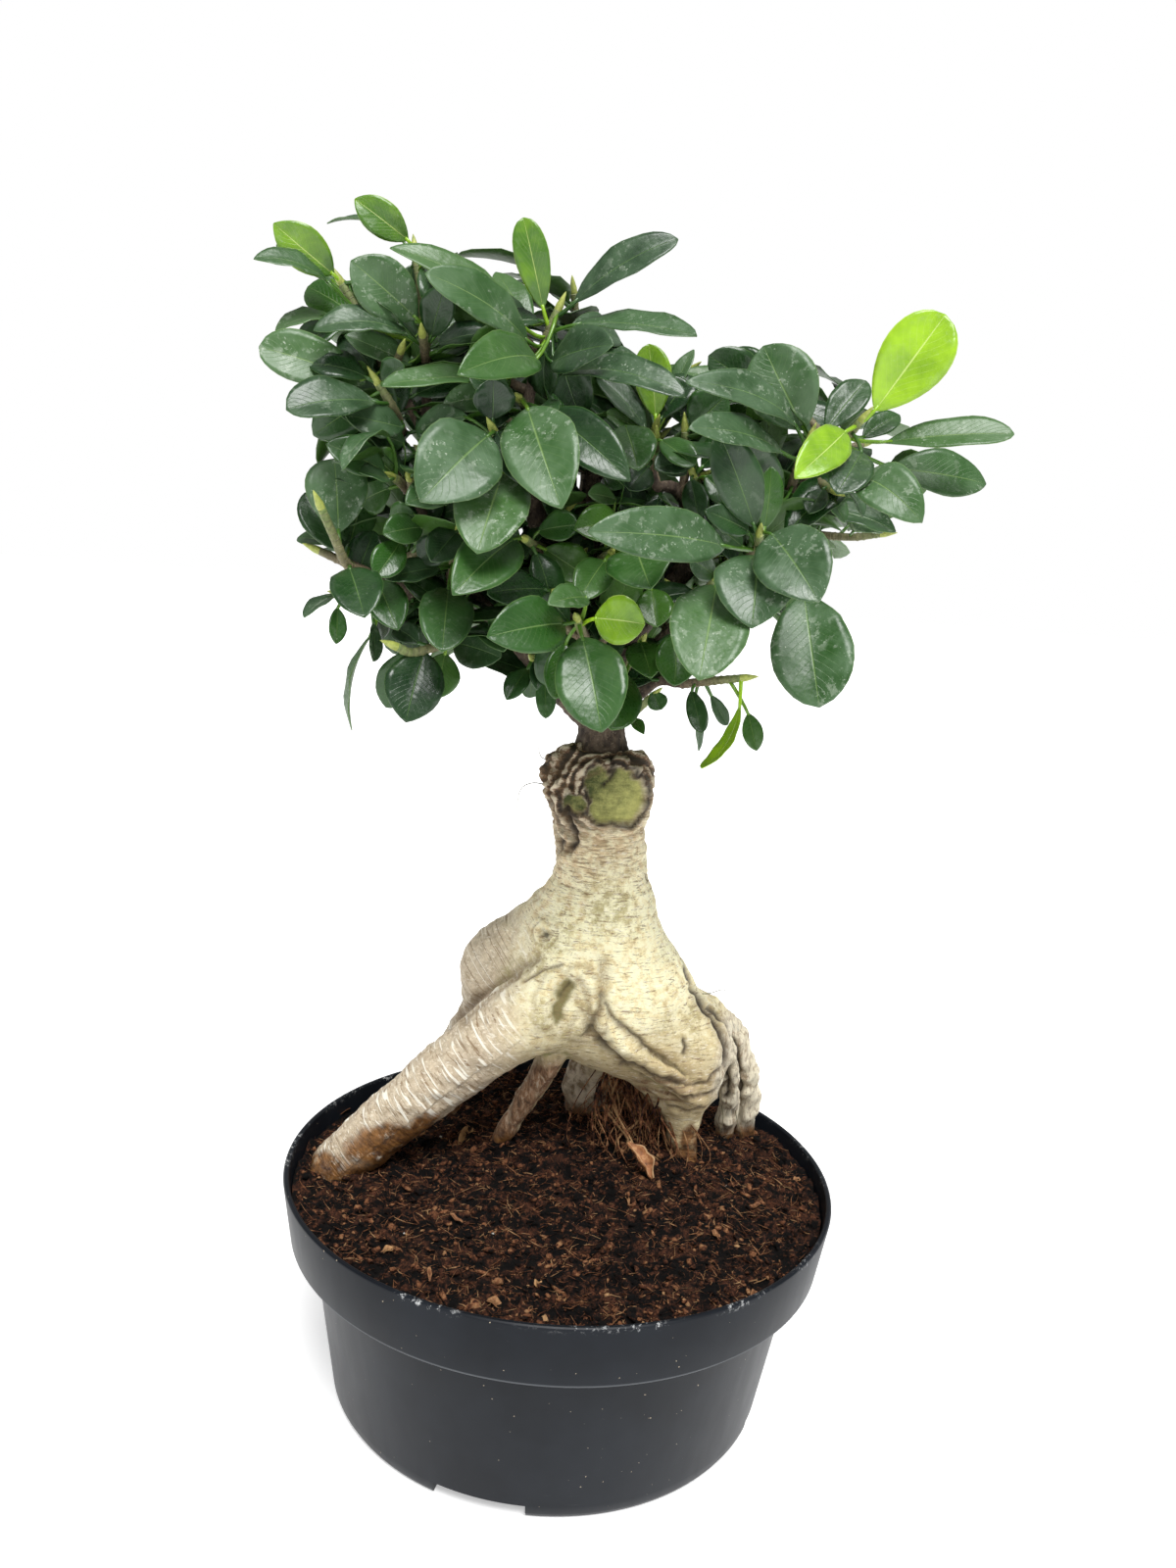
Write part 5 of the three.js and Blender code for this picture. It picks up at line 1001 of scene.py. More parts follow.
FRONT_SHOOTS = {
    "far_left_top": shoot([(398, 392, -13), (380, 345, -14), (362, 312, -15), (349, 290, -16)], [
        ((279, 228, -26), (349, 288, -16), 17, 8, 0.05, LIME),
        ((283, 248, -8), (350, 298, -12), 13, 35, 0.1),
        ((259, 264, -30), (344, 300, -18), 12, 66, 0.16),
        ((370, 311, -8), (352, 288, -12), 11, 16, 0.02),
        ((314, 293, -4), (384, 338, -8), 17, 20, 0.08),
    ]),
    "left_top": shoot([(437, 390, -13), (432, 320, 0), (424, 258, 4)], [
        ((362, 203, -4), (424, 252, 4), 15, 10, 0.1, LIME),
        ((334, 228, 14), (418, 250, 6), 9, 78, 0.14),
        ((480, 292, -8), (432, 262, 0), 13, 10, 0.05),
        ((388, 296, 2), (430, 336, 2), 19, 5, 0.05),
    ]),
    "left_stem": shoot([(435, 400, -13), (435, 350, -18), (433, 332, -20)], [
        ((358, 266, -34), (433, 334, -20), 21, 14, 0.08),
        ((320, 337, -42), (428, 352, -22), 15, 58, 0.16),
        ((352, 342, -30), (430, 378, -20), 12, 35, 0.05),
        ((264, 354, -38), (388, 398, -26), 19, 22, 0.06),
        ((455, 291, -26), (438, 352, -18), 13, 15, 0.05),
        ((281, 338, -12), (358, 336, -10), 12, 66, 0.16),
        ((482, 322, -4), (440, 345, -12), 13, 30, 0.08),
    ]),
    "left_rosette": shoot([(410, 440, -14), (402, 418, -26), (386, 392, -30)], [
        ((292, 418, -52), (395, 414, -30), 18, 46, 0.1),
        ((352, 424, -40), (420, 440, -24), 15, 35, 0.05),
        ((362, 394, -20), (412, 418, -18), 17, 5, 0.05),
        ((352, 338, -18), (384, 384, -26), 14, 10, 0.04),
        ((412, 372, -38), (388, 392, -30), 11, 10, 0.04),
    ]),
    "centre_top": shoot([(545, 385, -11), (553, 358, -14), (561, 335, -16), (569, 317, -17)], [
        ((534, 222, -24), (557, 330, -17), 14, 5, 0.06, LIME),
        ((692, 244, -30), (574, 324, -17), 14, 40, 0.12),
        ((711, 343, -44), (570, 334, -18), 15, 62, 0.06),
        ((626, 352, -52), (557, 376, -18), 18, 40, 0.08),
        ((632, 346, 14), (570, 338, -10), 15, 40, 0.08),
        ((652, 365, 8), (560, 376, -8), 15, 62, 0.1),
        ((700, 405, -56), (556, 392, -18), 15, 52, 0.14),
        ((398, 253, -40), (547, 353, -18), 15, 55, 0.12),
        ((434, 279, -56), (546, 362, -18), 17, 38, 0.12),
        ((506, 278, 10), (546, 346, -8), 13, 30, 0.06),
        ((467, 382, -70), (554, 372, -22), 18, 32, 0.12),
        ((634, 410, 4), (556, 392, -6), 17, 15, 0.06),
        ((390, 394, -56), (536, 392, -20), 13, 62, 0.05),
    ]),
    "centre_front": shoot([(540, 435, -8), (535, 414, -28), (530, 407, -36)], [
        ((573, 519, -78), (536, 409, -38), 26, 0, 0.1),
        ((643, 491, -60), (548, 414, -32), 18, 15, 0.1),
        ((452, 413, -30), (518, 404, -30), 13, 35, 0.05),
        ((478, 384, -34), (528, 408, -34), 12, 30, 0.05),
    ]),
    "left_front": shoot([(545, 500, 0), (522, 474, -36), (504, 440, -50)], [
        ((429, 512, -84), (505, 440, -52), 28, 8, 0.12),
        ((543, 496, -62), (501, 434, -48), 13, 10, 0.06),
        ((487, 565, -82), (517, 476, -46), 25, 8, 0.1),
        ((503, 386, -42), (502, 434, -42), 15, 15, 0.04),
        ((425, 438, -30), (486, 424, -38), 12, 35, 0.06),
        ((414, 514, -66), (466, 500, -48), 13, 35, 0.06),
    ]),
    "centre_front_low": shoot([(556, 560, 8), (545, 556, -24), (536, 550, -42)], [
        ((462, 607, -84), (532, 547, -46), 20, 14, 0.1),
        ((590, 536, -30), (543, 544, -26), 13, 30, 0.06),
        ((600, 590, -26), (548, 556, -26), 16, 15, 0.06),
    ]),
    "front_low": shoot([(588, 620, 12), (572, 612, -18), (566, 605, -34)], [
        ((497, 606, -52), (565, 603, -36), 14, 28, 0.08),
        ((500, 643, -36), (552, 612, -30), 13, 25, 0.06),
        ((558, 700, -28), (570, 622, -24), 14, 10, 0.05),
    ]),
    "left_front_low": shoot([(460, 596, -8), (464, 568, -32), (468, 542, -44)], [
        ((440, 573, -62), (469, 540, -46), 13, 10, 0.08),
        ((428, 572, -38), (458, 548, -38), 12, 5, 0.05),
        ((393, 591, -48), (457, 580, -34), 12, 45, 0.06),
        ((451, 665, -74), (457, 598, -34), 19, 5, 0.1),
    ]),
    "left_small": shoot([(446, 556, -8), (440, 546, -26), (436, 538, -36)], [
        ((391, 545, -50), (436, 538, -38), 12, 20, 0.06),
        ((384, 588, -54), (412, 548, -40), 12, 5, 0.06),
        ((398, 530, -34), (428, 524, -34), 11, 5, 0.04),
    ]),
    "left_stub": shoot([(416, 500, -20), (406, 490, -30), (401, 487, -34)], [
        ((328, 443, -30), (400, 458, -26), 12, 40, 0.08),
        ((333, 453, -48), (401, 487, -36), 14, 25, 0.06),
        ((368, 436, -16), (420, 456, -20), 13, 20, 0.05),
        ((350, 479, -62), (408, 452, -34), 10, 76, 0.2),
        ((376, 462, -36), (404, 486, -30), 12, 15, 0.04),
        ((367, 482, -50), (402, 492, -38), 10, 62, 0.05),
        ((368, 512, -22), (404, 496, -26), 15, 15, 0.06),
    ]),
    "far_left": shoot([(376, 584, -28), (355, 577, -46), (341, 548, -52), (328, 519, -58)], [
        ((341, 468, -38), (346, 556, -42), 22, 0, 0.05),
        ((311, 503, -24), (350, 572, -32), 15, 10, 0.05),
        ((304, 549, -20), (344, 556, -28), 8, 40, 0.05),
        ((372, 505, -16), (354, 566, -26), 15, 5, 0.05),
        ((372, 630, -76), (355, 577, -48), 18, 8, 0.08),
        ((406, 643, -52), (382, 586, -34), 15, 10, 0.06),
    ]),
    "left_hanging": shoot([(404, 617, -10), (378, 610, -22), (352, 606, -28)], [
        ((359, 745, -26), (391, 634, -20), 12, 80, 0.13),
        ((310, 630, -40), (352, 606, -30), 9, 60, 0.1),
        ((343, 657, -34), (344, 614, -30), 7, 20, 0.03),
        ((381, 675, -36), (380, 630, -26), 7, 45, 0.05),
        ((390, 652, -8), (384, 618, -18), 8, 30, 0.04),
    ]),
    "low_left": shoot([(460, 655, -26), (441, 661, -46), (420, 666, -52), (405, 660, -56)], [
        ((414, 737, -62), (436, 656, -46), 21, 5, 0.08),
        ((394, 722, -36), (426, 654, -38), 15, 10, 0.06),
        ((445, 713, -38), (455, 660, -30), 14, 10, 0.06),
        ((511, 671, -44), (458, 655, -28), 17, 15, 0.06),
        ((404, 640, -34), (432, 660, -42), 10, 20, 0.05),
    ]),
    "low_centre": shoot([(562, 690, 2), (548, 676, -14), (544, 672, -20)], [
        ((517, 714, -30), (542, 678, -20), 9, 15, 0.06),
        ((548, 704, -34), (547, 668, -22), 6, 10, 0.04),
        ((557, 733, -22), (554, 678, -16), 8, 10, 0.04),
        ((540, 712, -8), (545, 678, -12), 8, 20, 0.04),
    ]),
    "front_rosette": shoot([(600, 660, -22), (592, 640, -46), (589, 632, -54)], [
        ((614, 747, -78), (592, 640, -52), 25, 0, 0.1),
        ((497, 650, -86), (582, 638, -54), 20, 14, 0.12),
        ((658, 637, -76), (600, 630, -56), 19, 4, 0.08, LIME),
        ((559, 617, -76), (602, 612, -54), 11, 35, 0.1),
        ((566, 713, -50), (578, 648, -40), 12, 10, 0.06),
    ]),
    "low_middle": shoot([(620, 704, 16), (640, 680, -4), (654, 656, -18)], [
        ((664, 692, -46), (652, 652, -22), 15, 10, 0.06),
        ((624, 745, -40), (640, 682, -12), 17, 5, 0.06),
        ((704, 668, -22), (664, 656, -20), 13, 20, 0.05),
    ]),
    "centre_low": shoot([(600, 580, 14), (614, 570, -12), (623, 564, -28)], [
        ((590, 613, -52), (620, 568, -30), 14, 5, 0.06),
        ((664, 601, -66), (648, 556, -34), 25, 0, 0.08),
        ((586, 540, -36), (640, 534, -24), 15, 20, 0.08),
        ((600, 504, -22), (632, 512, -14), 9, 40, 0.08),
        ((670, 640, -40), (664, 596, -28), 14, 5, 0.05),
        ((618, 480, -10), (640, 500, -8), 12, 30, 0.05),
    ]),
    "mid_right": shoot([(663, 480, -6), (668, 460, -18), (669, 447, -24)], [
        ((651, 480, -40), (636, 430, -22), 18, 12, 0.08),
        ((708, 476, -40), (669, 447, -26), 11, 30, 0.06),
        ((700, 484, -22), (670, 470, -16), 10, 35, 0.04),
        ((642, 500, -26), (664, 474, -16), 12, 15, 0.05),
    ]),
    "centre_right": shoot([(650, 466, 10), (664, 450, 0), (668, 438, -4)], [
        ((662, 351, -8), (670, 437, -5), 16, 4, 0.04, LIME),
        ((708, 357, 4), (680, 420, 0), 8, 40, 0.06),
        ((617, 422, -10), (664, 446, -4), 9, 25, 0.06),
        ((609, 384, -14), (665, 448, -6), 11, 35, 0.1),
        ((690, 374, 22), (676, 436, 8), 15, 10, 0.04),
    ]),
    "right_inner_low": shoot([(732, 556, 8), (722, 520, -6), (708, 486, -16)], [
        ((713, 530, -30), (704, 484, -18), 10, 5, 0.05),
        ((746, 512, -24), (716, 482, -18), 10, 10, 0.05),
        ((668, 478, -34), (716, 470, -20), 11, 40, 0.06),
        ((731, 498, -20), (719, 514, -10), 5, 20, 0.02),
        ((762, 480, -16), (722, 500, -10), 10, 20, 0.05),
    ]),
    "right_inner": shoot([(696, 505, 2), (700, 470, -4), (699, 440, -8)], [
        ((742, 403, -14), (700, 442, -8), 18, 4, 0.05),
        ((685, 384, 2), (698, 440, -4), 13, 10, 0.04),
        ((754, 448, -22), (702, 462, -8), 12, 42, 0.06),
        ((770, 420, 4), (704, 446, 0), 14, 30, 0.06),
    ]),
    "right_back_top": shoot([(790, 530, 2), (800, 450, 22), (796, 408, 26)], [
        ((723, 363, 10), (794, 412, 22), 18, 15, 0.08),
        ((745, 358, 34), (800, 420, 30), 16, 25, 0.08),
        ((696, 380, 24), (788, 420, 26), 14, 48, 0.1),
    ]),
    "right_mid": shoot([(803, 514, -7), (814, 476, -18), (825, 450, -22)], [
        ((779, 353, -20), (827, 452, -22), 27, 4, 0.05),
        ((700, 390, -58), (819, 448, -24), 15, 50, 0.14),
        ((703, 437, -70), (806, 470, -26), 14, 50, 0.08),
        ((737, 438, -54), (800, 522, -20), 16, 14, 0.1),
        ((884, 389, -4), (836, 448, -14), 14, 14, 0.06),
    ]),
    "right_low": shoot([(826, 486, -11), (842, 496, -22), (850, 500, -26)], [
        ((880, 528, -36), (862, 498, -30), 7, 62, 0.1),
        ((862, 534, -26), (838, 500, -22), 9, 50, 0.08),
        ((914, 543, -20), (824, 522, -12), 16, 56, 0.1),
        ((826, 524, -34), (842, 496, -24), 9, 20, 0.04),
    ]),
    "right_top": shoot([(846, 462, -14), (864, 446, -20), (878, 430, -24)], [
        ((965, 321, -34), (882, 434, -25), 28, 2, 0.05, LIME),
        ((811, 488, -58), (866, 438, -28), 17, 4, 0.1, LIME),
        ((854, 504, -54), (882, 458, -34), 16, 4, 0.08),
        ((1035, 443, -36), (884, 456, -24), 15, 46, 0.05),
        ((1006, 494, -12), (892, 478, -16), 19, 28, 0.08),
        ((941, 533, -66), (868, 492, -34), 19, 30, 0.24),
        ((918, 424, -8), (874, 452, -16), 10, 25, 0.05),
    ]),
    "right_front": shoot([(762, 572, -28), (773, 558, -42), (775, 546, -48)], [
        ((732, 438, -54), (774, 552, -47), 17, 10, 0.08),
        ((787, 476, -38), (778, 550, -42), 10, 20, 0.04),
        ((836, 614, -82), (783, 540, -50), 26, 6, 0.12),
        ((767, 641, -88), (772, 562, -50), 29, 2, 0.12),
        ((836, 722, -62), (818, 592, -34), 29, 4, 0.08),
        ((600, 543, -88), (750, 563, -48), 19, 20, 0.12),
        ((719, 521, -56), (769, 546, -46), 11, 30, 0.06),
        ((727, 534, -36), (762, 562, -36), 9, 20, 0.05),
    ]),
    "right_front_low": shoot([(716, 612, -8), (722, 602, -28), (730, 590, -44)], [
        ((713, 694, -86), (732, 590, -46), 27, 0, 0.1),
        ((688, 700, -46), (690, 640, -32), 16, 8, 0.06),
        ((704, 570, -56), (732, 590, -44), 10, 20, 0.04),
    ]),
    "hanging_right": shoot([(696, 698, -5), (725, 695, -14), (756, 692, -20)], [
        ((716, 748, -30), (704, 700, -10), 8, 8, 0.06),
        ((716, 784, -44), (757, 704, -22), 9, 52, -0.14, LIME),
        ((772, 766, -26), (762, 722, -22), 8, 8, 0.05),
        ((742, 740, -8), (722, 704, -10), 6, 20, 0.05),
        ((713, 766, -4), (706, 712, -4), 6, 60, 0.05),
    ]),
    "sprout": shoot([(630, 740, 6), (646, 728, -8), (664, 712, -14)], [
        ((675, 724, -20), (664, 704, -15), 8, 5, 0.03),
        ((657, 749, -18), (644, 732, -9), 5, 20, 0.1),
    ]),
}

RULED_SHOOTS = {
    "back_left_top": ruled([(-84, 50, 406), (-92, 56, 424), (-96, 58, 440)], 8, 62),
    "back_left_mid": ruled([(-62, 61, 356), (-84, 78, 366), (-96, 86, 376)], 8, 72),
    "back_left_low": ruled([(-50, 58, 344), (-74, 62, 334), (-90, 62, 328)], 8, 80),
    "back_top": ruled([(-12, 62, 430), (-18, 58, 448), (-20, 54, 458)], 8, 58),
    "back_mid_left": ruled([(-8, 78, 374), (-30, 92, 392), (-38, 98, 402)], 8, 70),
    "back_mid_right": ruled([(-6, 76, 390), (16, 92, 404), (24, 98, 412)], 8, 70),
    "back_low": ruled([(-2, 60, 348), (-8, 88, 344), (-10, 102, 340)], 8, 78),
    "back_low_left": ruled([(-20, 34, 318), (-38, 56, 306), (-46, 66, 302)], 7, 80),
    "back_low_right": ruled([(30, 42, 320), (44, 70, 314), (50, 84, 312)], 8, 80),
    "back_right_mid": ruled([(66, 68, 356), (82, 88, 360), (88, 98, 364)], 8, 72),
    "back_right_top": ruled([(96, 60, 400), (104, 62, 416), (106, 64, 424)], 8, 62),
    "right_side": ruled([(74, 67, 368), (104, 48, 366), (118, 42, 368)], 8, 74),
    "crown_middle": ruled([(-8, 74, 410), (20, 50, 420), (30, 42, 428)], 8, 62),
}

SEEN_BOUGHS = {
    "graft": [(613, 768, 12, 12.5), (614, 748, 12, 10.2), (612, 715, 12, 9.4), (606, 680, 13, 8),
        (600, 645, 15, 6.6)],
    "left": [(606, 735, 12, 6.5), (572, 702, 6, 5.6), (530, 655, 2, 4.6), (482, 610, -4, 4),
        (446, 560, -8, 3.2), (436, 500, -10, 2.6), (436, 430, -12, 2.1), (435, 372, -14, 1.8)],
    "far_left": [(482, 610, -4, 3.6), (430, 600, -12, 3), (392, 590, -22, 2.4), (370, 582, -30, 2)],
    "left_stub": [(446, 550, -8, 2.4), (425, 512, -18, 2), (409, 488, -22, 1.7)],
    "left_high": [(436, 450, -11, 2.1), (414, 408, -14, 1.9), (398, 390, -13, 1.6)],
    "centre": [(600, 655, 14, 6.2), (580, 590, 14, 5), (552, 545, 8, 4.2), (543, 495, 2, 3.6),
        (538, 440, -6, 2.9), (541, 400, -10, 2.4), (552, 362, -12, 1.9)],
    "centre_high": [(604, 655, 16, 6), (600, 570, 20, 5), (603, 520, 20, 4.4), (607, 484, 18, 3.6),
        (638, 474, 12, 2.8), (656, 460, 9, 2.1)],
    "right": [(610, 690, 16, 6), (650, 640, 18, 5.4), (700, 580, 16, 4.8), (745, 545, 8, 4),
        (790, 530, -2, 3.2), (806, 508, -8, 2.8), (835, 475, -12, 2.2), (850, 458, -14, 1.9)],
    "right_inner": [(720, 562, 12, 3.4), (694, 503, 2, 2.8), (670, 495, -4, 2.3), (664, 476, -6, 1.8)],
    "right_low": [(625, 715, 12, 4.5), (680, 650, 4, 3.4), (730, 600, -12, 2.6), (764, 570, -30, 2)],
    "right_hanging": [(632, 728, 10, 3.2), (668, 697, 2, 2.3), (700, 698, -6, 1.8)],
    "front": [(608, 700, 4, 3.4), (600, 665, -18, 2.6), (593, 642, -40, 2)],
    "left_low": [(530, 655, 2, 3.4), (490, 655, -14, 2.6), (452, 656, -28, 1.9)],
    "left_end": [(430, 600, -12, 2.4), (402, 618, -10, 1.8)],
}

HIDDEN_BOUGHS = {
    "back_left": [(2, 14, 290, 6), (-25, 38, 322, 5), (-55, 60, 350, 3.8), (-76, 58, 385, 2.8),
        (-84, 50, 408, 2)],
    "back": [(4, 16, 298, 6), (0, 50, 335, 4.8), (-8, 78, 372, 3.6), (-8, 74, 412, 2.6), (-12, 62, 432, 2)],
    "back_right": [(8, 16, 296, 6), (35, 48, 325, 5), (62, 68, 352, 3.8), (86, 66, 382, 2.8),
        (96, 60, 402, 2)],
}


# The rootstock: the solid's own form, skinned finely, then given its bark

BARK_VOXEL = 0.98
BARK_ROUNDS = 12
VALLEY_ROUNDS = 40
VALLEY_DEPTH = (0.05, 0.9)
MM_A_PIXEL = 0.41

# Places on the bark as seen in the picture, [across, down]. A groove or a ridge is its path, its half
# width and its depth or height in millimetres, and how dark a groove is painted: its crack's own dark
# and painted shade in it.
GROOVES = {
    "long": ([(661, 893), (668, 908), (679, 930), (690, 958), (700, 992), (706, 1012)], 0.7, 1.3, 1.0),
    "right_seam": (
        [(705, 1008), (716, 1026), (730, 1045), (738, 1065), (742, 1088), (741, 1118)], 1.0, 2.4, 1.0),
    "right_seam_two": ([(722, 1028), (738, 1044), (750, 1066), (754, 1092), (752, 1120)], 1.0, 2.2, 0.9),
    "neck": ([(577, 828), (582, 842), (589, 860), (580, 866)], 1.5, 3.6, 1.0),
    "neck_low": ([(572, 858), (569, 868), (564, 876)], 1.2, 2.6, 1.0),
    "neck_left": ([(562, 815), (566, 835), (564, 852)], 0.8, 1.6, 0.7),
    "crotch": ([(613, 1018), (612, 1028), (604, 1042), (598, 1056)], 1.8, 2.8, 0.5),
    "crotch_top": ([(616, 984), (615, 1002), (613, 1018)], 2.2, 1.5, 0.0),
    # The dark under the crossing root is a painted shadow beneath it
    "under_crossing": ([(600, 1052), (618, 1068), (640, 1086), (664, 1098), (692, 1104)], 1.4, 2.4, 0.8),
    "over_crossing": ([(617, 1024), (628, 1042), (648, 1058), (670, 1076), (698, 1096)], 1.0, 1.8, 0.6),
    "hollow_fold": ([(590, 1000), (598, 1012), (602, 1026), (596, 1044)], 1.4, 1.1, 0.1),
    "hollow": ([(579, 1006), (574, 1014), (569, 1026), (568, 1037)], 2.9, 2.2, 0.0),
    "hollow_dark": ([(581, 1003), (575, 1009), (569, 1018)], 0.5, 0.8, 0.55),
    "shoulder": ([(470, 1040), (492, 1016), (520, 996), (548, 978)], 1.8, 1.6, 0.25),
    "shoulder_low": ([(534, 1000), (552, 990), (572, 984)], 0.8, 1.2, 0.45),
    "lobe_one": ([(682, 1098), (702, 1108), (722, 1104), (736, 1090)], 0.7, 1.2, 0.6),
    "lobe_two": ([(676, 1112), (700, 1122), (724, 1118), (740, 1104)], 0.7, 1.3, 0.6),
    "lobe_three": ([(680, 1128), (704, 1134), (728, 1128)], 0.6, 1.0, 0.5),
    "tick": ([(697, 1062), (701, 1068), (698, 1074)], 0.9, 1.2, 0.9),
}
RIDGES = {
    "crossing": ([(608, 1030), (614, 1048), (630, 1063), (650, 1076), (672, 1088), (692, 1098)], 3.2, 3.4),
    "fold": ([(592, 1000), (606, 1018), (606, 1036), (594, 1050)], 3.4, 1.8),
    "hollow_left": ([(566, 1000), (558, 1018), (556, 1040)], 2.6, 1.3),
    "right_edge": ([(712, 1014), (728, 1036), (742, 1062), (748, 1092), (748, 1122)], 2.0, 1.6),
    "smile_one": ([(590, 836), (606, 850), (626, 852), (648, 842)], 1.4, 1.1),
    "smile_two": ([(586, 850), (606, 862), (632, 862), (656, 850)], 1.4, 1.0),
    "collar": ([(556, 786), (580, 768), (612, 762), (640, 766), (662, 776)], 2.6, 1.8),
    "collar_two": ([(566, 800), (590, 786), (606, 782)], 2.0, 1.3),
}
SCARS = {
    "large_right": (634, 812, 24, 30),
    "large_left": (610, 800, 15, 19),
    "large_low": (618, 826, 17, 16),
    "small": (586, 821, 15, 11),
}
NOTCH = [(624, 772), (627, 786), (622, 797), (616, 801)]
KNOT = (556, 953, 12)
SWIRL = (565, 792, 12, 20)
RIDGE_LUMPS = [(626, 1064, 5), (636, 1072, 6), (646, 1080, 5), (632, 1082, 5), (562, 1094, 6), (556, 1078, 7)]
# Where the right lobe laps over the front foot and shades it, painted brown as shade: centre and half sizes
LOBE_SHADOW = (670, 1113, 44, 15)
FIBRE_EDGE = [(566, 868), (662, 832)]
LEFT_ROOT_AXIS = [(560, 1026, -4), (345, 1192, -3)]
# The peeling bark lies right of and below this place, along a slant through a height in the picture
FLAKY_FROM = (724, 1026)
FLAKY_SLANT, FLAKY_SLANT_DOWN = 0.12, 1130
# The scars get a painted highlight, lighter to the right of and below this place, over these reaches
SCAR_HIGHLIGHT_FROM, SCAR_HIGHLIGHT_REACH = (600, 785), (45, 50)
STRAND_RING_SHIFT = 8
REAR_ROOT = (604, 1100, 36, 46)
# The thin prop root: a place on it, its slope, its half widths in millimetres and where it begins
PROP_ROOT = ((539, 1122), 0.60, (11, 6), (1074, 1092))
STAINS = [(402, 1172, 52, 24), (442, 1150, 26, 14), (322, 1198, 28, 24), (706, 1172, 14, 26)]


def lumps(corners, size, seed=0.0, stretch=(1, 1, 1)):
    """Cloudy noise, about -1 to 1, on lumps of that size."""
    offset = Vector((seed, 0, 0))
    scaled = corners * np.array(stretch) / size
    return np.array([noise.noise(Vector(corner) + offset) for corner in scaled])


def skinned_copy(node, voxel, rounds):
    """A finely skinned copy of a solid."""
    made = show(bpy.data.objects.new(f"{node}_skin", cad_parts[node].data.copy()))
    make_active(made)
    bpy.ops.object.mode_set(mode="EDIT")
    bpy.ops.mesh.select_all(action="SELECT")
    bpy.ops.mesh.remove_doubles(threshold=0.00001)
    bpy.ops.object.mode_set(mode="OBJECT")
    refine(made, voxel, rounds)
    return made


def refine(piece, voxel, rounds):
    skin = piece.modifiers.new("skin", "REMESH")
    skin.mode = "VOXEL"
    skin.voxel_size = voxel * MM
    even = piece.modifiers.new("even", "SMOOTH")
    even.factor = 0.5
    even.iterations = rounds
    apply_modifiers(piece)
    piece.data.polygons.foreach_set("use_smooth", [True] * len(piece.data.polygons))


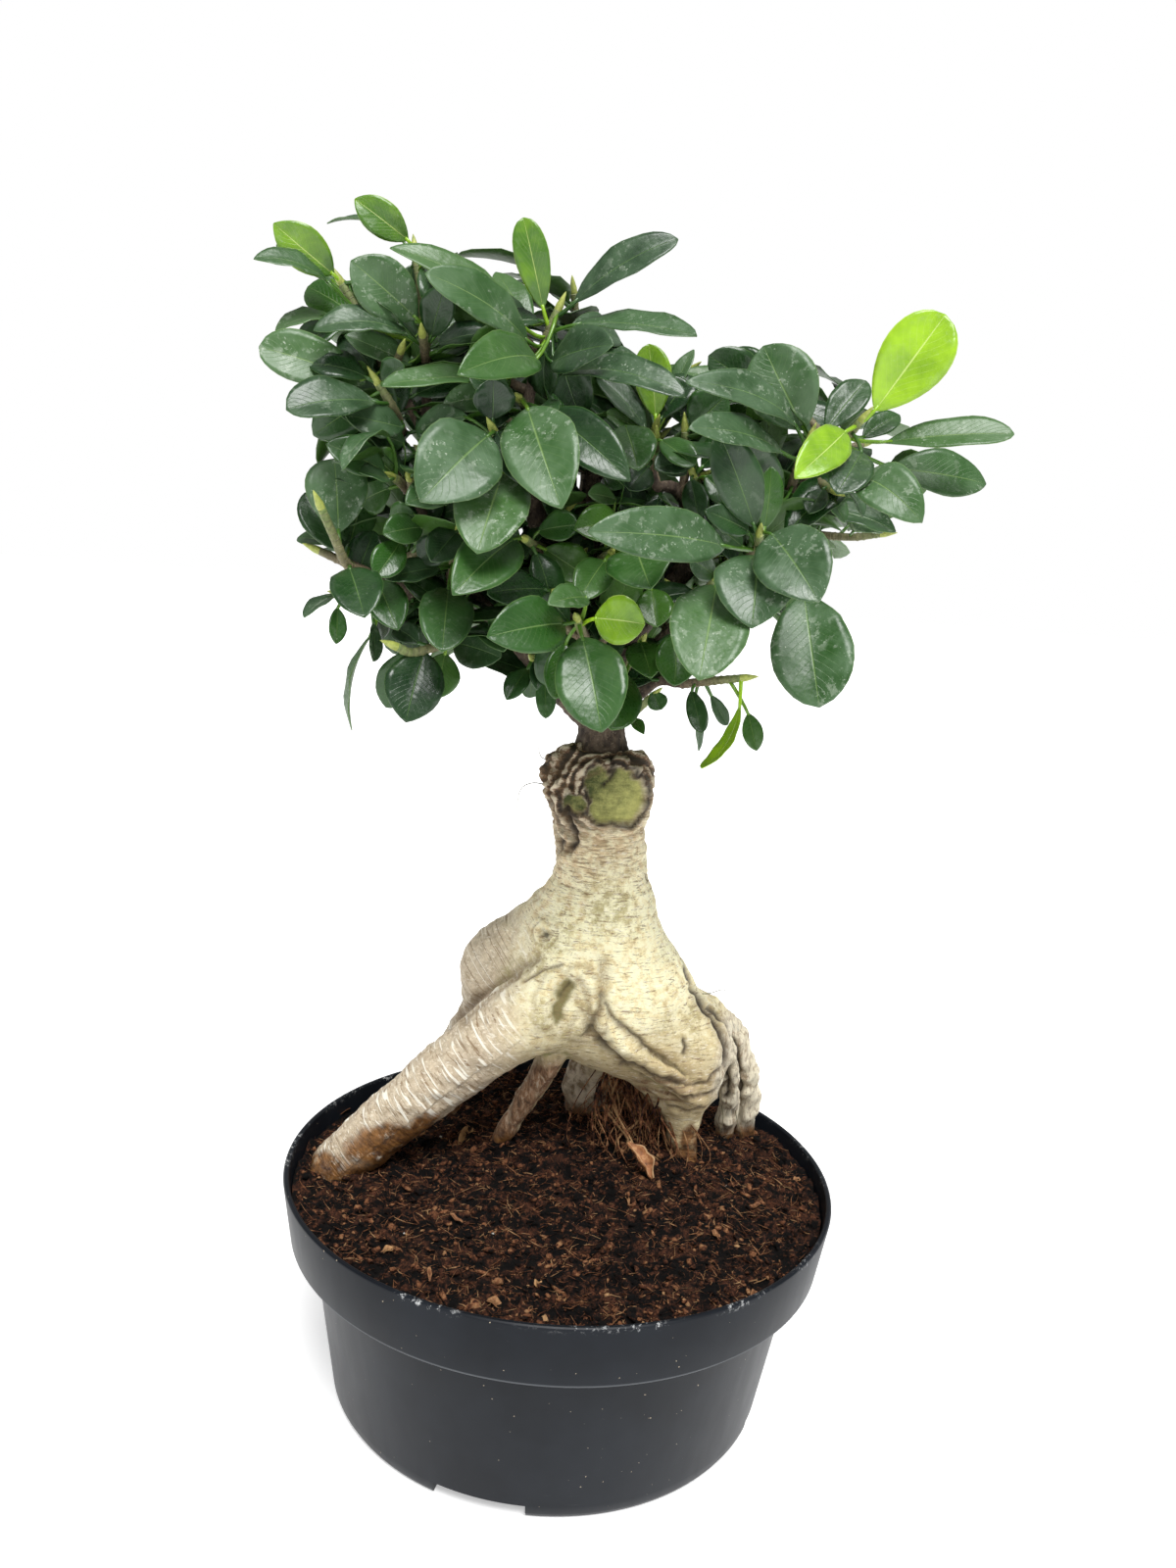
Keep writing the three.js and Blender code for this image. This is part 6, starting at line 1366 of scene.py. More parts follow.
class Bark:
    """The rise of each corner of the bark in millimetres, and its paint values, built up in turn."""

    def __init__(self, corners, normals):
        self.corners, self.normals = corners, normals
        self.spots = np.column_stack(seen_at(corners))
        to_view = VIEW_PLACE - corners
        towards = np.einsum("ij,ij->i", normals, to_view) / np.linalg.norm(to_view, axis=1)
        self.facing = smooth(0.05, 0.35, towards)
        self.large = lumps(corners, 17.0)
        self.medium = lumps(corners, 7.0, 3.0)
        self.small = lumps(corners, 3.2, 7.0)
        self.rise = 0.8 * self.large + 0.5 * self.medium + 0.22 * self.small
        # Marks wander with the noise, so that no groove or ridge runs smooth
        other = lumps(corners, 5.0, 17.0)
        self.spots = self.spots + np.column_stack([
            3.2 * self.medium + 1.2 * self.small, 3.2 * other - 1.2 * self.small])
        # Some of these hold painted shade: the low places, the valleys and part of the cracks
        names = (
            "fibre", "strand", "scar", "scar_light", "crack", "low", "hollow", "grey", "wet", "white",
            "flaky", "brown", "valley", "neck", "belly")
        self.values = {name: np.zeros(len(corners)) for name in names}

    def darken(self, name, amount):
        self.values[name] = np.maximum(self.values[name], np.clip(amount, 0, 1))

    def off(self, path):
        """How far the corners lie from a path in the picture, in millimetres."""
        least = np.full(len(self.spots), 1e9)
        for start, end in zip(np.array(path[:-1], float), np.array(path[1:], float)):
            way = end - start
            share = np.clip((self.spots - start) @ way / (way @ way), 0, 1)
            least = np.minimum(least, np.linalg.norm(self.spots - start - share[:, None] * way, axis=1))
        return least * MM_A_PIXEL

    def oval(self, across, down, half_across, half_down):
        """Below one inside an oval in the picture."""
        return np.hypot((self.spots[:, 0] - across) / half_across, (self.spots[:, 1] - down) / half_down)

    def shade_hollows(self, mesh):
        """Valleys between the lobes are painted browner than the swells, a painted shade in the hollows."""
        ends = np.empty(len(mesh.edges) * 2, dtype=int)
        mesh.edges.foreach_get("vertices", ends)
        first, second = ends[::2], ends[1::2]
        joined = np.bincount(ends, minlength=len(self.corners))[:, None]
        even = self.corners.copy()
        for _ in range(VALLEY_ROUNDS):
            total = np.zeros_like(even)
            for axis in range(3):
                total[:, axis] = (np.bincount(first, even[second, axis], len(even))
                                  + np.bincount(second, even[first, axis], len(even)))
            even = total / joined
        depth = np.einsum("ij,ij->i", even - self.corners, self.normals)
        self.darken("valley", smooth(*VALLEY_DEPTH, depth + 0.12 * self.medium))

    def neck(self):
        """The rough, fibrous top of the neck, its strands curling round the large scar."""
        left, right = (sight((across, down, 0)) for across, down in FIBRE_EDGE)
        edge = left[2] + (right[2] - left[2]) * (self.corners[:, 0] - left[0]) / (right[0] - left[0])
        edge = np.clip(edge, min(left[2], right[2]) - 3, max(left[2], right[2]) + 3)
        above = self.corners[:, 2] - edge - 5 * self.medium - 3 * self.large
        fibre = smooth(-4, 9, above)
        across, down, half_across, half_down = SCARS["large_right"]
        ring = self.oval(across - STRAND_RING_SHIFT, down, half_across * 1.3, half_down)
        strands = np.sin(2 * np.pi * (ring * 3.4 + 0.9 * self.medium + 0.35 * self.small))
        strands *= 0.6 * self.facing
        strands += (1.15 - 0.4 * self.facing) * lumps(self.corners, 2.6, 21.0, (0.5, 0.5, 1.4))
        self.rise += fibre * (1.15 * strands + 0.7 * self.small)
        self.values["fibre"] = fibre * (0.60 + 0.35 * smooth(6, 22, above))
        self.values["strand"] = np.clip(0.5 + 0.5 * strands, 0, 1)
        self.values["neck"] = smooth(-38, 4, above)

    def wrinkles(self):
        """Level wrinkles on the trunk, finer below the neck, and rings round the left root."""
        level = lumps(self.corners, 3.4, 31.0, (0.22, 0.22, 1.5))
        folds = 1 - np.abs(lumps(self.corners, 6.5, 41.0, (0.35, 0.35, 1.5))) * 2
        high = smooth(175, 225, self.corners[:, 2])
        grey = self.values["grey"]
        self.rise += (1 - grey) * ((0.35 + 0.35 * high) * level + 0.45 * high * folds)
        start, end = (sight(place) for place in LEFT_ROOT_AXIS)
        axis = unit(end - start)
        self.along_root = (self.corners - start) @ axis
        off_axis = self.corners - start - np.outer(self.along_root, axis)
        turn = np.arctan2(off_axis[:, 2], off_axis[:, 1])
        self.round_root = 14.0 * turn
        unrolled = np.column_stack([self.along_root, self.round_root, self.large * 2])
        self.rise += grey * 0.38 * lumps(unrolled, 3.0, 51.0, (1.3, 0.3, 1))

    def scars(self):
        """Healed cuts: sunk, smooth and olive, each with a swollen rim and a dark line round it."""
        inside, rim, outline = np.zeros((3, len(self.corners)))
        for across, down, half_across, half_down in SCARS.values():
            reach = self.oval(across, down, half_across, half_down) + 0.12 * self.small
            inside = np.maximum(inside, smooth(1.0, 0.84, reach))
            rim = np.maximum(rim, bell((reach - 1.12) / 0.13))
            outline = np.maximum(outline, bell((reach - 1.03) / 0.07))
        inside *= self.facing
        rim *= self.facing * (1 - inside)
        self.rise += -0.8 * self.rise * inside - 1.4 * inside + 1.5 * rim + 0.25 * inside * self.small
        self.darken("scar", inside)
        # Painted highlight: lighter towards the lower right of the scars
        light = (self.spots - np.array(SCAR_HIGHLIGHT_FROM)) / np.array(SCAR_HIGHLIGHT_REACH)
        self.values["scar_light"] = np.clip((light[:, 0] + light[:, 1]) / 2, 0, 1)
        self.darken("crack", 0.95 * outline * self.facing * (1 - smooth(0.6, 1, inside)))

    def marks(self):
        """The grooves, ridges, notch and lumps that the picture shows."""
        for path, half_width, depth, dark in GROOVES.values():
            groove = bell(self.off(path) / (half_width * (1 + 0.35 * self.small))) * self.facing
            self.rise -= depth * groove
            # Painted dark down the groove, partly painted shade
            self.darken("crack", dark * groove ** 1.3)
            # Painted shade: a browner band down the groove's sides
            self.darken("low", 0.8 * groove ** 0.5)
        for path, half_width, height in RIDGES.values():
            away = self.off(path) / half_width
            self.rise += height * bell(away) * self.facing * (1 + 0.3 * self.small)
            # Painted shade: a brown line along each foot of the ridge
            self.darken("low", 0.55 * bell((away - 1.7) / 0.45) * self.facing)
        notch = bell(self.off(NOTCH) / 0.9) * self.facing
        self.rise -= 1.5 * notch
        self.darken("crack", notch)
        for across, down, radius in RIDGE_LUMPS:
            self.rise += 1.1 * bell(self.oval(across, down, radius, radius)) * self.facing

    def knots(self):
        """The ringed knot on the belly, the swirl on the neck and the green of the hollow."""
        knot = self.oval(KNOT[0], KNOT[1], KNOT[2], KNOT[2] * 1.1) + 0.12 * self.small
        rings = smooth(1.9, 0.8, knot) * self.facing
        curls = np.sin(knot * 11 + 2 * self.medium)
        self.rise += rings * (0.9 + 0.55 * curls - 2.2 * bell(knot / 0.30))
        self.darken("crack", 0.9 * rings * bell(knot / 0.26))
        # Painted shade in the knot's ring troughs
        self.darken("low", 0.7 * rings * smooth(-0.2, -0.9, curls))
        swirl = self.oval(*SWIRL) + 0.12 * self.small
        ring = smooth(1.25, 0.8, swirl) * self.facing
        curls = np.sin(swirl * 15 + 2 * self.medium)
        self.rise += ring * (0.8 + 1.0 * curls)
        # Painted shade in the swirl's troughs
        self.darken("low", ring * smooth(0.1, -0.7, curls))
        slot, half_width, _, _ = GROOVES["hollow"]
        inside = bell(self.off(slot) / (half_width * (1 + 0.5 * self.small)))
        self.darken("hollow", 0.9 * smooth(0.2, 0.7, inside) * self.facing)

    def flakes(self):
        """The craggy right roots: peeling bark with dark gaps between its strips."""
        across, down = self.spots.T
        from_across, from_down = FLAKY_FROM
        slanted = across - from_across - FLAKY_SLANT * (FLAKY_SLANT_DOWN - down)
        flaky = smooth(-4, 8, slanted) * smooth(from_down - 14, from_down + 12, down)
        (prop_across, prop_down), slope, half_widths, begins = PROP_ROOT
        off_prop = across - prop_across + slope * (down - prop_down)
        thin = smooth(*half_widths, np.abs(off_prop) * MM_A_PIXEL) * (smooth(*begins, down) * self.facing)
        strips = lumps(self.corners, 3.6, 61.0, (1.3, 1.3, 0.28))
        crags = 1 - 2.4 * np.abs(lumps(self.corners, 5.0, 71.0, (1, 1, 0.45)))
        self.rise += flaky * (1.3 * strips + 1.1 * crags - 0.3)
        self.rise += thin * strips
        self.darken("flaky", 0.85 * flaky)
        self.darken("flaky", 0.3 * thin)
        self.darken("brown", thin * smooth(-1.4, -0.3, strips))
        creased = lumps(self.corners, 2.6, 81.0, (0.3, 0.3, 1.5))
        # Painted shade: brown creases where the lobe laps over the foot
        lap_shade = smooth(1.3, 0.5, self.oval(*LOBE_SHADOW)) * self.facing
        self.darken("brown", lap_shade * smooth(-0.5, 0.5, creased))
        # Painted shade in the dark gaps between the strips
        self.darken("crack", 0.6 * flaky * smooth(-0.15, -0.45, strips * 0.6 + crags * 0.25))

    def ends(self):
        """Wet bark close to the soil, stains, the tan belly and the chalky rear root."""
        x, y, z = self.corners.T
        self.darken("wet", smooth(12 + 8 * self.large, 3, z - soil_height(x, y)))
        for stain in STAINS:
            self.darken("wet", smooth(1.15, 0.75, self.oval(*stain) + 0.3 * self.medium))
        self.darken("belly", smooth(178, 132, z + 5 * self.large))
        rear = smooth(20, 30, y) * smooth(1.15, 0.7, self.oval(*REAR_ROOT))
        self.rise += rear * (1.1 * self.large + 0.8 * self.medium)
        self.darken("white", 0.85 * rear)


def rootstock_piece():
    piece = skinned_copy("rootstock", BARK_VOXEL, BARK_ROUNDS)
    mesh = piece.data
    bark = Bark(corners_of(mesh) / MM, corners_of(mesh, "normal"))
    behind = smooth(34, 52, bark.corners[:, 1]) * smooth(215, 185, bark.corners[:, 2])
    bark.values["grey"] = np.maximum(smooth(-9, -36, bark.corners[:, 0] + 4 * bark.medium), 0.45 * behind)
    bark.shade_hollows(mesh)
    for carve in (bark.neck, bark.wrinkles, bark.scars, bark.marks, bark.knots, bark.flakes, bark.ends):
        carve()
    set_corners(mesh, (bark.corners + bark.normals * bark.rise[:, None]) * MM)
    bark.values["fibre"] *= 1 - bark.values["scar"]
    for name, values in bark.values.items():
        add_values(mesh, name, values)
    add_values(mesh, "along_root", bark.along_root * MM)
    add_values(mesh, "round_root", bark.round_root * MM)
    mesh.materials.clear()
    mesh.materials.append(rootstock_paint())
    piece.name = mesh.name = "fig_rootstock"
    stand_for(piece, ["rootstock"])


HAIRS = [
    [(705, 1013, 20), (722, 1014, 10), (738, 1010, 4), (748, 1017, 2)],
    [(556, 800, 6), (542, 799, 0), (531, 806, -4), (527, 826, -6)],
    [(560, 776, 4), (552, 772, 0), (549, 762, -2)],
    [(652, 800, 8), (659, 806, 4), (662, 822, 2)],
    [(735, 1122, 30), (738, 1140, 26), (734, 1156, 24)],
    [(748, 1120, 34), (752, 1142, 30), (757, 1160, 30)],
]
HAIR_RADIUS, HAIR_STEP = (0.24, 0.1), 1.5


def hair_piece():
    """Loose root hairs that stand off the bark."""
    shape = Shape()
    for hair in HAIRS:
        path = [sight(place) for place in hair]
        places, widths = smoothed(path, np.linspace(*HAIR_RADIUS, len(path)), HAIR_STEP)
        shape.add_tube(places, widths, 5, tone=0.2)
    shape.stand("loose_root_hairs", [twig_paint()], [], "root_bark")


# The grafted wood

SCION_VOXEL, SCION_ROUNDS = 0.8, 5
SCION_STEP, SCION_SIDES = 1.5, 10
GRAFT_MIDDLE = (2, 12)


def scion_piece():
    shape = Shape()
    for path, radii in BOUGHS:
        shape.add_tube(*smoothed(path, radii, SCION_STEP), SCION_SIDES)
    piece = shape.piece("grafted_wood")
    refine(piece, SCION_VOXEL, SCION_ROUNDS)
    mesh = piece.data
    corners = corners_of(mesh) / MM
    normals = corners_of(mesh, "normal")
    thick = smooth(3, 9, np.linalg.norm(corners[:, :2] - np.array(GRAFT_MIDDLE), axis=1) * -0.06 + 9)
    rise = 0.42 * lumps(corners, 5.5, 11.0) + (0.2 + 0.35 * thick) * lumps(corners, 2.1, 5.0)
    set_corners(mesh, (corners + normals * rise[:, None]) * MM)
    mesh.materials.append(scion_paint())
    stand_for(piece, ["scion_branches"])


# The pot

POT_HEIGHT = 93.4
RIM_RADIUS = 115
COLLAR_BOTTOM = 68.2
COLLAR_RADIUS = 111.4
WALL_TOP_RADIUS = 102.4
FOOT_RADIUS = 90.5
WALL = 1.9
LIP = 2.4
FOOT_RING_WIDTH = 5
FOOT_FLARE, FOOT_FLARE_HEIGHT = 1.3, 2.5
COLLAR_STEP = 0.8
FLOOR_RAISE, FLOOR_THICK, FLOOR_SLOPE = 6, 2, 1.5
DRAIN_RADIUS, DRAIN_COUNT, DRAIN_CIRCLE = 5, 6, 52
NOTCH_WIDTH, NOTCH_DEPTH, NOTCH_HEIGHT = 36, 24, 5.5
NOTCH_COUNT, NOTCH_TURN = 4, 1.31
POT_SEGMENTS = 160
DRAIN_SEGMENTS = 32
POT_SHARP_ANGLE = 28


def lathe(name, rings):
    """A round body raised ring by ring from a filled circle: each ring is [radius, height]."""
    clear_selection()
    radius, height = rings[0]
    bpy.ops.mesh.primitive_circle_add(
        vertices=POT_SEGMENTS, radius=radius * MM, location=(0, 0, height * MM), fill_type="NGON")
    body = bpy.context.object
    body.name = body.data.name = name
    bpy.ops.object.mode_set(mode="EDIT")
    bpy.ops.mesh.select_mode(type="FACE")
    bpy.ops.mesh.select_all(action="SELECT")
    for new_radius, new_height in rings[1:]:
        bpy.ops.mesh.extrude_region_move(
            TRANSFORM_OT_translate={"value": (0, 0, (new_height - height) * MM)})
        share = new_radius / radius
        bpy.ops.transform.resize(value=(share, share, 1), center_override=(0, 0, new_height * MM))
        radius, height = new_radius, new_height
    bpy.ops.mesh.select_all(action="SELECT")
    bpy.ops.mesh.normals_make_consistent(inside=False)
    bpy.ops.object.mode_set(mode="OBJECT")
    bpy.ops.object.transform_apply(location=True, rotation=True, scale=True)
    return body


def on_circle(radius, angle, height):
    return radius * MM * math.cos(angle), radius * MM * math.sin(angle), height * MM


def round_cutter(radius, depth, place, sides):
    clear_selection()
    bpy.ops.mesh.primitive_cylinder_add(
        vertices=sides, radius=radius * MM, depth=depth * MM, location=place)
    return bpy.context.object


def cut_away(body, cutters):
    for cutter in cutters:
        cut = body.modifiers.new("cut", "BOOLEAN")
        cut.operation = "DIFFERENCE"
        cut.solver = "EXACT"
        cut.object = cutter
    apply_modifiers(body)
    for cutter in cutters:
        bpy.data.objects.remove(cutter)


def wall_rings():
    """Rings up the wall, close above the notches, so that these do not shade the whole wall."""
    start, end = FOOT_FLARE_HEIGHT, COLLAR_BOTTOM - COLLAR_STEP
    for height in (NOTCH_HEIGHT + 0.4, NOTCH_HEIGHT + 1.2, 20, 36, 52):
        share = (height - start) / (end - start)
        yield FOOT_RADIUS + FOOT_FLARE + (WALL_TOP_RADIUS - FOOT_RADIUS - FOOT_FLARE) * share, height


def pot_piece():
    half_lip = LIP / 2
    turn = [(math.cos(angle), math.sin(angle)) for angle in np.radians([0, 30, 60, 90, 120, 150, 180])]
    lip = [(RIM_RADIUS - half_lip + half_lip * c, POT_HEIGHT - half_lip + half_lip * s) for c, s in turn]
    outside = [
        (FOOT_RADIUS - FOOT_RING_WIDTH, 0),
        (FOOT_RADIUS - 0.5, 0),
        (FOOT_RADIUS, 0.4),
        (FOOT_RADIUS + FOOT_FLARE, FOOT_FLARE_HEIGHT),
        *wall_rings(),
        (WALL_TOP_RADIUS, COLLAR_BOTTOM - COLLAR_STEP),
        (COLLAR_RADIUS - 0.7, COLLAR_BOTTOM - 0.1),
        (COLLAR_RADIUS, COLLAR_BOTTOM + 0.6),
    ]
    inside = [
        (COLLAR_RADIUS - WALL, COLLAR_BOTTOM + WALL),
        (WALL_TOP_RADIUS - WALL, COLLAR_BOTTOM - COLLAR_STEP + WALL),
        (FOOT_RADIUS + FOOT_FLARE - WALL, FLOOR_RAISE + FLOOR_THICK),
    ]
    pot = lathe("nursery_pot", outside + lip + inside)
    hollow = FOOT_RADIUS - FOOT_RING_WIDTH - FLOOR_SLOPE
    cutters = [round_cutter(hollow, 2 * FLOOR_RAISE, (0, 0, 0), POT_SEGMENTS)]
    for k in range(DRAIN_COUNT):
        place = on_circle(DRAIN_CIRCLE, k / DRAIN_COUNT * 2 * math.pi, FLOOR_RAISE)
        cutters.append(round_cutter(DRAIN_RADIUS, 4 * FLOOR_RAISE, place, DRAIN_SEGMENTS))
    for k in range(NOTCH_COUNT):
        angle = NOTCH_TURN + k / NOTCH_COUNT * 2 * math.pi
        clear_selection()
        bpy.ops.mesh.primitive_cube_add(
            size=1, location=on_circle(FOOT_RADIUS, angle, 0), rotation=(0, 0, angle),
            scale=(NOTCH_DEPTH * MM, NOTCH_WIDTH * MM, 2 * NOTCH_HEIGHT * MM))
        cutters.append(bpy.context.object)
    cut_away(pot, cutters)
    make_active(pot)
    bpy.ops.object.shade_smooth_by_angle(angle=math.radians(POT_SHARP_ANGLE))
    pot.data.materials.clear()
    pot.data.materials.append(pot_paint())
    stand_for(pot, ["pot"])


# The soil

SOIL_AT_WALL = 86
MOUND = {"height": 11, "spread": 62, "x": 12, "y": 22}
HOLLOW_BEHIND = {"height": -4, "spread": 45, "x": -70, "y": 60}
LARGE_CLODS = {"height": 1.1, "across": 48, "back": 39, "turn": 1.2}
SMALL_CLODS = {"height": 0.7, "across": 20, "back": 23}
SOIL_EDGE = 111.2
SOIL_FLOOR = FLOOR_RAISE + FLOOR_THICK + 0.3
SOIL_RINGS = 120
# Small heaps against the roots: where seen, height and spread
HEAPS = [(sight(place)[:2], height, spread) for place, height, spread in (
    ((622, 1168, 40), 6.0, 18), ((664, 1172, 26), 9.0, 15), ((512, 1168, 12), 2.5, 10),
    ((735, 1180, 30), 3.0, 14), ((400, 1196, 0), 2.0, 14))]
SOIL_SEGMENTS = 320
# Rough noise on the soil: height, size and shift in millimetres
CRUMBLES = ((2.0, 6.0, 0), (1.6, 2.2, 9), (0.8, 1.2, 19))


def swell(x, y, spot):
    return spot["height"] * np.exp(-((x - spot["x"]) ** 2 + (y - spot["y"]) ** 2) / spot["spread"] ** 2)


def soil_height(x, y):
    turn = 2 * np.pi
    large = (np.sin(turn * x / LARGE_CLODS["across"] + LARGE_CLODS["turn"])
             * np.cos(turn * y / LARGE_CLODS["back"]))
    small = np.sin(turn * x / SMALL_CLODS["across"] + turn * y / SMALL_CLODS["back"])
    return (SOIL_AT_WALL + swell(x, y, MOUND) + swell(x, y, HOLLOW_BEHIND)
            + LARGE_CLODS["height"] * large + SMALL_CLODS["height"] * small)


def crumbly(x, y):
    """The soil's surface with its crumbs, as one height."""
    spots = [Vector((a, b, 0)) for a, b in zip(x, y)]
    heaps = sum(height * np.exp(-((x - place[0]) ** 2 + (y - place[1]) ** 2) / spread ** 2)
                for place, height, spread in HEAPS)
    level = soil_height(x, y) + heaps
    for height, size, shift in CRUMBLES:
        offset = Vector((shift, 0, 0))
        level = level + height * np.array([noise.noise(spot / size + offset) for spot in spots])
    return level


def soil_piece():
    shape = Shape()
    radii = SOIL_EDGE * np.sqrt(np.linspace(0.0001, 1, SOIL_RINGS))
    turns = np.arange(SOIL_SEGMENTS) * 2 * np.pi / SOIL_SEGMENTS
    x = np.outer(radii, np.cos(turns)).ravel()
    y = np.outer(radii, np.sin(turns)).ravel()
    top = np.column_stack([x, y, crumbly(x, y)])
    ledge = COLLAR_BOTTOM + WALL + 0.6
    side = [(COLLAR_RADIUS - WALL - 0.4, ledge), (WALL_TOP_RADIUS - WALL - 0.6, ledge - 0.9),
            (FOOT_RADIUS - WALL + 0.6, SOIL_FLOOR), (1.0, SOIL_FLOOR)]
    rings = [top]
    for radius, height in side:
        rings.append(np.column_stack([
            radius * np.cos(turns), radius * np.sin(turns), np.full(SOIL_SEGMENTS, height)]))
    corners = np.vstack(rings)
    faces = []
    for i in range(SOIL_RINGS + len(side) - 1):
        for k in range(SOIL_SEGMENTS):
            a, b = i * SOIL_SEGMENTS + k, i * SOIL_SEGMENTS + (k + 1) % SOIL_SEGMENTS
            faces.append([a, a + SOIL_SEGMENTS, b + SOIL_SEGMENTS, b])
    faces.append(list(range(SOIL_SEGMENTS)))
    last = (SOIL_RINGS + len(side) - 1) * SOIL_SEGMENTS
    faces.append([last + k for k in range(SOIL_SEGMENTS)][::-1])
    tone = np.full(len(corners), 0.08)
    shape.add(corners, faces, 0, None, tone=tone)
    shape.stand("peat_soil_body", [soil_paint()], ["soil"], "peat_soil")


CRUMB_COUNT = 4200
FIBRE_COUNT = 8200
CRUMB_SEED = 9000
FIBRE_SEED = 20000
CHIP_FLATNESS = 0.45
# The least size and the most that a draw adds to it, in millimetres
CRUMB_SIZE, FIBRE_LENGTH, FIBRE_RADIUS = (0.45, 1.3), (1.8, 6.5), (0.10, 0.17)
CRUMB_GRAIN = (5.1, 7.3, 3.7)
CRUMB_ROUGHNESS = 0.4


def crumb_pattern():
    clear_selection()
    bpy.ops.mesh.primitive_ico_sphere_add(subdivisions=1, radius=1)
    ball = bpy.context.object
    places, faces = corners_of(ball.data), faces_of(ball.data)
    bpy.data.objects.remove(ball)
    return places, faces


def soil_spot(seed):
    """An even draw over the soil's surface."""
    radius = (SOIL_EDGE - 2.0) * math.sqrt(draw(seed))
    turn = 2 * math.pi * draw(seed + 0.5)
    return radius * math.cos(turn), radius * math.sin(turn)


def crumb_shade(kind):
    """Most crumbs are near black, some warm brown, a few tan and very few white."""
    if kind > 0.997:
        return 0.98
    if kind > 0.985:
        return 0.62 + 0.15 * kind
    if kind > 0.55:
        return 0.20 + 0.9 * (kind - 0.55)
    return 0.02 + 0.32 * kind


def strewn(first_seed, count):
    """Even draws over the soil's surface: each one's seed, place and height."""
    seeds = [first_seed + k for k in range(count)]
    spots = np.array([soil_spot(seed) for seed in seeds])
    return zip(seeds, spots, crumbly(spots[:, 0], spots[:, 1]))


def crumbs_piece():
    """Loose crumbs and fibres that cover the soil, a few of them tan or white."""
    shape = Shape()
    places, faces = crumb_pattern()
    for seed, (x, y), z in strewn(CRUMB_SEED, CRUMB_COUNT):
        kind = draw(seed + 0.33)
        size = CRUMB_SIZE[0] + CRUMB_SIZE[1] * draw(seed + 0.21) ** 3
        stretch = np.array([1 + 1.6 * draw(seed + 0.17) ** 2, 1.0, CHIP_FLATNESS + 0.4 * draw(seed + 0.27)])
        lean = Vector((draw(seed) - 0.5, draw(seed + 0.9) - 0.5, 1)).normalized()
        turn = np.array(Matrix.Rotation(2 * math.pi * draw(seed + 0.61), 3, lean))
        waves = np.sin(places @ np.array(CRUMB_GRAIN) + 2 * math.pi * draw(seed + 0.7))
        rough = 1 + CRUMB_ROUGHNESS * waves
        corners = (places * rough[:, None] * stretch * size) @ turn.T
        shape.add(corners + np.array([x, y, z + size * 0.2]), faces, 0, None, tone=crumb_shade(kind))
    for seed, (x, y), z in strewn(FIBRE_SEED, FIBRE_COUNT):
        length = FIBRE_LENGTH[0] + FIBRE_LENGTH[1] * draw(seed + 0.13) ** 2.2
        turn = 2 * math.pi * draw(seed + 0.29)
        heading = np.array([math.cos(turn), math.sin(turn), 0.7 * (draw(seed + 0.37) - 0.3)])
        bend = np.array([-heading[1], heading[0], 0.35]) * length * 0.5 * (draw(seed + 0.43) - 0.5)
        start = np.array([x, y, z + 0.1])
        path = np.array([start, start + heading * length * 0.5 + bend, start + heading * length])
        if np.hypot(path[:, 0], path[:, 1]).max() > SOIL_EDGE - 1:
            continue
        thick = FIBRE_RADIUS[0] + FIBRE_RADIUS[1] * draw(seed + 0.53) ** 2
        widths = np.array([thick, thick, thick * 0.4])
        shape.add_tube(path, widths, 3, tone=0.20 + 0.66 * draw(seed + 0.67) ** 1.5)
    shape.stand("peat_crumbs_and_fibres", [soil_paint()], [], "peat_soil")


# Bark chips on the soil: where seen, length and width in millimetres, heading in degrees and shade
CHIPS = [
    (474, 1163, 19, 8, 75, 0.86), (345, 1137, 17, 9, 35, 0.50), (505, 1332, 9, 5, 160, 0.66),
    (572, 1330, 8, 4, 60, 0.70), (396, 1277, 7, 4, 20, 0.74), (640, 1225, 8, 2.4, 100, 0.62),
    (730, 1262, 7, 3.5, 120, 0.60), (770, 1232, 8, 3, 15, 0.56), (548, 1312, 5, 4, 80, 0.80),
    (690, 1318, 8, 3, 140, 0.58), (812, 1206, 6, 4, 30, 0.64), (438, 1302, 8, 2.6, 100, 0.60),
    (600, 1290, 7, 2.5, 10, 0.55), (465, 1245, 9, 2.6, 150, 0.58), (768, 1322, 6, 3, 60, 0.62),
]
CHIP_CURL = 1.3
CHIP_SCALE = 0.72


def curled(start, ways, run, angle, depth, lift):
    """A blade curled about its length: for each corner how far it runs along, turns and lifts."""
    along, side, face = ways
    return (start + np.outer(run, along) + np.outer(np.sin(angle) * depth, side)
            + np.outer((1 - np.cos(angle)) * depth + lift, face))


def on_soil(across, down):
    """The point of the soil that is seen at a place in the picture."""
    ray = unit(ray_at(across, down))
    spot = VIEW_PLACE + ray * (SOIL_AT_WALL - VIEW_PLACE[2]) / ray[2]
    for _ in range(4):
        height = crumbly(spot[:1], spot[1:2])[0]
        spot = VIEW_PLACE + ray * (height - VIEW_PLACE[2]) / ray[2]
    return spot


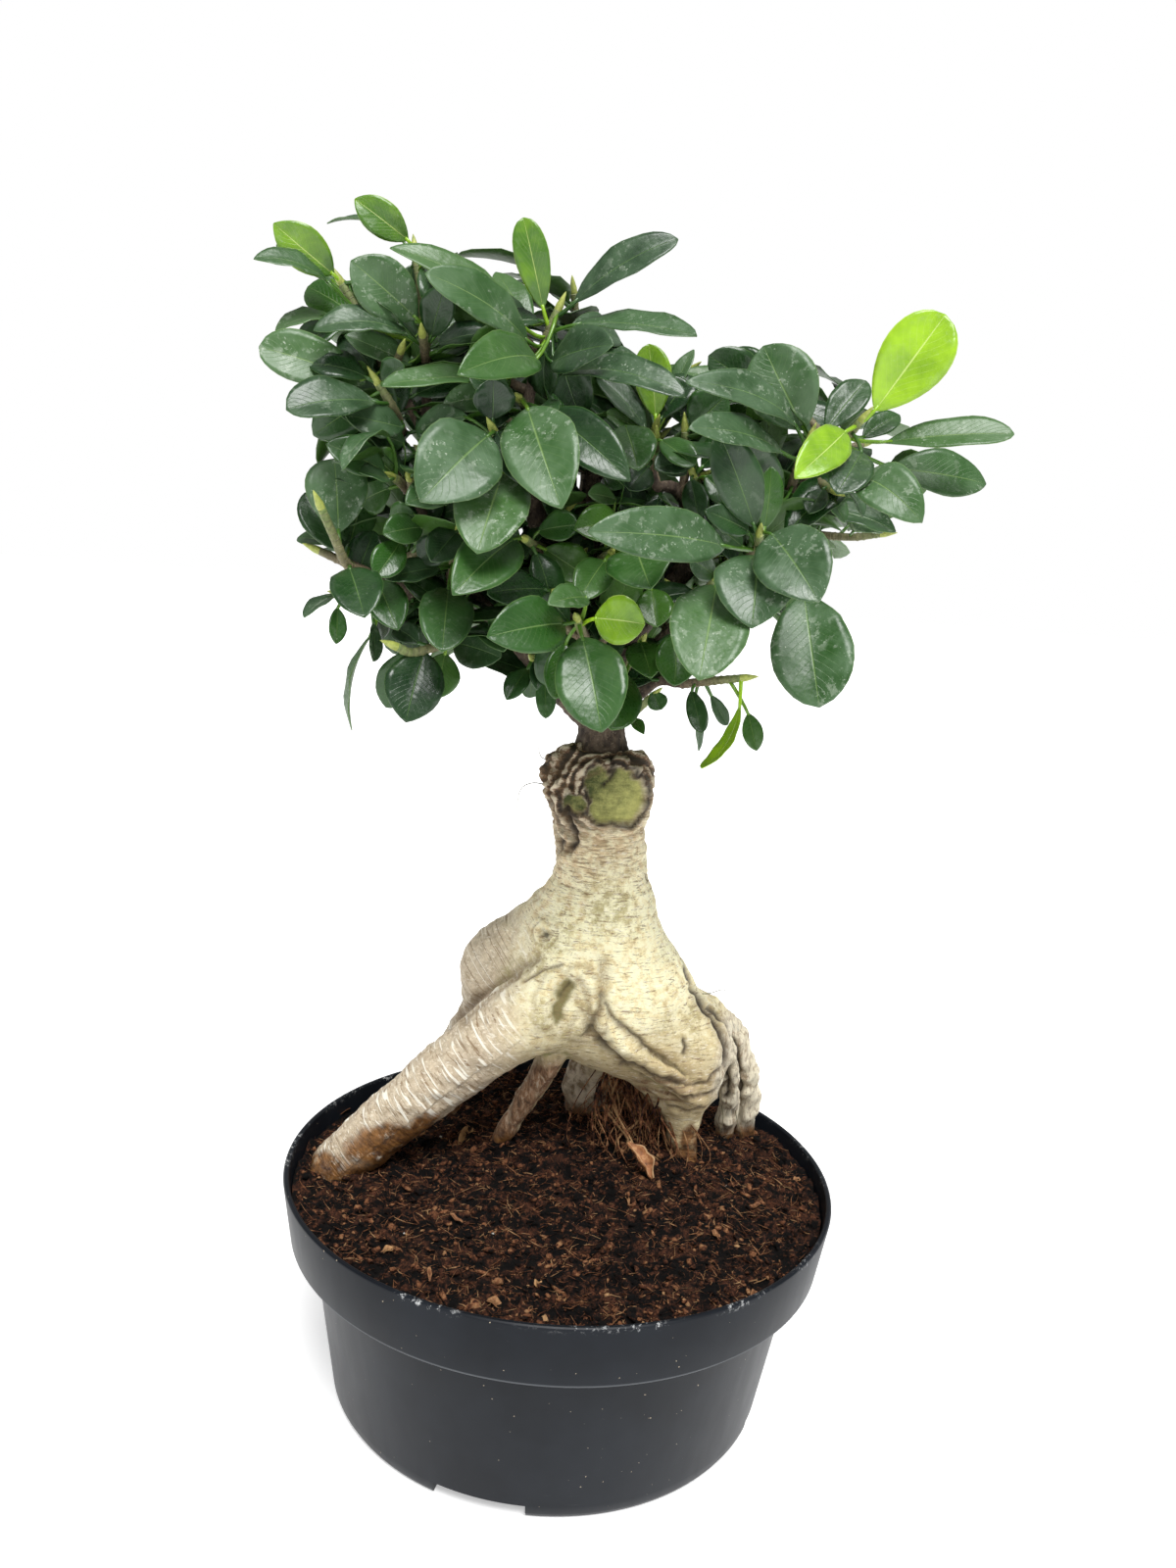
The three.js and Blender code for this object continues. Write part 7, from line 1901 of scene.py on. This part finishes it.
def chips_piece():
    shape = Shape()
    across, share, through, faces = PATTERNS[False]
    for number, (x, y, length, wide, heading, shade) in enumerate(CHIPS):
        spot = on_soil(x, y)
        turn = math.radians(heading)
        along = unit(np.array([math.cos(turn), math.sin(turn), 0.25]))
        side = unit(np.cross(along, np.array([0.1, -0.3, 1.0])))
        face = np.cross(side, along)
        if face[2] < 0:
            side, face = -side, -face
        length, wide = length * CHIP_SCALE, wide * CHIP_SCALE
        radius = wide / 2 * np.maximum(blade_width(0.1 + 0.8 * share), 0.35)
        angle = across * CHIP_CURL
        depth = radius - 0.5 * through
        warp = 0.5 * np.sin(share * 9 + number)
        corners = curled(spot + face * 0.8, (along, side, face), (share - 0.5) * length, angle, depth, warp)
        shape.add(corners, faces, 0, np.column_stack([(across + 1) / 2, share]), tone=shade)
    shape.stand("bark_chips", [chip_paint()], [], "peat_soil")


# The tuft of rootlets that hangs from the belly into the soil behind the right foot
ROOTLET_COUNT = 260
ROOTLET_SEED = 40000
ROOTLET_FROM = ((616, 694), (1078, 1108), (10, 36))
ROOTLET_SPREAD = 15.0
ROOTLET_RADIUS = (0.16, 0.42)


def rootlets_piece():
    shape = Shape()
    for number in range(ROOTLET_COUNT):
        seed = ROOTLET_SEED + number
        start = sight([drawn(pair, seed + 0.11 * k) for k, pair in enumerate(ROOTLET_FROM)])
        off = [ROOTLET_SPREAD * (draw(seed + 0.37 + 0.1 * k) - 0.5) for k in range(5)]
        end = start + np.array([1.6 * off[0] + 1.0, 1.3 * off[1] - 4.0, 0.0])
        end[2] = crumbly(end[:1], end[1:2])[0] - 1.0
        first = start * 0.6 + end * 0.4 + np.array([off[2], off[3], 0.4 * off[4]])
        second = start * 0.25 + end * 0.75 + np.array([off[4], off[2], 0.3 * off[3]])
        thick = ROOTLET_RADIUS[0] + ROOTLET_RADIUS[1] * draw(seed + 0.91) ** 3
        places, widths = smoothed([start, first, second, end], thick * np.array([1.2, 1.0, 0.8, 0.5]), 3.0)
        shape.add_tube(places, widths, 4, tone=0.35 + 0.55 * draw(seed + 0.67))
    shape.stand("rootlet_tuft", [soil_paint("rootlet_brown")], [], "root_bark")


# The dry leaf on the soil, curled along its midrib

DRY_LEAF_CURL = 1.9


def dry_leaf_piece():
    low, high = (np.array(corner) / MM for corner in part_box("dry_leaf"))
    start = np.array([low[0] + 1.5, high[1] - 1.0, high[2] - 1.5])
    end = np.array([high[0] - 1.5, low[1] + 1.5, low[2] + 2.5])
    along = unit(end - start)
    length = np.linalg.norm(end - start)
    facing = np.array([0.3, -0.4, 0.9])
    face = unit(facing - along * (facing @ along))
    side = np.cross(along, face)
    across, share, through, faces = PATTERNS[True]
    radius = np.maximum(5.2 * blade_width(0.12 + 0.88 * share), 0.8)
    angle = across * DRY_LEAF_CURL * (0.6 + 0.5 * share)
    depth = radius * 0.62 + 0.45 * (0.5 - through)
    ruffle = 0.9 * np.sin(share * 17 + 3 * across) * np.abs(across) ** 2
    arch = ruffle + 1.2 * np.sin(np.pi * share) - 1.0
    corners = curled(start, (along, side, face), share * length, angle, depth, arch)
    shape = Shape()
    shape.add(corners, faces, 0, np.column_stack([(across + 1) / 2, share]))
    shape.stand("curled_dry_leaf", [dry_leaf_paint()], ["dry_leaf"], "dry_leaf")


# The crown: every shoot with its leaves where the solids have them

# Each bough as the places on it and its radii there
BOUGHS = [([sight(place) for *place, _ in steps], [radius for *_, radius in steps])
          for steps in SEEN_BOUGHS.values()]
BOUGHS += [([np.array(place, float) for *place, _ in steps], [radius for *_, radius in steps])
           for steps in HIDDEN_BOUGHS.values()]

YOUNG_SLIMMER = 0.9
MATURE_TONES = (0.02, 0.46)
BEHIND_TONES = (0.03, 0.28)
DUST_AND_SHEEN_WIDTH = 19
DUST_AND_SHEEN_LIFT = 35
DUST_AND_SHEEN_ABOVE = 570
DUST_AND_SHEEN_RIGHT_OF = 690
FRONT_SEED = 50.0
YOUNG_TONES = (0.66, 0.60, 0.64, 0.74, 0.76, 0.90, 0.80, 0.84)


def dust_and_sheen_on(entry, share):
    """Dust and a painted sheen lie most on the large leaves outside and on those whose faces look up."""
    # Leaves at the top and right of the crown, and those that face up, get the most painted sheen
    across, down, _ = entry["tip"]
    is_outside = down < DUST_AND_SHEEN_ABOVE or across > DUST_AND_SHEEN_RIGHT_OF
    if entry["wide"] >= DUST_AND_SHEEN_WIDTH and is_outside:
        return 0.8 + 0.2 * share
    return 0.5 + 0.4 * share if entry["lift"] >= DUST_AND_SHEEN_LIFT else 0.35 * share


def lime_leaf_piece(number, entry, places, seed, trees, young):
    """A young leaf on its own, in place of the young solid that shows it."""
    fits = ((node, found_leaf(tree, seen_tries(entry), places)) for node, tree in trees.items())
    node, one = next(fit for fit in fits if fit[1])
    one["wide"] *= YOUNG_SLIMMER
    shape = Shape()
    lay_leaf(shape, one, YOUNG_TONES[number - 1], 0.2, seed)
    shape.stand(f"lime_leaf_{number}", [young], [node], "young_leaf")


def shoot_piece(name, twig, leaves, greenness, materials):
    """A twig with those of its leaves that its solid shows, each as [tries, tone, dust and painted sheen,
    seed, is_fine].
    """
    tree, places, shape = tree_of(f"shoot_{name}"), nodes_of(twig), Shape()
    for tries, *looks in leaves:
        one = found_leaf(tree, tries, places)
        if one:
            lay_leaf(shape, one, *looks)
    lay_twig(shape, twig, greenness)
    shape.stand(f"leafy_{name}", materials, [f"shoot_{name}"], "mature_leaf")


def crown_pieces():
    mature, young = leaf_paint("mature_fig_leaf", False), leaf_paint("young_fig_leaf", True)
    materials = [mature, twig_paint(), bud_paint()]
    young_trees = {name: tree_of(name) for name in sorted(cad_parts) if name.startswith("young_leaf")}
    young_numbers = iter(range(1, len(YOUNG_TONES) + 1))
    wood_places = [place for path, radii in BOUGHS for place in smoothed(path, radii, 4)[0]]
    for order, (name, plan) in enumerate(FRONT_SHOOTS.items()):
        twig = [sight(place) for place in plan["twig"]]
        places = nodes_of(twig)
        wood_places += places
        leaves = []
        for index, entry in enumerate(plan["leaves"]):
            seed = FRONT_SEED + order * SEEDS_A_SHOOT + index
            if entry["is_young"]:
                lime_leaf_piece(next(young_numbers), entry, places, seed, young_trees, young)
            else:
                looks = drawn(MATURE_TONES, seed + 0.9), dust_and_sheen_on(entry, draw(seed + 0.77))
                leaves.append((seen_tries(entry), *looks, seed, True))
        shoot_piece(name, twig, leaves, 0.8, materials)
    for order, (name, plan) in enumerate(RULED_SHOOTS.items()):
        twig = [np.array(place, float) for place in plan["twig"]]
        leaves = []
        for index in range(plan["count"]):
            seed = RULED_SEED + order * SEEDS_A_SHOOT + index
            tries = ruled_tries(twig, plan["spread"], index, plan["count"], seed)
            looks = drawn(BEHIND_TONES, seed + 0.9), 0.2 + 0.5 * draw(seed + 0.77)
            leaves.append((tries, *looks, seed, False))
        shoot_piece(name, twig, leaves, 0.6, materials)
    inner_pieces(crown_tree(), wood_places, materials)


# Leaves within the crown, which the gaps between the others show

CROWN_OUTLINE = [
    (300, 335), (350, 275), (420, 245), (520, 285), (560, 330), (620, 350), (690, 380), (760, 372),
    (830, 410), (866, 432), (900, 455), (872, 500), (860, 540), (845, 590), (800, 640), (735, 660),
    (690, 690), (640, 715), (560, 705), (500, 680), (430, 690), (385, 650), (345, 580), (322, 480),
]
SIGHT_STEP = 10
CLOSED_SHARE = 0.38
INNER_LENGTH = (25, 44)
INNER_WIDTH = (15, 21)
INNER_REACH = (2.5, 30)
INNER_OVERREACH = 1.75
EVERY_FOOT, FEET_FOR_A_GAP = 3, 14
# Leaves within the crown get darker tones, a painted shade
INNER_SHADE_TONES = (0.0, 0.22)
INNER_SEED = 3000
ATTACH_DEPTHS = (-34, 60)
ATTACH_LOWEST = 292
FILLER_SPACING = 15
FILLER_LENGTH = 17
FILLER_LEAVES = 6
FILLER_SPREAD = 66
FILLER_SHRINK = 0.82
FILLER_SEED = 6000
FRONT_DEPTH = 34
OUTLINED_DEPTH = 94


def inside_outline(across, down):
    inside = False
    for (x1, y1), (x2, y2) in zip(CROWN_OUTLINE, CROWN_OUTLINE[1:] + CROWN_OUTLINE[:1]):
        if (y1 > down) != (y2 > down) and across < x1 + (x2 - x1) * (down - y1) / (y2 - y1):
            inside = not inside
    return inside


def crown_tree():
    """All the crown's solids as one tree of faces."""
    corners, faces = [], []
    for name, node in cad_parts.items():
        if name.startswith(("shoot_", "young_leaf", "scion")):
            faces += [[index + len(corners) for index in face] for face in faces_of(node.data)]
            corners += [vertex.co.copy() for vertex in node.data.vertices]
    return BVHTree.FromPolygons(corners, faces)


def first_seen(tree, ray):
    """How far off, in millimetres, a sight line first meets the crown, and at what depth."""
    place, _, _, distance = tree.ray_cast(Vector(VIEW_PLACE) * MM, Vector(ray))
    return (None, None) if place is None else (distance / MM, place.y / MM)


def is_within(tree, one):
    """A leaf that stays in the crown's outline and box, and hides no leaf at the front."""
    for share in (0.3, 0.6, 0.95):
        spot = one["base"] + (one["tip"] - one["base"]) * share
        if not all(CAD_BOX[0][k] / MM < spot[k] < CAD_BOX[1][k] / MM for k in range(3)):
            return False
        if spot[1] < OUTLINED_DEPTH and not inside_outline(*seen_at(spot)):
            return False
        away = spot - VIEW_PLACE
        reach, depth = first_seen(tree, unit(away))
        if reach is not None and reach > np.linalg.norm(away) and depth < FRONT_DEPTH:
            return False
    return True


def inner_leaf(tree, foot, middle, ray, seed):
    """A leaf from a foot on the wood across a sight line."""
    way = middle - foot
    away = np.linalg.norm(way)
    if away < INNER_REACH[0] + 3:
        turn = 2 * math.pi * draw(seed + 0.3)
        way = RIGHT * math.cos(turn) + UP * math.sin(turn)
    along = unit(way + (RIGHT * (draw(seed) - 0.5) + UP * (draw(seed + 0.2) - 0.5)) * 0.3)
    length = np.clip(away * INNER_OVERREACH, *INNER_LENGTH)
    facing = -ray * 0.8 + np.array([draw(seed + 0.5) - 0.5, 0.0, 0.35 + 0.6 * draw(seed + 0.6)])
    face = unit(facing - along * (facing @ along))
    wide = min(drawn(INNER_WIDTH, seed + 0.4), length * 0.55)
    one = {"tip": foot + along * length, "base": foot + along * 1.0, "foot": foot, "face": face,
           "wide": wide, "bow": 0.05 + 0.08 * draw(seed + 0.7)}
    return one if is_within(tree, one) else None


def gap_leaves(tree, wood):
    """Leaves that close the sight lines which pass through the crown."""
    wood = np.array([spot for spot in wood if ATTACH_DEPTHS[0] < spot[1] < ATTACH_DEPTHS[1]
                     and spot[2] > ATTACH_LOWEST])
    across, down = zip(*CROWN_OUTLINE)
    open_lines = []
    for x in range(min(across), max(across), SIGHT_STEP):
        for y in range(min(down), max(down), SIGHT_STEP):
            ray = unit(ray_at(x, y))
            if inside_outline(x, y) and first_seen(tree, ray)[0] is None:
                open_lines.append((x, y, ray))
    closed, made = set(), []
    for number, (x, y, ray) in enumerate(open_lines):
        if number in closed:
            continue
        away = wood - VIEW_PLACE
        along_ray = away @ ray
        middles = VIEW_PLACE + np.outer(along_ray, ray)
        off_ray = np.linalg.norm(middles - wood, axis=1)
        order = [k for k in np.argsort(off_ray) if INNER_REACH[0] < off_ray[k] < INNER_REACH[1]]
        for tried, k in enumerate(order[::EVERY_FOOT][:FEET_FOR_A_GAP]):
            one = inner_leaf(tree, wood[k], middles[k], ray, INNER_SEED + number * 5 + 0.13 * tried)
            if one is None:
                continue
            made.append(one)
            spots = np.array([seen_at(one["base"] + (one["tip"] - one["base"]) * share)
                              for share in (0.25, 0.4, 0.55, 0.7, 0.85)])
            near = CLOSED_SHARE * one["wide"] / MM_A_PIXEL
            closed |= {index for index, (a, b, _) in enumerate(open_lines)
                       if np.hypot(spots[:, 0] - a, spots[:, 1] - b).min() < near}
            break
    return made


def filler_twigs():
    """Short side twigs along the boughs, leaning away from the crown's middle."""
    for number, (path, radii) in enumerate(BOUGHS):
        places, _ = smoothed(path, radii, FILLER_SPACING)
        for k, place in enumerate(places[1:]):
            if place[2] < ATTACH_LOWEST + 14:
                continue
            seed = FILLER_SEED + number * 40 + k
            outward = np.array([place[0] - MOUND["x"], place[1] - MOUND["y"], 0.0])
            turn = 2 * math.pi * draw(seed)
            way = unit(unit(outward + 0.01) * 0.5 + np.array([math.cos(turn), math.sin(turn), 0.5]))
            yield seed, [place, place + way * FILLER_LENGTH / 2, place + way * FILLER_LENGTH]


def inner_pieces(tree, wood_places, materials):
    shape = Shape()
    for number, one in enumerate(gap_leaves(tree, wood_places)):
        # Their darker tones are a painted shade deep in the crown
        seed = INNER_SEED + number
        lay_leaf(shape, one, drawn(INNER_SHADE_TONES, seed + 0.9), 0.3 * draw(seed + 0.7), seed, is_fine=False)
    shape.stand("leaves_within_gaps", materials, [], "mature_leaf")
    shape = Shape()
    for seed, twig in filler_twigs():
        leaves = []
        for index in range(FILLER_LEAVES):
            one = next(ruled_tries(twig, FILLER_SPREAD, index, FILLER_LEAVES, seed + index * 0.031))
            one["tip"] = one["base"] + (one["tip"] - one["base"]) * FILLER_SHRINK
            one["wide"] *= FILLER_SHRINK
            one["foot"] = min(nodes_of(twig), key=lambda spot: np.linalg.norm(spot - one["base"]))
            if is_within(tree, one):
                leaves.append(one)
        for index, one in enumerate(leaves):
            tone = drawn(INNER_SHADE_TONES, seed + index * 0.17)
            lay_leaf(shape, one, tone, 0.4 * draw(seed + index * 0.7), seed + index * 0.3, is_fine=False)
        if leaves:
            lay_twig(shape, twig, 0.3)
    shape.stand("leaves_within_crown", materials, [], "mature_leaf")


# Floor, light and camera

SKY_ON_PLANT = 0.38
SUN_STRENGTH = 3.9
SUN_SPREAD = 32
SUN_FROM = (0.16, -0.80, 1.40)
FLOOR_GLOW = 0.45
FLOOR_SIZE = 60
FLOOR_BELOW = 0.4


def studio():
    clear_selection()
    bpy.ops.mesh.primitive_plane_add(size=FLOOR_SIZE, location=(0, 0, -FLOOR_BELOW * MM))
    floor = bpy.context.object
    floor.name = "pale_floor"
    paint = Paint("pale_floor")
    paint.colour = paint.ramp(paint.noise(300, 2), [(0.3, (0.88, 0.88, 0.88)), (0.7, (0.91, 0.91, 0.91))])
    paint.shader.inputs["Emission Color"].default_value = (1.0, 1.0, 1.0, 1.0)
    floor.data.materials.append(
        paint.finish(0.9, Specular_IOR_Level=0.1, Emission_Strength=FLOOR_GLOW))
    world = bpy.data.worlds.new("studio")
    world.use_nodes = True
    bpy.context.scene.world = world
    tree = world.node_tree
    background = tree.nodes["Background"]
    background.inputs["Color"].default_value = (1.0, 1.0, 1.0, 1.0)
    path = tree.nodes.new("ShaderNodeLightPath")
    brightness = tree.nodes.new("ShaderNodeMapRange")
    brightness.inputs["To Min"].default_value = SKY_ON_PLANT
    brightness.inputs["To Max"].default_value = 1.0
    tree.links.new(path.outputs["Is Camera Ray"], brightness.inputs["Value"])
    tree.links.new(brightness.outputs[0], background.inputs["Strength"])
    data = bpy.data.lights.new("wide_sun", "SUN")
    data.energy = SUN_STRENGTH
    data.angle = math.radians(SUN_SPREAD)
    sun = bpy.data.objects.new("wide_sun", data)
    sun.rotation_euler = Vector(SUN_FROM).to_track_quat("Z", "Y").to_euler()
    show(sun)
    bpy.context.scene.view_settings.view_transform = "Standard"


def camera():
    data = bpy.data.cameras.new("camera")
    data.sensor_width = SENSOR
    data.sensor_fit = "AUTO"
    data.lens = SENSOR * VIEW_FOCAL / PICTURE_HEIGHT
    seen_from = bpy.data.objects.new("camera", data)
    axes = Matrix([RIGHT, UP, -AHEAD]).transposed().to_4x4()
    axes.translation = Vector(VIEW_PLACE) * MM
    seen_from.matrix_world = axes
    bpy.context.scene.camera = show(seen_from)


camera()
studio()
pot_piece()
soil_piece()
crumbs_piece()
rootstock_piece()
hair_piece()
rootlets_piece()
chips_piece()
scion_piece()
crown_pieces()
dry_leaf_piece()
